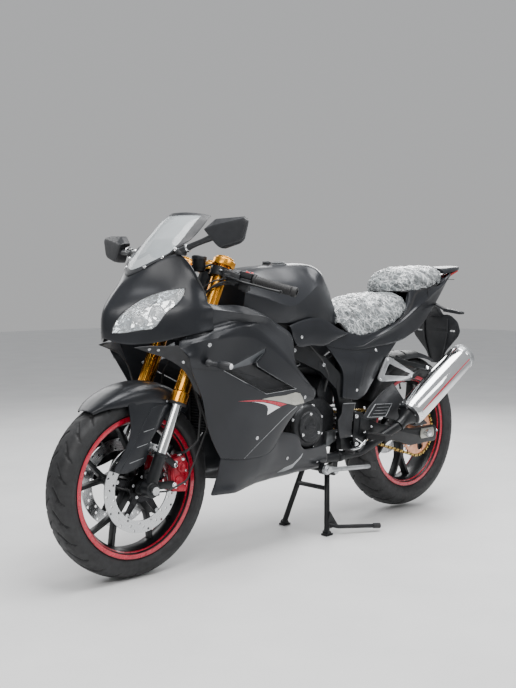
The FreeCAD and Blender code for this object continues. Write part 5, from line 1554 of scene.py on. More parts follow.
BELLY = [
    [(230, 178, 371), (258, 180, 367), (292, 184, 361), (328, 188, 357), (366, 190, 357),
     (400, 191, 359), (432, 190, 365), (455, 189, 377), (470, 188, 391), (486, 187, 429),
     (528, 186, 424), (592, 179, 402), (618, 171, 360), (700, 163, 351), (752, 158, 356)],
    [(220, 176, 330), (250, 178, 326), (290, 180, 322), (328, 181, 320), (366, 181, 320),
     (400, 181, 321), (432, 180, 326), (455, 179, 333), (478, 178, 343), (502, 177, 354),
     (542, 174, 356), (600, 170, 342), (642, 164, 330), (708, 157, 322), (772, 150, 320)],
    [(203, 178, 290), (246, 178, 287), (286, 178, 284), (326, 175, 283), (366, 170, 284),
     (400, 166, 285), (432, 162, 287), (455, 160, 289), (485, 158, 291), (515, 156, 293),
     (555, 154, 294), (604, 151, 293), (655, 148, 291), (716, 144, 290), (782, 140, 289)],
    [(188, 181, 258), (240, 180, 255), (290, 178, 252), (330, 166, 252), (366, 150, 252),
     (400, 138, 253), (432, 128, 254), (455, 123, 255), (490, 120, 256), (520, 118, 258),
     (560, 117, 259), (606, 116, 260), (656, 114, 262), (718, 112, 262), (788, 108, 262)],
    [(204, 178, 255), (248, 177, 252), (296, 173, 249), (338, 152, 248), (374, 108, 247),
     (406, 60, 246), (434, 42, 247), (457, 34, 248), (492, 31, 250), (522, 30, 251),
     (562, 30, 252), (607, 30, 253), (657, 30, 255), (719, 30, 256), (789, 30, 257)]]
BELLY_IN = (500, 0, 420)
belly_l = panel("belly_left", flip_y(BELLY), "chassis", ["graphite_paint_look"], BELLY_IN, 8.0,
                (), (4, 5, 6), thick=3.0, bevel=0.8, replaces=["belly_fairing"])
belly_r = panel("belly_right", BELLY, "chassis", ["graphite_paint_look"], BELLY_IN, 8.0,
                (), (4, 5, 6), thick=3.0, bevel=0.8, replaces=["belly_fairing"])
low_l, low_r = Surf(belly_l, draft_side), Surf(belly_r, draft_r)

SEAM_PX = [(317.3, 399.4), (309.9, 402.2), (297, 406.2), (290, 412.2), (276, 426), (262.6, 439.6),
           (250, 452.5), (244, 458.8)]
WEDGE_PX = [(276.6, 472.7), (284, 467.9), (292.7, 464.0), (299.6, 457.2), (303.2, 452.6),
            (301.2, 457.2), (294.6, 464.6), (292, 468.0), (284, 471.2)]
seam = smooth2(px_line(low_l, SEAM_PX), 3)
wedge = px_line(low_l, WEDGE_PX)
trim_pc, groove_pc, bolt_pc = Piece(), Piece(), Piece()
for s, sf in ((-1, low_l), (1, low_r)):
    strip_on(trim_pc, sf, seam, lambda t: 2.6 * (1 - 0.75 * t), s, 0.5)
    # joint between the upper and the lower panel
    row = smooth2([(x, z) for x, y, z in SIDE[6]], 3)
    strip_on(groove_pc, sf, [(x, z + 1.0) for x, z in row], 1.4, s, 0.12)
    # joint under the shoulder piece
    row = smooth2([(x, z) for x, y, z in SIDE[1][2:]], 3)
    strip_on(groove_pc, sf, [(x, z + 1.5) for x, z in row], 1.6, s, 0.15)
    for px, py, r in ((209.7, 344.9, 5.6), (257.2, 438, 5.2), (287.4, 458.2, 4.8),
                      (305.0, 397.2, 5.4), (317.2, 462.0, 4.2)):
        hit = low_l.seen(px, py)
        if hit:
            p, n = sf.side(hit[0].x, hit[0].z, s)
            bolt_pc.bolt(p, n, r, 2.2)
trim_pc.make("side_trim_lines", "chassis", ["trim_grey_look"])
groove_pc.make("side_joints", "chassis", ["groove_look"])
bolt_pc.make("side_bolts", "chassis", ["steel_look"])
for tag, s, sf in (("left", -1, low_l), ("right", 1, low_r)):
    decal("belly_wedge_" + tag, sf, wedge, s, "chassis", ["trim_grey_look"], 0.5, 0.6)
drop(draft, draft_side, draft_r)


# ================================================================== tank and its lid
def rolled(rows, k=6.0, sides=(1, 1, 1, 1)):
    """Adds a flange round a grid of (x, |y|, z): top, bottom, first and last column."""
    out = [list(r) for r in rows]
    if sides[0]:
        out.insert(0, [(x, y - k, z - 0.5) for x, y, z in out[0]])
    if sides[1]:
        out.append([(x, y - k, z + 0.5) for x, y, z in out[-1]])
    if sides[2]:
        out = [[(r[0][0] + 0.5, r[0][1] - k, r[0][2])] + r for r in out]
    if sides[3]:
        out = [r + [(r[-1][0] - 0.5, r[-1][1] - k, r[-1][2])] for r in out]
    return out


def at_y(px, py, y):
    """The point that a pixel of the photograph shows on the plane at y."""
    r = ray(px, py)
    t = (y / 1000.0 - CAM_AT.y) / r.y
    return back(CAM_AT + r * t)


TANK = [
    (395, [(0, 962), (55, 960), (100, 945), (118, 903), (112, 870), (105, 838), (0, 838)]),
    (480, [(0, 985), (62, 981), (94, 962), (136, 882), (130, 840), (122, 806), (0, 806)]),
    (590, [(0, 999), (56, 992), (92, 964), (152, 857), (146, 830), (136, 796), (0, 796)]),
    (690, [(0, 1005), (56, 997), (84, 972), (136, 896), (138, 840), (132, 790), (0, 790)]),
    (752, [(0, 1007), (50, 999), (74, 970), (115, 923), (126, 860), (122, 785), (0, 785)]),
    (806, [(0, 1001), (50, 994), (76, 976), (94, 926), (112, 850), (108, 782), (0, 782)]),
    (858, [(0, 972), (36, 966), (56, 944), (76, 898), (94, 846), (96, 780), (0, 780)]),
    (884, [(0, 938), (38, 930), (52, 910), (70, 868), (84, 838), (87, 780), (0, 780)]),
    (904, [(0, 880), (34, 874), (46, 862), (60, 840), (70, 820), (75, 780), (0, 780)])]
CAP = (650.0, 0.0)
HINGE = (CAP[0] - 43, 1009.0)
pc = Piece()
pc.rod((CAP[0], 0, 985.5), (CAP[0], 0, 1030), 46.2, 72, 0, 0.1)
pocket = cutter_from("pocket", pc)
tank = hull_body("tank_shell", TANK, 7.0, (3, 5))
cut(tank, pocket)
bake(tank, 26)
settle(tank, "chassis", ["graphite_paint_look"], ["fuel_tank"])
drop(pocket)
tank_surf = Surf(tank)
pc = Piece()
for s in (-1, 1):       # rubber strip under the tank's lower edge
    pc.box(498, 650, *sorted((s * 110, s * 119)), 774, 797.5)
pc.make("tank_edge_rubber", "chassis", ["rubber_look"], bevel=1.5)

pc = Piece()
pc.pipe((CAP[0], 0, 985.5), (CAP[0], 0, 1004), 45.9, 38.6, 72)
for s in (-1, 1):
    pc.box(HINGE[0] - 4, HINGE[0] + 4, *sorted((s * 9.6, s * 14)), 1003, 1013)
pc.rod((HINGE[0], -15, HINGE[1]), (HINGE[0], 15, HINGE[1]), 2.0, 14)
for k in range(6):
    a = math.radians(30 + 60 * k)
    pc.bolt((CAP[0] + 42.3 * math.cos(a), 42.3 * math.sin(a), 1003.4), (0, 0, 1), 2.3, 1.8)
pc.make("filler_ring", "chassis", ["dark_alloy_look"], ["fuel_tank"], bevel=0.4)
pc = Piece()
pc.lathe([(0, 0), (0, 28.5), (1.4, 30), (12.6, 30), (12.6, 36.3), (13.8, 37.5), (17.2, 37.5),
          (18.8, 36), (19, 31), (18.3, 30.2), (18.3, 0)], (CAP[0], 0, 992), (CAP[0], 0, 993), 72)
pc.rod((HINGE[0], -9, HINGE[1]), (HINGE[0], 9, HINGE[1]), 4.2, 20)
pc.box(HINGE[0] + 1, CAP[0] - 31, -8.6, 8.6, 1005.4, 1010.6)
pc.xz([(CAP[0] + 4, 1010.0), (CAP[0] + 24, 1010.0), (CAP[0] + 22, 1012.6), (CAP[0] + 7, 1013.2)],
      -9, 9)
pc.make("fuel_lid_plate", "fuel_lid", ["dark_alloy_look"], ["fuel_cap"], bevel=0.5)

# ================================================================== side covers and tail
COVER_UP = [
    [(580, 146, 788), (651, 146.5, 806), (719, 146.5, 812), (774, 146.5, 798), (830, 146, 773),
     (889, 145.5, 750)],
    [(588, 149.5, 768), (648, 151, 766), (704, 151.5, 768), (762, 151, 757), (824, 150, 751),
     (886, 147.5, 748.5)],
    [(596, 146, 750), (622, 146.5, 716), (690, 147, 715), (757, 147, 711), (820, 146.5, 730),
     (882, 145.5, 747)]]
COVER_LOW = [
    [(766, 140, 716), (845, 139, 708), (905, 138.5, 701), (962, 138, 694), (1070, 138, 702),
     (1200, 135, 713)],
    [(820, 143.5, 664), (872, 145.5, 662), (925, 148, 658), (972, 150.5, 650), (1052, 148, 656),
     (1134, 142, 660)],
    [(868, 142, 601), (900, 145, 600), (934, 148, 598), (966, 150.5, 594), (1020, 147.5, 596),
     (1072, 142.5, 604)],
    [(868, 142, 552), (892, 145, 549), (920, 148, 546), (950, 149.5, 543), (996, 146.5, 552),
     (1046, 142, 570)],
    [(866, 142, 513), (888, 144, 507), (912, 146, 503), (943, 147, 499), (985, 145, 512),
     (1024, 142, 545)]]
covers = []
for tag, s in (("left", -1), ("right", 1)):
    f = flip_y if s < 0 else (lambda r: r)
    up = panel("cover_upper_" + tag, f(rolled(COVER_UP, 7)), "chassis", ["graphite_paint_look"],
               (760, 0, 650), 7.0, (1, 3), (1, 6), thick=2.5, bevel=1.0, replaces=["side_covers"])
    low = panel("cover_lower_" + tag, f(rolled(COVER_LOW, 7)), "chassis", ["graphite_paint_look"],
                (950, 0, 600), 7.0, (1, 5), (1, 4, 6), thick=2.5, bevel=1.0,
                replaces=["side_covers"])
    covers.append((s, Surf(up, low)))

TAIL = [
    [(897, 134, 754), (985, 137, 738), (1047, 139, 746), (1120, 137.5, 764), (1190, 134, 784),
     (1258, 122, 817), (1296, 110, 858), (1312, 105, 896), (1425, 101, 904), (1545, 82, 923),
     (1600, 68, 957)],
    [(893, 136, 750), (985, 138.5, 733), (1047, 140.5, 741), (1120, 139, 759), (1190, 135.5, 779),
     (1262, 127, 811), (1320, 119, 841), (1360, 113, 884), (1440, 106, 913), (1552, 87, 931),
     (1640, 70, 975)],
    [(838, 141, 732), (965, 146, 701), (1050, 148, 729), (1125, 149, 753), (1200, 144, 778),
     (1262, 137, 803), (1320, 129, 829), (1400, 121, 863), (1480, 108, 898), (1575, 88, 932),
     (1665, 58, 972)],
    [(768, 143, 712), (955, 144, 687), (1055, 143, 694), (1135, 142, 700), (1215, 138, 710),
     (1290, 130, 732), (1360, 120, 755), (1425, 108, 794), (1505, 92, 850), (1590, 70, 910),
     (1690, 36, 975)]]


def between(a, b, t, dy=0.0, dz=0.0):
    n = len(a) - 1
    out = []
    for i, (p, q) in enumerate(zip(a, b)):
        k = math.sin(math.pi * i / n)
        out.append((p[0] + (q[0] - p[0]) * t, p[1] + (q[1] - p[1]) * t + dy * k,
                    p[2] + (q[2] - p[2]) * t + dz * k))
    return out


TAIL_V = [[(x, y - 14, z + 2) for x, y, z in TAIL[0]], TAIL[0],
          TAIL[1],
          between(TAIL[1], TAIL[2], 0.42, -3.0), TAIL[2],
          between(TAIL[2], TAIL[3], 0.22, -2.4), between(TAIL[2], TAIL[3], 0.62, -1.0), TAIL[3],
          [(x, y - 12, z + 3) for x, y, z in TAIL[3]]]
tails = []
for tag, s in (("left", -1), ("right", 1)):
    f = flip_y if s < 0 else (lambda r: r)
    ob = panel("tail_" + tag, f(TAIL_V), "chassis", ["graphite_paint_look"], (1300, 0, 830), 7.0,
               (1, 2, 4, 7), thick=2.5, bevel=0.8, replaces=["tail_fairing"])
    tails.append((s, Surf(ob)))

joint, fix, chan = Piece(), Piece(), Piece()
COVER_SEAM_PX = [(322.3, 360.9), (334, 367.6), (347.2, 375.6), (346.9, 387), (346.5, 398)]
CHANNEL_PX = [[(351.5, 353.6), (358, 352.4), (366, 352.2), (373.4, 353.0)],
              [(370, 354.8), (366.2, 368), (361.8, 386.5)],
              [(352.5, 357.6), (355.4, 360.6), (354.6, 377), (354.0, 388)]]
for (s, cs), (_, ts) in zip(covers, tails):
    left = covers[0][1]
    for line, w in [(COVER_SEAM_PX, 2.2)] + [(c, 1.7) for c in CHANNEL_PX]:
        pts = [left.seen(px, py) for px, py in line]
        pts = [(p[0].x, p[0].z) for p in pts if p]
        if len(pts) > 1:
            strip_on(joint if w > 2 else chan, cs, smooth2(pts, 3), w, s, 0.15)
    for px, py, r in ((375.9, 350, 5.2), (357, 390, 4.6), (302, 337, 4.6)):
        hit = left.seen(px, py)
        if hit:
            p, n = cs.side(hit[0].x, hit[0].z, s)
            fix.bolt(p, n, r, 2.4)
    # inner dark strip of the tail beside the pillion seat
    row = smooth2([(x, z) for x, y, z in between(TAIL[0], TAIL[1], 0.62)[4:9]], 4)
    strip_on(chan, ts, row, lambda t: 2.0 + 9.0 * math.sin(math.pi * t) ** 1.5, s, 0.2)
joint.make("cover_seams", "chassis", ["groove_look"])
chan.make("cover_channels", "chassis", ["groove_look"])
fix.make("cover_bolts", "chassis", ["chrome_look"])

# tray under the seats, between the tail panels
pc = Piece()
TRAY = [(1010, 690, 122), (1120, 704, 124), (1215, 722, 120), (1290, 748, 112), (1360, 778, 102),
        (1430, 828, 92), (1505, 880, 76), (1590, 930, 56)]
rows = [[(x, y * w, z + 10 + 4 * abs(y)) for y in (-1, -0.6, 0, 0.6, 1)] for x, z, w in TRAY]
tray = panel("undertail_tray", rows, "chassis", ["black_plastic_look"], (1200, 0, 1100), 12.0,
             thick=2.5, bevel=0.8)
SPOILER = [
    (1592, [(0, 1000), (40, 998), (66, 986), (70, 974), (0, 974)]),
    (1660, [(0, 1006), (44, 1004), (66, 996), (70, 982), (0, 980)]),
    (1730, [(0, 1009), (34, 1007), (50, 1001), (52, 994), (0, 990)]),
    (1776, [(0, 1008), (12, 1007), (18, 1005), (18, 1001), (0, 999)])]
ob = hull_body("tail_spoiler_wing", SPOILER, 6.0, (3,))
bake(ob, 34)
settle(ob, "chassis", ["graphite_paint_look"], ["tail_spoiler"])
pc = Piece()
pc.xz([(1630, 950), (1700, 974), (1758, 991), (1765, 987), (1700, 962)], -27.5, 27.5)
pc.make("tail_lamp_lens", "chassis", ["red_lens_look"], ["tail_light"], bevel=2.0, seg=3)
pc = Piece()
for k in range(7):
    y = -21 + 7 * k
    pc.box(1640, 1742, y - 0.5, y + 0.5, 949, 951.5)
pc.beam((1622, 0, 946), (1700, 0, 972), 60, 3, (-0.3, 0, 1))
pc.make("tail_lamp_base", "chassis", ["black_plastic_look"], bevel=0.5)

# ================================================================== seats
SEAT = [
    (880, [(0, 842), (60, 841), (90, 835), (106, 812), (112, 786), (104, 781), (98, 780), (0, 778)]),
    (925, [(0, 852), (66, 850), (100, 840), (120, 792), (124, 746), (110, 748), (106, 779), (0, 779)]),
    (975, [(0, 858), (74, 856), (110, 842), (130, 786), (130, 734), (112, 738), (108, 779), (0, 779)]),
    (1040, [(0, 866), (80, 864), (116, 848), (136, 792), (134, 739), (112, 744), (108, 780), (0, 780)]),
    (1110, [(0, 881), (82, 879), (118, 862), (138, 806), (134, 754), (112, 760), (108, 786), (0, 786)]),
    (1180, [(0, 889), (80, 887), (116, 872), (134, 822), (130, 773), (112, 778), (106, 794), (0, 794)]),
    (1240, [(0, 892), (76, 890), (110, 878), (126, 840), (121, 798), (108, 804), (102, 822), (0, 822)]),
    (1300, [(0, 885), (64, 881), (90, 866), (104, 846), (101, 828), (94, 827), (88, 827), (0, 827)])]
PILLION = [
    (1276, [(0, 950), (56, 948), (80, 938), (88, 918), (86, 900), (0, 900)]),
    (1300, [(0, 976), (62, 974), (91, 956), (99, 920), (95, 900), (0, 900)]),
    (1345, [(0, 991), (66, 989), (98, 968), (107, 922), (103, 902), (0, 902)]),
    (1407, [(0, 1001), (66, 998), (98, 976), (108, 926), (104, 908), (0, 908)]),
    (1480, [(0, 1005), (62, 1002), (90, 982), (98, 940), (94, 918), (0, 918)]),
    (1540, [(0, 1005), (52, 1002), (76, 985), (82, 950), (78, 930), (0, 930)]),
    (1578, [(0, 1000), (42, 997), (62, 985), (68, 960), (64, 940), (0, 940)])]


def pad(name, stations, node, cap):
    """Foam pad in vinyl: pushed out from inside like a filled cover, kept near its pan."""
    small = []
    for x, half in stations:
        top = half[0][1]
        small.append((x, [(y * 0.975, z - 4.0 * (z - half[-1][1]) / (top - half[-1][1]))
                          for y, z in half]))
    ob = hull_body(name, small, 8.0, (4,))
    bake(ob, 60)
    r = ob.modifiers.new("even", "REMESH")
    r.mode = "VOXEL"
    r.voxel_size = 0.006
    bake(ob, 60)
    home = [v.co.copy() for v in ob.data.vertices]
    base = min(v.z for v in home)
    c = ob.modifiers.new("fill", "CLOTH")
    st = c.settings
    st.quality = 4
    st.mass = 0.3
    st.use_pressure = True
    st.uniform_pressure_force = 4.0
    st.tension_stiffness = 15
    st.compression_stiffness = 15
    st.shear_stiffness = 8
    st.bending_stiffness = 2.0
    st.effector_weights.gravity = 0.0
    g = ob.vertex_groups.new(name="pan")
    g.add([i for i, v in enumerate(home) if v.z < base + 0.012], 1.0, "REPLACE")
    st.vertex_group_mass = "pan"
    c.point_cache.frame_start, c.point_cache.frame_end = 1, 20
    for k in range(1, 21):
        bpy.context.scene.frame_set(k)
    dg = bpy.context.evaluated_depsgraph_get()
    me = ob.evaluated_get(dg).to_mesh()
    moved = [v.co.copy() for v in me.vertices]
    ob.evaluated_get(dg).to_mesh_clear()
    ob.modifiers.clear()
    bpy.context.scene.frame_set(1)
    if len(moved) == len(home):
        for v, a, b in zip(ob.data.vertices, home, moved):
            d = b - a
            if d.length > cap:
                d = d.normalized() * cap
            v.co = a + d
    sm = ob.modifiers.new("even", "SMOOTH")
    sm.factor, sm.iterations = 0.5, 3
    ob.data.shade_smooth()
    bake(ob, 70)
    settle(ob, "chassis", ["seat_vinyl_look"], [node])
    return ob


def film_over(name, base, low, seed, lift=1.6):
    """Clear wrapping film: one crinkled sheet over a pad, down to the height given by low(x)."""
    bm = bmesh.new()
    bm.from_mesh(base.data)
    bm.normal_update()
    out = []
    for f in bm.faces:
        c = back(f.calc_center_median())
        if c.z < low(c.x) or f.normal.z < -0.45:
            out.append(f)
    bmesh.ops.delete(bm, geom=out, context="FACES")
    bmesh.ops.subdivide_edges(bm, edges=bm.edges[:], cuts=1, use_grid_fill=True)
    bmesh.ops.smooth_vert(bm, verts=[v for v in bm.verts if not v.is_boundary], factor=0.5,
                          use_axis_x=True, use_axis_y=True, use_axis_z=True)
    bm.normal_update()
    off = Vector((seed * 3.1, seed * 1.7, seed * 0.9))
    tip = Vector((0.55, 0.25, -0.8)).normalized()
    for v in bm.verts:
        p = v.co
        h = 0.0
        for scale, size, pull in ((17.0, 7.0, 0.55), (41.0, 2.2, 0.4)):
            q = p * scale + off * scale * 0.1
            q -= tip * (q.dot(tip) * pull)
            q += noise.noise_vector(q * 0.4) * 0.55
            d, pts = noise.voronoi(q)[:2]
            a, b = pts[0], pts[1]
            edge = (b - a).normalized().dot((a + b) / 2 - q)
            h += size * min(edge, 0.55) / 0.55
        v.co = p + v.normal * ((lift + h) / 1000.0)
    me = bpy.data.meshes.new(name)
    bm.to_mesh(me)
    area = sum(f.calc_area() for f in bm.faces)
    bm.free()
    ob = link(bpy.data.objects.new(name, me))
    d = ob.modifiers.new("thin", "DECIMATE")
    d.ratio = 0.6
    s = ob.modifiers.new("thick", "SOLIDIFY")
    s.thickness = 0.0003
    bake(ob, 24)
    settle(ob, "chassis", ["film_look"])
    return ob


rider = pad("rider_pad", SEAT, "rider_seat", 0.007)
pillion = pad("pillion_pad", PILLION, "pillion_seat", 0.006)


def rider_low(x):
    pts = [(880, 790), (925, 750), (975, 739), (1040, 743), (1110, 758), (1180, 778), (1240, 802),
           (1300, 832)]
    for (a, za), (b, zb) in zip(pts, pts[1:]):
        if x <= b:
            return za + (zb - za) * max(0.0, x - a) / (b - a)
    return 840


def pillion_low(x):
    return 905 if x < 1300 else 905 + (x - 1300) * 0.09


film_over("rider_film", rider, rider_low, 1.0)
film_over("pillion_film", pillion, pillion_low, 2.7)
# piping round the lower edges of the rider pad and the pillion pad
pc = Piece()
for st, zoff, r in ((SEAT, 0.5, 4.2), (PILLION, 1.0, 2.8)):
    for s in (-1, 1):
        line = [Vector((x, s * (half[4][0] + 0.5), half[4][1] + zoff)) for x, half in st]
        pc.sweep(spline(line, [6] * (len(line) - 1)), r, 8)
pc.make("seat_piping", "chassis", ["seat_vinyl_look"])


# ================================================================== mirrors, lamps, cockpit
MIRROR = [(218, 1106), (256, 1132), (372, 1136), (384, 1124), (366, 1068), (348, 1056),
          (278, 1040), (262, 1053)]
MIRROR_FACE = [(221, 1102), (258, 1113), (368, 1131), (380, 1121), (363, 1070), (346, 1059),
               (279, 1043), (264, 1055)]


def ring_round(pts2, r, n=4):
    """Outline of (a, b) with its corners rounded to about r."""
    out = []
    m = len(pts2)
    for i in range(m):
        p = Vector((pts2[i][0], pts2[i][1], 0))
        a = Vector((pts2[i - 1][0], pts2[i - 1][1], 0))
        b = Vector((pts2[(i + 1) % m][0], pts2[(i + 1) % m][1], 0))
        k = min(r, (a - p).length * 0.4, (b - p).length * 0.4)
        s, e = p + (a - p).normalized() * k, p + (b - p).normalized() * k
        for j in range(n + 1):
            t = j / n
            q = s * (1 - t) ** 2 + p * 2 * t * (1 - t) + e * t * t
            out.append((q.x, q.y))
    return out


shell, glass, arm, nutp = Piece(), Piece(), Piece(), Piece()
for s, mx, mz in ((-1, 0, 0), (1, 12, -36)):
    line, flat = ring_round(MIRROR, 7, 4), ring_round(MIRROR_FACE, 7, 4)
    cy = sum(p[0] for p in line) / len(line)
    cz = sum(p[1] for p in line) / len(line)

    def at(k, dx, line=line, cy=cy, cz=cz, s=s, mx=mx, mz=mz):
        if dx < 3.0:
            line = flat
        f = 1.0 - 0.20 * min(max(dx, 0.0), 40.0) / 40.0
        out = []
        for y, z in line:
            y2 = 218 + (cy + (y - cy) * k - 218) * f
            out.append(Vector((118 + mx + (y2 - 216) * 0.26 + dx, s * y2,
                               cz + mz + (z - cz) * k)))
        return out

    levels = [(0.40, -0.6), (0.80, -0.2), (0.96, 0.6), (0.985, 1.4), (0.997, 2.8), (0.99, 16.0),
              (1.0, 19.0), (1.0, 38.5), (0.985, 40.0), (0.955, 40.0), (0.945, 38.0), (0.94, 33.0), (0.4, 33.0)]
    verts, faces = [], []
    n = len(line)
    for k, dx in levels:
        verts += at(k, dx)
    for a in range(len(levels) - 1):
        for i in range(n):
            j = (i + 1) % n
            faces.append([a * n + i, a * n + j, (a + 1) * n + j, (a + 1) * n + i])
    faces.append(list(reversed(range(n))))
    faces.append([(len(levels) - 1) * n + i for i in range(n)])
    shell.add(verts, faces)
    glass.prism(at(0.925, 33.4), (2.2, 0, 0))
    # arm: a rounded root on the nose, a waist, and a collar at the housing
    path = spline([Vector((112, s * 128, 1034)), Vector((118 + mx * 0.3, s * 160, 1048 + mz * 0.3)),
                   Vector((132 + mx * 0.7, s * 204, 1064 + mz * 0.7)),
                   Vector((146 + mx, s * 244, 1078 + mz))], [7, 7, 7])
    rr = [15, 14.6, 14, 13.4, 12.6, 12, 11.4, 11.0, 10.6, 10.4, 10.2, 10.0, 10.0, 10.0, 10.2, 10.4,
          10.8, 11.2, 11.6, 11.8, 12.0, 12.0]
    arm.sweep(path, rr, 20, 0, flat=0.85)
    arm.lathe([(-4, 0), (-4, 17), (-1, 19), (6, 17.5), (11, 13), (12, 0)], (112, s * 126, 1030),
              (113, s * 130, 1042), 28)
    nutp.nut((106, s * 118, 1040), (-0.4, 0, 1), 5.0, 4.0)
    nutp.nut((121, s * 136, 1041), (-0.4, 0, 1), 5.0, 4.0)
    nutp.pipe((117.0, s * 150, 1043.5), (118.6, s * 156, 1046.0), 13.2, 10.0, 24)
shell.make("mirror_shells", "chassis", ["black_plastic_look"], ["mirrors"], angle=40)
glass.make("mirror_glasses", "chassis", ["chrome_look"], bevel=0.6)
arm.make("mirror_arms", "chassis", ["black_plastic_look"], ["mirrors"], angle=50)
nutp.make("mirror_nuts", "chassis", ["chrome_look"])

# front turn lamps: dark round foot on the fairing, dark body, and a pale lens tip made opaque white as a painted
# highlight
body, tip = Piece(), Piece()
for s in (-1, 1):
    a, b = Vector((140, s * 224, 688)), Vector((148, s * 262, 684))
    body.lathe([(-4, 0), (-4, 12.5), (4.5, 12.5), (8, 10), (12, 7.6), ((b - a).length, 7.6),
                ((b - a).length, 0)], a, b, 28)
    a, b = Vector((150, s * 256, 684)), Vector((166, s * 305, 680))
    L = (b - a).length
    body.lathe([(-2, 0), (-2, 7), (4, 11), (10, 13.2), (20, 14), (L - 12, 13.0), (L - 6, 10.4),
                (L - 5.5, 9.4), (L - 5.5, 0)], a, b, 32)
    tip.lathe([(L - 6, 0), (L - 6, 9.0), (L - 4, 8.8), (L - 1, 5.8), (L, 0)], a, b, 32)
body.make("front_signal_bodies", "chassis", ["black_plastic_look"], ["front_signals"])
tip.make("front_signal_lenses", "chassis", ["white_look"])
body, tip = Piece(), Piece()
for s in (-1, 1):
    a, b = Vector((1500, s * 72, 856)), Vector((1500, s * 150, 824))
    body.lathe([(0, 0), (0, 11), (6, 11), (8, 7), (30, 6.8), (33, 7.6), (36, 6.8), (84, 7.4), (84, 0)],
               a, b, 24)
    body.beam((1500, s * 144, 825), (1497, s * 228, 813), 28, 15, taper=0.8)
    tip.beam((1505, s * 154, 823.5), (1502, s * 231, 812.5), 26, 12, taper=0.8)
body.make("rear_signal_bodies", "chassis", ["black_plastic_look"], ["rear_signals"], bevel=3.0, seg=3)
tip.make("rear_signal_lenses", "chassis", ["black_plastic_look"], bevel=3.0, seg=3)

# instruments: hooded housing with one round dial, a display and tell-tales
A, B = Vector((138, 0, 1058)), Vector((170, 0, 1036))
N = (B - A).normalized()
UP = Vector((0.5, 0, 0.8))
S_ = Vector((0, 1, 0))
UP = (UP - N * UP.dot(N)).normalized()
hous, face_, ringp, marks = Piece(), Piece(), Piece(), Piece()
outline = ring_round([(-75, -24), (-66, 26), (66, 26), (75, -24), (50, -28), (-50, -28)], 12, 4)
hous.prism([A + S_ * u + UP * v for u, v in outline], tuple(N * 34))
back_lip = [A + N * 34 + S_ * u * 0.97 + UP * v * 0.94 for u, v in outline]
hous.prism(back_lip, tuple(N * 3))
face_.prism([A + N * 36.8 + S_ * u * 0.9 + UP * v * 0.86 for u, v in outline], tuple(N * 1.6))
c = A + N * 38.0 + S_ * -26
ringp.pipe(c, c + N * 3, 22.5, 20.6, 48)
c2 = A + N * 38.0 + S_ * 30
ringp.prism([c2 + S_ * u + UP * v for u, v in ring_round([(-26, -14), (-26, 14), (26, 14), (26, -14)],
                                                       4, 3)], tuple(N * 1.2))
for k in range(21):
    a = math.radians(-130 + 13 * k)
    r0 = 15.5 if k % 2 == 0 else 17.2
    p = c + (UP * math.cos(a) + S_ * math.sin(a)) * r0 + N * 0.6
    q = c + (UP * math.cos(a) + S_ * math.sin(a)) * 19.4 + N * 0.6
    marks.sweep([p, q], 0.45, 4)
marks.sweep([c + N * 1.2, c + N * 1.2 + (UP * 0.8 - S_ * 0.6) * 15], 0.6, 5)
for k in range(4):
    p = A + N * 38.3 + S_ * (-12 + 10 * k) + UP * 20.5
    marks.lathe([(0, 0), (0, 1.6), (0.8, 1.4), (0.9, 0)], p, p + N, 12)
hous.make("instrument_housing", "chassis", ["black_plastic_look"], ["instrument_panel"], bevel=2.2,
          seg=3)
face_.make("instrument_face", "chassis", ["dial_look"])
ringp.make("instrument_rings", "chassis", ["dark_alloy_look"], bevel=0.4)
marks.make("instrument_marks", "chassis", ["white_look"])

# upper fork clamp: rounded lobes round the legs and a webbed bridge, with gold caps
pc = Piece()
for s in (-1, 1):
    y = s * FORK_Y
    pc.pipe(leg(760, y), leg(784, y), 37.5, 26.05, 56, 0, 2.0)
    pc.prism([leg(762, s * 122, -16), leg(762, s * 134, -10), leg(762, s * 134, 22),
              leg(762, s * 122, 24)], tuple(D * 20))
    pc.prism([leg(762, s * 86, -30), leg(762, s * 60, 2), leg(762, s * 30, 20), leg(762, s * 30, 52),
              leg(762, s * 58, 50), leg(762, s * 92, 32)], tuple(D * 18))
pc.pipe(leg(759, 0, 32), leg(784, 0, 32), 36, 14.1, 48, 0, 2.0)
pc.pipe(leg(784.2, 0, 32), leg(796, 0, 32), 20, 14.1, 6, 0, 1.0)
pc.make("upper_clamp_casting", "fork", ["gold_cast_look"], ["upper_clamp"], bevel=1.2)
caps = Piece()
for s in (-1, 1):
    y = s * FORK_Y
    caps.pipe(leg(784.3, y), leg(792, y), 30.5, 26.05, 48, 0, 1.2)
    caps.lathe([(0, 0), (0, 8.6), (2, 10), (8, 10), (9.5, 8.4), (9.5, 0)], leg(790, y, 0),
               leg(791, y, 0), 6)
caps.make("fork_caps", "fork", ["gold_cast_look"], angle=40)

# fluid reservoir before the upper clamp, dark grey with a lid and a strap
pot, lidp = Piece(), Piece()
p, up = Vector((240, -58, 972)), Vector((0.10, 0, 1)).normalized()
pot.lathe([(0, 0), (0, 17), (3, 20.5), (36, 23), (40, 23), (40, 0)], p, p + up, 40)
pot.lathe([(14, 23.2), (14, 24.4), (20, 24.8), (20, 23.6)], p, p + up, 40)
lidp.lathe([(40, 0), (40, 24.4), (41.5, 25.2), (50, 25.2), (53, 22.5), (53, 9), (51.5, 8), (51.5, 0)],
           p, p + up, 40)
lidp.beam(tuple(p + up * 17 + Vector((18, -6, 0))), leg(770, -62, -8), 14, 5, tuple(D))
pot.make("fluid_pot", "fork", ["black_metal_look"])
lidp.make("fluid_pot_lid", "fork", ["black_plastic_look"])

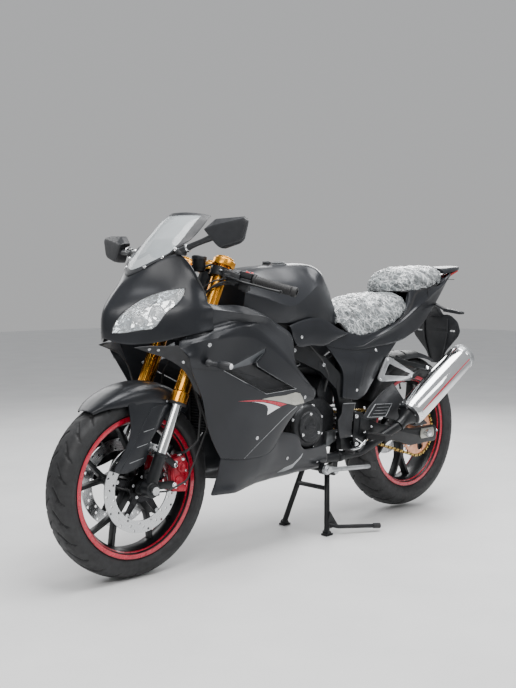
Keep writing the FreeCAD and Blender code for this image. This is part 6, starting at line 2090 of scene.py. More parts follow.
# leads between the bars, the head and the nose
pc = Piece()
for s in (-1, 1):
    for k, (dz, r) in enumerate(((0, 3.4), (-8, 2.6), (6, 2.6))):
        p0 = Vector(bar_point(0.22, s, (-14, 0, -14 + dz)))
        p1 = Vector((250 - 6 * k, s * (128 - 8 * k), 928 + dz))
        p2 = Vector((232 - 4 * k, s * (84 - 10 * k), 880))
        p3 = Vector((262, s * (48 - 8 * k), 800))
        pc.sweep(spline([p0, p1, p2, p3], [8, 8, 8]), r, 10)
pc.make("bar_leads", "fork", ["rubber_look"])

# rubber edge behind the nose, and the stays of the cockpit
NOSE_REAR = [(146, 209, 882), (141, 200, 912), (122, 192, 950)]
pc = Piece()
for s in (-1, 1):
    line = spline([Vector((x + 1, s * (y - 1.5), z)) for x, y, z in NOSE_REAR], [6] * 2)
    pc.sweep(line, 3.2, 8)
    stay = [Vector((116, s * 106, 1018)), Vector((124, s * 94, 1024)), Vector((132, s * 82, 1032)),
            Vector((142, s * 68, 1041))]
    pc.sweep(spline(stay, [6, 6, 6]), 6.0, 12)
pc.make("nose_edge_rubber", "chassis", ["rubber_look"])

# inner panels beside the fork
DUCT = [
    [(-50, 96, 738), (-12, 118, 742), (30, 140, 741), (62, 164, 742), (96, 188, 740)],
    [(-4, 104, 722), (24, 120, 724), (52, 138, 722), (78, 158, 718), (106, 184, 706)],
    [(52, 126, 700), (72, 140, 694), (88, 152, 688), (102, 166, 680), (122, 180, 662)],
    [(100, 148, 664), (112, 156, 654), (120, 162, 644), (130, 170, 632), (140, 179, 606)],
    [(134, 160, 600), (142, 166, 590), (148, 170, 582), (152, 174, 572), (156, 180, 556)]]
for tag, s in (("left", -1), ("right", 1)):
    f = flip_y if s < 0 else (lambda r: r)
    ob = panel("inner_panel_" + tag, f(DUCT), "chassis", ["black_plastic_look"], (300, 0, 800), 7.0,
               thick=2.5, bevel=0.8, replaces=["inner_fairing"])
    sf = Surf(ob)
    pc = Piece()
    for x, z in ((-4, 732), (22, 729), (92, 690)):
        p, n = sf.side(x, z, s)
        pc.bolt(p, n, 4.0, 2.0)
    pc.make("inner_panel_bolts_" + tag, "chassis", ["steel_look"])

# number-plate carrier: blank plate-less hanger with two pale slots and folded edges
HANGER = [(-70, 800), (-110, 770), (-122, 728), (-112, 706), (-50, 640), (-30, 590), (30, 590),
          (50, 640), (112, 706), (122, 728), (110, 770), (70, 800)]
line = ring_round(HANGER, 14, 4)
hc = Piece()
for s in (-1, 1):
    slot_line = ring_round([(s * 85 - 13, 726.8), (s * 85 - 13, 733.2), (s * 85 + 13, 733.2),
                            (s * 85 + 13, 726.8)], 3, 4)
    hc.prism([(1630, y, z) for y, z in slot_line], (30, 0, 0))
holes = cutter_from("plate_holes", hc)
pc = Piece()
pc.prism([(1640, y, z) for y, z in line], (5, 0, 0))
with_cut(pc, "plate_carrier", "chassis", ["black_plastic_look"], holes, 1.2, ["plate_hanger"])
drop(holes)
pc = Piece()
pc.beam((1641, 0, 796), (1562, 0, 878), 66, 14, taper=0.9)
for s in (-1, 1):
    pc.sweep(spline([Vector((1639, s * 26, 600)), Vector((1637, s * 44, 650)),
                     Vector((1637, s * 58, 706)), Vector((1638, s * 60, 780))], [6] * 3), 3.0, 8)
pc.make("plate_carrier_ribs", "chassis", ["black_plastic_look"], bevel=2.0)
pc = Piece()
for s in (-1, 1):
    slot_line = ring_round([(s * 85 - 14.5, 725.4), (s * 85 - 14.5, 734.6), (s * 85 + 14.5, 734.6),
                            (s * 85 + 14.5, 725.4)], 4, 4)
    pc.prism([(1641.5, y, z) for y, z in slot_line], (2.5, 0, 0))
pc.make("plate_slots", "chassis", ["white_look"])
pc = Piece()
pc.lathe([(0, 0), (0, 20), (3, 22), (6, 22), (9, 20), (9, 0)], (1645, 0, 690), (1646, 0, 690), 32)
pc.make("plate_reflector", "chassis", ["red_lens_look"])


# ================================================================== silencer and pipe
MUFF_A, MUFF_B = Vector((1160, -218, 426)), Vector((1510, -236, 649))
W = (MUFF_B - MUFF_A).normalized()
can, cap, dark, riv, red_line = Piece(), Piece(), Piece(), Piece(), Piece()
can.lathe([(8, 0), (8, 45), (10, 49), (24, 53.4), (27, 54), (29, 53.2), (31, 53.2), (33, 54),
           (373, 54), (375, 53.2), (377, 53.2), (379, 53.8), (381, 52), (381, 0)], MUFF_A, MUFF_B, 72)
cap.lathe([(379.5, 0), (379.5, 53.6), (381, 54.6), (393, 54.4), (403, 52.0), (410, 47.5), (414, 41),
           (415, 34), (414, 27), (409, 24.4), (395, 24), (395, 0)], MUFF_A, MUFF_B, 72)
dark.lathe([(-66, 0), (-66, 19), (-40, 20.5), (-24, 25), (-10, 33), (-3, 38), (-1, 46), (1, 47.4),
            (8, 47.4), (9.5, 46), (9.5, 0)], MUFF_A, MUFF_B, 56)
dark.pipe(MUFF_A - W * 66, MUFF_A - W * 50, 22.5, 18.2, 40)
NA = W.cross(Vector((0, 1, 0))).normalized()
NB = W.cross(NA)


def around(t, ang, r):
    return MUFF_A + W * t + (NA * math.cos(ang) + NB * math.sin(ang)) * r


for k in range(6):
    a = 2 * math.pi * k / 6 + 0.3
    riv.bolt(around(1.0, a, 41.0), tuple(-W), 3.4, 4.0)
for k in range(14):
    a = 2 * math.pi * k / 14
    n = NA * math.cos(a) + NB * math.sin(a)
    riv.lathe([(-1, 0), (-1, 2.6), (0.5, 2.2), (1.2, 1.2), (1.4, 0)], around(20, a, 52.4), around(20, a, 52.4) + n, 10)
    riv.lathe([(-1, 0), (-1, 2.4), (0.4, 2.0), (1.0, 1.1), (1.2, 0)], around(386.5, a, 54.2),
              around(386.5, a, 54.2) + n, 10)
# red line on the outer side, a little below the middle, parallel to the axis
low = Vector((-0.42, -0.88, -0.12))
low = (low - W * low.dot(W)).normalized()
side = W.cross(low).normalized()
verts, faces = [], []
n = 40
for i in range(n + 1):
    t = 34 + (372 - 34) * i / n
    half = 0.062 * (0.55 + 0.45 * math.sin(math.pi * min(1.0, i / n * 1.2)))
    for a in (-half, -half / 3, half / 3, half):
        d = low * math.cos(a) + side * math.sin(a)
        verts.append(MUFF_A + W * t + d * 54.25)
    for a in (half, -half):
        d = low * math.cos(a) + side * math.sin(a)
        verts.append(MUFF_A + W * t + d * 53.2)
for i in range(n):
    for k in range(6):
        j = (k + 1) % 6
        faces.append([i * 6 + k, i * 6 + j, (i + 1) * 6 + j, (i + 1) * 6 + k])
faces.append([5, 4, 3, 2, 1, 0])
faces.append([n * 6 + k for k in range(6)])
red_line.add(verts, faces)
can.make("silencer_can", "chassis", ["chrome_look"], ["silencer"], angle=30)
cap.make("silencer_end_cap", "chassis", ["trim_grey_look"], ["silencer"], angle=40)
dark.make("silencer_flange", "chassis", ["black_metal_look"], angle=40)
riv.make("silencer_rivets", "chassis", ["steel_look"])
red_line.make("silencer_stripe", "chassis", ["red_stripe_look"])

pc = Piece()
pc.tube([(424, -20, 556), (396, -20, 470), (400, -24, 330), (470, -50, 291), (700, -92, 288),
         (860, -118, 291), (975, -136, 299), (1062, -180, 356), tuple(MUFF_A - W * 60)], 18, 60, 28)
pc.pipe((862, -118.3, 291.2), (882, -121.4, 292.6), 20.5, 17.6, 36)
pc.make("exhaust_tube", "chassis", ["black_metal_look"], ["exhaust_pipe"], angle=50)
pc = Piece()
pc.beam((1180, -100, 640), (1364, -189, 586.5), 9, 22, taper=0.9)
pc.beam((1270, -143, 610), (1215, -112, 645), 8, 14)
pc.make("silencer_arm", "chassis", ["black_metal_look"], ["silencer_bracket"], bevel=2.4, seg=3)
pc = Piece()
pc.nut((1330, -179, 598), (0, -1, 0.1), 6.5, 6)
pc.nut((1196, -111, 634), (0, -1, 0), 6.0, 6)
pc.make("silencer_arm_nuts", "chassis", ["chrome_look"])

# ================================================================== engine
COVER_C = (676.0, 425.0)
pc = Piece()
pc.xz([(600, 335), (640, 313), (800, 313), (862, 348), (862, 470), (800, 515), (640, 520),
       (600, 480)], -102, 102)
pc.xz([(470, 486), (640, 486), (640, 508), (478, 508)], -76, 76)
pc.xz([(430, 600), (560, 644), (600, 610), (612, 590), (452, 566)], -74, 74)
pc.xz([(560, 470), (680, 470), (660, 540), (560, 560)], -78, 78)
pc.xz([(700, 508), (790, 508), (776, 548), (712, 548)], -66, 66)
pc.make("engine_case", "chassis", ["black_cast_look"], ["engine"], bevel=5.0, seg=3)
# barrel fins, leaning forward
pc = Piece()
a0, a1 = Vector((555, 0, 500)), Vector((508, 0, 592))
w = (a1 - a0).normalized()
nrm = Vector((w.z, 0, -w.x))
for k in range(9):
    c = a0 + w * (6 + 11.2 * k)
    hx, hy = 72 - abs(k - 4) * 1.0, 76
    o = [c + nrm * u + Vector((0, v, 0)) for u, v in ring_round([(-hx, -hy), (-hx, hy), (hx, hy), (hx, -hy)],
                                                               16, 3)]
    pc.prism(o, tuple(w * 3.4))
pc.prism([a0 + nrm * u + Vector((0, v, 0)) for u, v in ((-58, -62), (-58, 62), (58, 62), (58, -62))],
         tuple(w * 100))
pc.make("barrel_fins", "chassis", ["black_cast_look"], ["engine"], bevel=0.7)
for tag, s, c, r0, y0, y1, y2 in (("left", -1, COVER_C, 82, 101, 150, 158),
                                  ("right", 1, (690, 415), 88, 101, 146, 146.5)):
    pc = Piece()
    p, q = Vector((c[0], s * y0, c[1])), Vector((c[0], s * (y0 + 1), c[1]))
    L, M = y1 - y0, y2 - y0
    pc.lathe([(0, 0), (0, r0), (L * 0.55, r0), (L * 0.62, r0 - 2.5), (L * 0.66, r0 - 1), (L * 0.80, r0 - 2),
              (L - 3, r0 - 7), (L, r0 - 12), (L, 58.5), (L + 0.5, 56), (M - 2.4, 55.2), (M - 0.4, 53),
              (M, 50), (M, 40), (M - 1.6, 38.5), (M - 1.6, 24), (M - 0.6, 22.5), (M - 0.6, 0)], p, q, 80)
    for k in range(8):
        a = math.radians(22 + 45 * k)
        x, z = c[0] + (r0 - 3) * math.cos(a), c[1] + (r0 - 3) * math.sin(a)
        pc.rod((x, s * y0, z), (x, s * (y0 + L * 0.8), z), 8.5, 20)
    for k in range(3):
        a = math.radians(90 + 120 * k)
        x, z = c[0] + 47 * math.cos(a), c[1] + 47 * math.sin(a)
        pc.rod((x, s * y1, z), (x, s * (y2 + 0.6), z), 8.0, 20)
    pc.xz([(c[0] - 26, c[1] - 5), (c[0] + 26, c[1] - 5), (c[0] + 26, c[1] + 5), (c[0] - 26, c[1] + 5)],
          *sorted((s * (y2 - 3), s * (y2 + 1.2))))
    pc.make("engine_cover_" + tag, "chassis", ["black_cast_look"], ["engine"], bevel=0.8, angle=34)
    pc = Piece()
    for k in range(8):
        a = math.radians(22 + 45 * k)
        x, z = c[0] + (r0 - 3) * math.cos(a), c[1] + (r0 - 3) * math.sin(a)
        pc.bolt((x, s * (y0 + L * 0.8), z), (0, s, 0), 4.6, 4.6)
    for k in range(3):
        a = math.radians(90 + 120 * k)
        x, z = c[0] + 47 * math.cos(a), c[1] + 47 * math.sin(a)
        pc.bolt((x, s * (y2 + 0.4), z), (0, s, 0), 4.4, 4.2)
    pc.make("engine_cover_bolts_" + tag, "chassis", ["chrome_look"])
# starter, sprocket cover rim, breather and small fittings behind the covers
pc = Piece()
pc.lathe([(0, 0), (0, 20), (3, 24), (16, 24), (18, 26), (40, 26), (42, 24), (74, 24), (78, 20), (78, 0)],
         (742, -102, 536), (742, -101, 536), 36)
pc.tube([(640, -60, 640), (668, -92, 610), (700, -98, 560), (742, -96, 548)], 6.5, 24, 14)
pc.tube([(600, -40, 660), (636, -84, 650), (664, -104, 640), (700, -100, 668)], 5.0, 18, 12)
pc.xz([(800, 330), (858, 352), (858, 392), (812, 388)], -116, -98)
pc.make("engine_fittings", "chassis", ["dark_alloy_look"], bevel=1.0)
pc = Piece()
pc.lathe([(0, 0), (0, 17), (2, 18), (30, 18), (33, 16), (33, 0)], (640, -108, 590), (640, -109, 590), 32)
pc.tube([(560, -80, 600), (590, -104, 610), (632, -104, 596)], 8, 20, 16)
pc.bolt((640, -141, 590), (0, -1, 0), 5.4, 4)
pc.make("cooling_fittings", "chassis", ["steel_look"])

# air box, battery case and inner guards: dark forms seen through the openings, black plastic that also serves as
# painted shade filling them
pc = Piece()
pc.xz([(420, 800), (392, 740), (470, 660), (640, 664), (820, 620), (850, 560), (884, 560), (884, 700),
       (860, 770), (700, 782), (520, 790)], -92, 92)
pc.xz([(800, 480), (880, 480), (884, 560), (820, 590), (790, 540)], -84, 84)
pc.xz([(900, 700), (900, 560), (960, 540), (966, 690)], -74, 74)
pc.make("inner_boxes", "chassis", ["black_plastic_look"], bevel=7.0, seg=3)
pc = Piece()
for s in (-1, 1):
    pc.tube([(470, s * 100, 700), (560, s * 128, 660), (640, s * 126, 600), (690, s * 118, 540)], 7, 40, 14)
    pc.tube([(700, s * 126, 716), (760, s * 132, 660), (800, s * 130, 600), (790, s * 118, 540)], 4.5, 40, 12)
pc.make("engine_hoses", "chassis", ["rubber_look"])

# radiator: core with tubes and fins between two side tanks
pc = Piece()
for k in range(22):
    z = 426 + 9.7 * k
    pc.box(342, 368, -104, 104, z, z + 2.0)
for k in range(53):
    y = -104 + 4 * k
    pc.box(345, 365, y - 0.3, y + 0.3, 424, 636)
pc.make("radiator_core", "chassis", ["fins_look"], ["radiator"])
pc = Piece()
for s in (-1, 1):
    pc.box(338, 372, *sorted((s * 103, s * 121)), 422, 638)
pc.box(340, 370, -104, 104, 420, 425)
pc.box(340, 370, -104, 104, 635, 640)
pc.make("radiator_tanks", "chassis", ["black_metal_look"], ["radiator"], bevel=4.0, seg=3)

# ================================================================== frame and swingarm
for name_, look in (("main_frame", "black_metal_look"), ("seat_subframe", "black_metal_look"),
                    ("pivot_shafts", "steel_look"), ("rear_axle", "steel_look")):
    paint_node(name_, look)
pc = Piece()
for s in (-1, 1):
    for x, y, z in ((470, 126, 752), (620, 132, 700), (770, 134, 640)):
        pc.bolt((x, s * (y - 0.2), z), (0, s, 0), 6.0, 4.0)
    for x, z in ((905, 478), (926, 462), (934, 400), (925, 338)):
        pc.bolt((x, s * 133.6, z), (0, s, 0), 5.0, 4.0)
    pc.nut((925, s * 149.5, 430), (0, s, 0), 10.5, 8)
pc.make("frame_bolts", "chassis", ["steel_look"])
# shaped guard over the pivot plate, with a pale upper edge
GUARD_PX = [(343.5, 403.7), (355.5, 403.1), (354.4, 409), (352.6, 421), (351.6, 437),
            (340.6, 438.6), (338.9, 430), (338.5, 421), (342.4, 413.5)]
pc, edge = Piece(), Piece()
outl = [at_y(px, py, -160) for px, py in GUARD_PX]
for s in (-1, 1):
    pc.prism([(p.x, s * 154, p.z) for p in outl], (0, s * 5, 0))
    edge.sweep([Vector((p.x, s * 159.4, p.z)) for p in outl[:2]], 1.3, 8)
    edge.sweep([Vector((p.x, s * 159.4, p.z)) for p in outl[1:3]], 0.8, 8)
pc.make("pivot_guards", "chassis", ["black_plastic_look"], bevel=2.4, seg=3)
edge.make("pivot_guard_trim", "chassis", ["trim_grey_look"])

ARM = [(905, 395), (925, 390), (1100, 340), (1290, 284), (1450, 286), (1460, 298), (1462, 318),
       (1458, 342), (1450, 352), (1300, 352), (1180, 372), (1080, 396), (960, 455), (925, 462),
       (905, 452), (900, 440), (900, 410)]
pc = Piece()
for s in (-1, 1):
    pc.xz(ARM, *sorted((s * 112, s * 138)))
pc.box(985, 1035, -130, 130, 373, 419)
ax = Piece()
ax.rod((RA[0], -160, RA[1]), (RA[0], 160, RA[1]), 9.2, 28, 0, 0.1)
ax.rod((925, -160, 430), (925, 160, 430), 9.2, 28, 0, 0.1)
cutter = cutter_from("arm_bores", ax)
with_cut(pc, "swingarm_arms", "chassis", ["black_metal_look"], cutter, 6.0, ["swingarm"], 3)
drop(cutter)
pc, pl = Piece(), Piece()
for s in (-1, 1):
    pl.xz([(1352, 306), (1430, 306), (1436, 316), (1436, 336), (1430, 346), (1352, 346), (1346, 336),
           (1346, 316)], *sorted((s * 138, s * 141.5)))
    for k in range(4):
        x = 1356 + 5 * k
        pl.box(x, x + 0.8, *sorted((s * 141, s * 142)), 337, 343)
    pc.nut((RA[0], s * 150, RA[1]), (0, s, 0), 12.5, 11)
    pc.rod((1436, s * 128, 326), (1476, s * 128, 326), 3.6, 14)
    pc.nut((1462, s * 128, 326), (1, 0, 0), 6.0, 5)
    pc.nut((1469, s * 128, 326), (1, 0, 0), 6.0, 5)
pl.make("adjuster_plates", "chassis", ["champagne_look"], bevel=0.8)
pc.make("adjuster_bolts", "chassis", ["chrome_look"])

# spring and damper
pc, coil = Piece(), Piece()
a, b = Vector((1010, 0, 425)), Vector((985, 0, 700))
w = (b - a).normalized()
n1 = w.cross(Vector((0, 1, 0))).normalized()
n2 = w.cross(n1)
pc.lathe([(0, 0), (0, 12), (22, 12), (26, 17), (40, 17), (44, 29.6), (50, 29.6), (52, 20), (120, 20),
          (122, 9), (222, 9), (224, 29.6), (230, 29.6), (234, 16), (250, 12), (275, 12), (276, 0)], a, b, 36)
pc.rod((1010, -18, 425), (1010, 18, 425), 14, 28)
pc.rod((985, -18, 700), (985, 18, 700), 14, 28)
pc.make("damper", "chassis", ["dark_alloy_look"], ["rear_shock"])
path = []
for k in range(7 * 16 + 1):
    q = 2 * math.pi * k / 16
    path.append(a + w * (52 + 172.0 * k / (7 * 16)) + (n1 * math.cos(q) + n2 * math.sin(q)) * 25.2)
coil.sweep(path, 4.4, 12)
coil.make("damper_spring", "chassis", ["red_metal_look"], ["rear_shock"])

# ================================================================== chain
COUNTER, CHAIN_Y, SPROCKET_R, COUNTER_R = (850.0, 427.0), -93.0, 99.0, 33.0


def loop_points():
    """Closed centre line of the chain round both sprockets, as (x, z)."""
    r1, r2 = SPROCKET_R - 2.0, COUNTER_R - 2.0
    dx, dz = COUNTER[0] - RA[0], COUNTER[1] - RA[1]
    dist, base = math.hypot(dx, dz), math.atan2(dz, dx)
    a = math.acos((r1 - r2) / dist)
    pts = []
    for i in range(61):
        t = base + a + (2 * math.pi - 2 * a) * i / 60
        pts.append((RA[0] + r1 * math.cos(t), RA[1] + r1 * math.sin(t)))
    for i in range(31):
        t = base - a + 2 * a * i / 30
        pts.append((COUNTER[0] + r2 * math.cos(t), COUNTER[1] + r2 * math.sin(t)))
    return pts + [pts[0]]


line = loop_points()
total = sum(math.dist(p, q) for p, q in zip(line, line[1:]))
count = int(round(total / 12.9 / 2)) * 2
pins = []
seg_i, run = 0, 0.0
for k in range(count):
    want = total * k / count
    while run + math.dist(line[seg_i], line[seg_i + 1]) < want:
        run += math.dist(line[seg_i], line[seg_i + 1])
        seg_i += 1
    d = math.dist(line[seg_i], line[seg_i + 1])
    t = (want - run) / d
    pins.append((line[seg_i][0] + (line[seg_i + 1][0] - line[seg_i][0]) * t,
                 line[seg_i][1] + (line[seg_i + 1][1] - line[seg_i][1]) * t))
pc = Piece()
for k in range(count):
    p, q = Vector((pins[k][0], 0, pins[k][1])), Vector((pins[(k + 1) % count][0], 0,
                                                      pins[(k + 1) % count][1]))
    d = (q - p).normalized()
    u = Vector((-d.z, 0, d.x))
    outer = k % 2 == 0
    y_in, y_out = (5.6, 7.4) if outer else (3.7, 5.4)
    plate = []
    for c, sg in ((p, -1), (q, 1)):
        for i in range(5):
            a = math.pi * (i / 4.0 - 0.5)
            plate.append(c + d * (sg * 5.4 * math.cos(a)) + u * (sg * 5.4 * math.sin(a)))
    mid = (p + q) / 2
    plate.insert(5, mid + u * 3.7)
    plate.append(mid - u * 3.7)
    for s in (-1, 1):
        pc.prism([v + Vector((0, CHAIN_Y + s * y_in, 0)) for v in plate], (0, s * (y_out - y_in), 0))
    pc.rod((p.x, CHAIN_Y - 8, p.z), (p.x, CHAIN_Y + 8, p.z), 2.1, 8, 0, 0.3)
    pc.rod((p.x, CHAIN_Y - 3.6, p.z), (p.x, CHAIN_Y + 3.6, p.z), 4.1, 10, 0, 0.2)
pc.make("chain_links", "chassis", ["chain_gold_look"], ["chain"], angle=40)
pc = Piece()
teeth = []
for i in range(14):
    a, wd = 2 * math.pi * i / 14, 2 * math.pi / 14
    for k, r in ((-0.32, -8.0), (-0.12, 0.0), (0.12, 0.0), (0.32, -8.0)):
        teeth.append((COUNTER[0] + (COUNTER_R + r) * math.cos(a + k * wd),
                      COUNTER[1] + (COUNTER_R + r) * math.sin(a + k * wd)))
pc.xz(teeth, CHAIN_Y - 2.6, CHAIN_Y + 2.6)
pc.lathe([(0, 0), (0, 15), (5, 15), (6, 13), (6, 0)], (COUNTER[0], CHAIN_Y - 2.4, COUNTER[1]),
         (COUNTER[0], CHAIN_Y - 3.4, COUNTER[1]), 24)
pc.make("drive_sprocket", "chassis", ["steel_look"], ["chain"], bevel=0.4)

# ================================================================== guards
GUARD = [(956, 418), (1010, 470), (1090, 520), (1153, 548), (1217, 480), (1383, 365), (1300, 362),
         (1100, 420)]
line = ring_round(GUARD, 12, 4)
pc, trim2, fix2 = Piece(), Piece(), Piece()
pc.prism([(x, -152, z) for x, z in line], (0, 5.5, 0))
VENT = [(1010, 452), (1045, 492), (1122, 494), (1096, 452)]
vent = [at_y(px, py, -153) for px, py in ((367.2, 417.4), (375.2, 404.4), (391.8, 403.6), (385.6, 416.2))]
trim2.sweep([Vector((p.x, -153.4, p.z)) for p in vent + vent[:2]], 1.9, 8)
cen = sum(vent, Vector((0, 0, 0))) / 4
for t in (0.26, 0.5, 0.74):
    a, b = vent[0].lerp(vent[1], t), vent[3].lerp(vent[2], t)
    trim2.sweep([Vector((a.lerp(b, 0.22).x, -153.0, a.lerp(b, 0.22).z)),
                 Vector((a.lerp(b, 0.92).x, -153.0, a.lerp(b, 0.92).z))], 1.1, 6)
for px, py in ((364.6, 407.8), (376.8, 433.8), (371.6, 426.6), (358.4, 415.8)):
    p = at_y(px, py, -153)
    fix2.bolt((p.x, -152, p.z), (0, -1, 0), 4.0, 3)
pc.make("chain_guard_plate", "chassis", ["black_plastic_look"], ["chain_guard"], bevel=1.8, seg=3)
trim2.make("chain_guard_trim", "chassis", ["trim_grey_look"])
fix2.make("chain_guard_bolts", "chassis", ["chrome_look"])

HUG = []
for ang in (-62, -51, -40, -29, -18, -7, 4, 14, 24):
    a = math.radians(ang)
    HUG.append([(RA[0] + 330 * math.sin(a), 0, RA[1] + 330 * math.cos(a)),
                (RA[0] + 329 * math.sin(a), 28, RA[1] + 329 * math.cos(a)),
                (RA[0] + 325 * math.sin(a), 54, RA[1] + 325 * math.cos(a)),
                (RA[0] + 317 * math.sin(a), 74, RA[1] + 317 * math.cos(a)),
                (RA[0] + 304 * math.sin(a), 84, RA[1] + 304 * math.cos(a))])
hug = panel("hugger_shell", both(HUG), "chassis", ["black_plastic_look"], (RA[0], 0, RA[1]), 9.0,
            thick=3.0, bevel=0.8, replaces=["rear_hugger"])
hug_surf = Surf(hug)
pc = Piece()
for k in range(5):
    a = math.radians(-48 + 15 * k)
    for s in (-1, 1):
        line = []
        for i in range(9):
            t = i / 8.0
            b = a + math.radians(-5 * t)
            o = mm((RA[0], s * (14 + 56 * t), RA[1]))
            dirv = Vector((math.sin(b), 0, math.cos(b)))
            hit = hug_surf.t.ray_cast(o + dirv * 0.5, -dirv, 0.4)
            if hit[0] is not None:
                line.append(back(hit[0]) + dirv * 0.6)
        if len(line) > 3:
            pc.sweep(line, [1.0 + 1.6 * math.sin(math.pi * i / (len(line) - 1)) for i in range(len(line))], 8)
pc.make("hugger_ribs", "chassis", ["black_plastic_look"])

# ================================================================== rear brake
pc = Piece()
pc.xz([(1312, 382), (1350, 400), (1346, 424), (1338, 438), (1292, 424), (1287, 396)], 75, 88)
pc.xz([(1312, 382), (1350, 400), (1346, 424), (1338, 438), (1292, 424), (1287, 396)], 50, 61.5)
pc.xz([(1330, 436), (1338, 440), (1292, 426), (1290, 418)], 61, 76)
pc.lathe([(0, 0), (0, 15), (3, 14), (3.6, 0)], (1318, 87, 410), (1318, 88, 410), 28)
pc.make("rear_caliper_body", "chassis", ["red_metal_look"], ["rear_caliper"], bevel=2.0, seg=3)
pc = Piece()
for x, z in ((1300, 402), (1336, 424)):
    pc.bolt((x, 87.6, z), (0, 1, 0), 4.2, 4)
pc.tube([(1300, 84, 428), (1270, 100, 440), (1180, 118, 425), (1000, 141, 440), (960, 141, 480)], 3.4, 30, 10)
pc.make("rear_brake_hose", "chassis", ["rubber_look"])

# ================================================================== footrests
pegs, rub, brk, shiny = Piece(), Piece(), Piece(), Piece()
for s in (-1, 1):
    outl = ring_round([(905, 350), (915, 460), (960, 452), (1000, 372), (985, 330), (940, 300)], 12, 4)
    hole = ring_round([(930, 360), (934, 410), (950, 406), (968, 368), (958, 346), (942, 336)], 8, 3)
    brk.prism([(x, s * 152, z) for x, z in outl], (0, s * 7, 0))
    brk.rod((925, s * 138, 336), (925, s * 155, 336), 9, 20)
    brk.rod((985, s * 156, 362), (985, s * 176, 362), 14, 28)
    brk.rod((985, s * 170, 352), (985, s * 170, 374), 6, 16)
    rub.beam((985, s * 176, 362), (985, s * 262, 362), 33, 22)
    for k in range(9):
        y = s * (184 + 8.8 * k)
        rub.box(970, 1000, *sorted((y - 1.8, y + 1.8)), 372, 374.6)
    shiny.bolt((925, s * 158.6, 440), (0, s, 0), 6.2, 5)
    shiny.bolt((925, s * 158.6, 336), (0, s, 0), 6.2, 5)
    shiny.bolt((972, s * 158.6, 376), (0, s, 0), 5.0, 4)
    # toe piece and its link
    shiny.tube([(985, s * 163, 352), (930, s * 168, 322), (860, s * 172, 318)], 4.6, 20, 14)
    rub.rod((860, s * 166, 318), (860, s * 204, 318), 7.2, 20)
    shiny.tube([(955, s * 165, 336), (900, s * 150, 372), (838, s * 140, 392)], 3.2, 16, 12)
    shiny.lathe([(-5, 0), (-5, 6), (5, 6), (5, 0)], (955, s * 165, 336), (955, s * 166, 336), 18)
    shiny.lathe([(-5, 0), (-5, 6), (5, 6), (5, 0)], (838, s * 140, 392), (838, s * 141, 392), 18)
    # heel plate
    brk.prism([(x, s * 160, z) for x, z in ring_round([(936, 372), (946, 436), (992, 418), (1000, 384)], 9, 3)],
              (0, s * 2.5, 0))
brk.make("footrest_plates", "chassis", ["black_metal_look"], ["footpeg_brackets"], bevel=1.6, seg=3)
rub.make("footrest_rubbers", "chassis", ["rubber_look"], ["footpeg_brackets"], bevel=2.0, seg=3)
shiny.make("footrest_links", "chassis", ["chrome_look"])

pc, fix3, peg2 = Piece(), Piece(), Piece()
hc = Piece()
for s in (-1, 1):
    pc.prism([(x, s * 148, z) for x, z in ring_round([(1056, 572), (1106, 648), (1122, 652), (1284, 577), (1262, 550), (1072, 559)], 7, 4)],
             (0, s * 8, 0))
    hc.prism([(x, s * 140, z) for x, z in ring_round([(1092, 582), (1122, 626), (1254, 578), (1240, 568)], 5, 3)],
             (0, s * 30, 0))
    fix3.bolt((1070, s * 155.6, 568), (0, s, 0), 5.0, 4)
    fix3.bolt((1114, s * 155.6, 641), (0, s, 0), 5.0, 4)
    fix3.bolt((1266, s * 155.6, 563), (0, s, 0), 5.0, 4)
    peg2.beam((1270, s * 150, 560), (1312, s * 150, 588), 20, 14, (0, 1, 0))
    peg2.rod((1270, s * 142, 560), (1270, s * 158, 560), 8, 20)
cutter = cutter_from("bracket_windows", hc)
with_cut(pc, "pillion_bracket_plates", "chassis", ["trim_grey_look"], cutter, 1.6,
         ["pillion_brackets"], 3)
drop(cutter)
fix3.make("pillion_bracket_bolts", "chassis", ["chrome_look"])
peg2.make("pillion_pegs", "chassis", ["rubber_look"], bevel=3.0, seg=3)

# ================================================================== stands
STAND_PIVOT = (872.0, 235.0)
SIDE_PIVOT = (752.0, -168.0, 262.0)
pc = Piece()
pc.pipe((STAND_PIVOT[0], -76, STAND_PIVOT[1]), (STAND_PIVOT[0], 76, STAND_PIVOT[1]), 14, 8.4, 32)
for s in (-1, 1):
    pc.rod((872, s * 60, 232), (817, s * 110, 14), 10.5, 28)
    pc.rod((817, s * 96, 10), (817, s * 124, 10), 10, 24)
    pc.box(800, 836, *sorted((s * 96, s * 124)), 0.2, 8)
pc.rod((855, -76, 165), (855, 76, 165), 9, 24)
pc.tube([(826, -104, 40), (856, -132, 30), (1000, -206, 22)], 7.5, 40, 20)
pc.xz(ring_round([(818, 22), (880, 26), (832, 90)], 6, 3), -112, -102)
pc.make("centre_stand_frame", "centre_stand", ["black_metal_look"], ["centre_stand"], bevel=0.8)
pc = Piece()
pc.rod((982, -196.5, 23), (1006, -209, 22), 10, 24)
pc.make("centre_stand_tang", "centre_stand", ["rubber_look"])
side, foot, piv = Piece(), Piece(), Piece()
side.lathe([(158.6 - 168, 0), (158.6 - 168, 17), (172 - 168, 17), (172 - 168, 0)],
           (SIDE_PIVOT[0], -168, SIDE_PIVOT[2]), (SIDE_PIVOT[0], -169, SIDE_PIVOT[2]), 40)
side.sweep(spline([Vector((762, -167.4, 261)), Vector((830, -173, 257)), Vector((900, -180, 253.6)),
                   Vector((972, -187, 250))], [6, 6, 6]), [9.8, 9.6, 9.3, 9.0, 8.8, 8.6] + [8.5] * 13, 22)
side.xz(ring_round([(744, 248), (744, 276), (800, 268), (800, 252)], 8, 4), -171, -160)
foot.beam((966, -187, 250), (1001, -189, 249), 30, 19, (0, 1, 0))
foot.beam((998, -189, 249), (1004, -189.4, 249), 34, 22, (0, 1, 0))
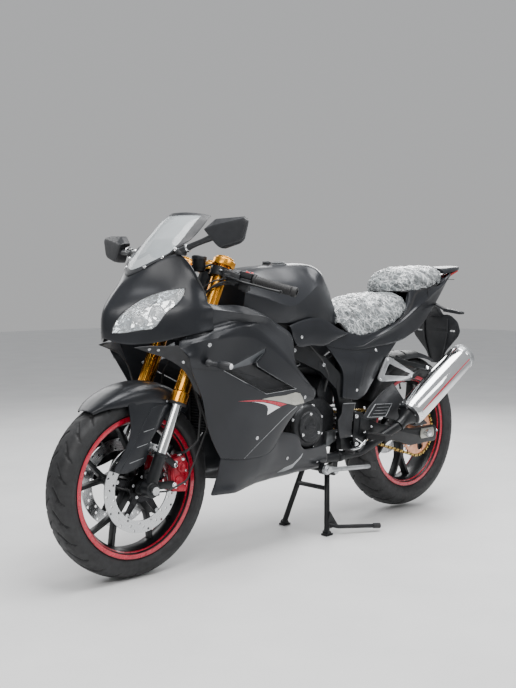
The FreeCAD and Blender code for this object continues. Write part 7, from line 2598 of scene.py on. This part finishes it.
piv.bolt((SIDE_PIVOT[0], -173, SIDE_PIVOT[2]), (0, -1, 0), 9.5, 8.5, 0, 28)
piv.nut((786, -171.5, 259), (0, -1, 0), 5, 4)
side.make("side_stand_arm", "side_stand", ["alloy_look"], ["side_stand"], bevel=1.4, seg=3)
foot.make("side_stand_foot", "side_stand", ["rubber_look"], ["side_stand"], bevel=3.2, seg=3)
piv.make("side_stand_bolt", "side_stand", ["chrome_look"])


# ================================================================== floor and light
me = bpy.data.meshes.new("studio_floor")
me.from_pydata([(-14, -14, -0.0005), (14, -14, -0.0005), (14, 14, -0.0005), (-14, 14, -0.0005)], [],
               [(0, 1, 2, 3)])
floor = link(bpy.data.objects.new("studio_floor", me))
me.materials.append(MATS["floor_look"].m)

world = bpy.data.worlds.new("studio")
bpy.context.scene.world = world
world.use_nodes = True
wnt = world.node_tree
bg = wnt.nodes["Background"]
grad = wnt.nodes.new("ShaderNodeTexGradient")
tc = wnt.nodes.new("ShaderNodeTexCoord")
sep = wnt.nodes.new("ShaderNodeSeparateXYZ")
ramp = wnt.nodes.new("ShaderNodeValToRGB")
wnt.links.new(tc.outputs["Generated"], sep.inputs[0])
mr = wnt.nodes.new("ShaderNodeMapRange")
mr.inputs["From Min"].default_value = -0.2
mr.inputs["From Max"].default_value = 1.0
wnt.links.new(sep.outputs[2], mr.inputs["Value"])
wnt.links.new(mr.outputs["Result"], ramp.inputs["Fac"])
ramp.color_ramp.elements[0].color = (0.80, 0.80, 0.80, 1)
ramp.color_ramp.elements[1].color = (0.92, 0.94, 0.97, 1)
wnt.links.new(ramp.outputs["Color"], bg.inputs["Color"])
bg.inputs["Strength"].default_value = 0.58


def area(name, at, to, size, power, tint=(1, 1, 1), size_y=None):
    d = bpy.data.lights.new(name, "AREA")
    d.shape = "RECTANGLE" if size_y else "SQUARE"
    d.size = size
    if size_y:
        d.size_y = size_y
    d.energy = power
    d.color = tint
    o = link(bpy.data.objects.new(name, d))
    o.location = at
    o.rotation_euler = (Vector(to) - Vector(at)).to_track_quat("-Z", "Y").to_euler()
    return o


area("top_soft", (0.1, -0.5, 3.0), (0, 0, 0.5), 3.4, 165, (1, 1, 1), 1.5)
area("front_left_soft", (-3.0, -1.4, 2.3), (-0.3, 0, 0.7), 1.6, 40, (1.0, 0.98, 0.95), 1.0)
area("left_soft", (0.8, -3.0, 2.3), (0.3, 0, 0.6), 2.0, 30, (1, 1, 1), 0.9)
area("rear_rim", (2.8, 1.8, 2.0), (0.2, 0, 0.7), 1.6, 50, (1, 1, 1), 1.0)
area("right_soft", (-0.4, 3.0, 2.2), (0, 0, 0.6), 2.4, 30, (1, 1, 1), 1.0)
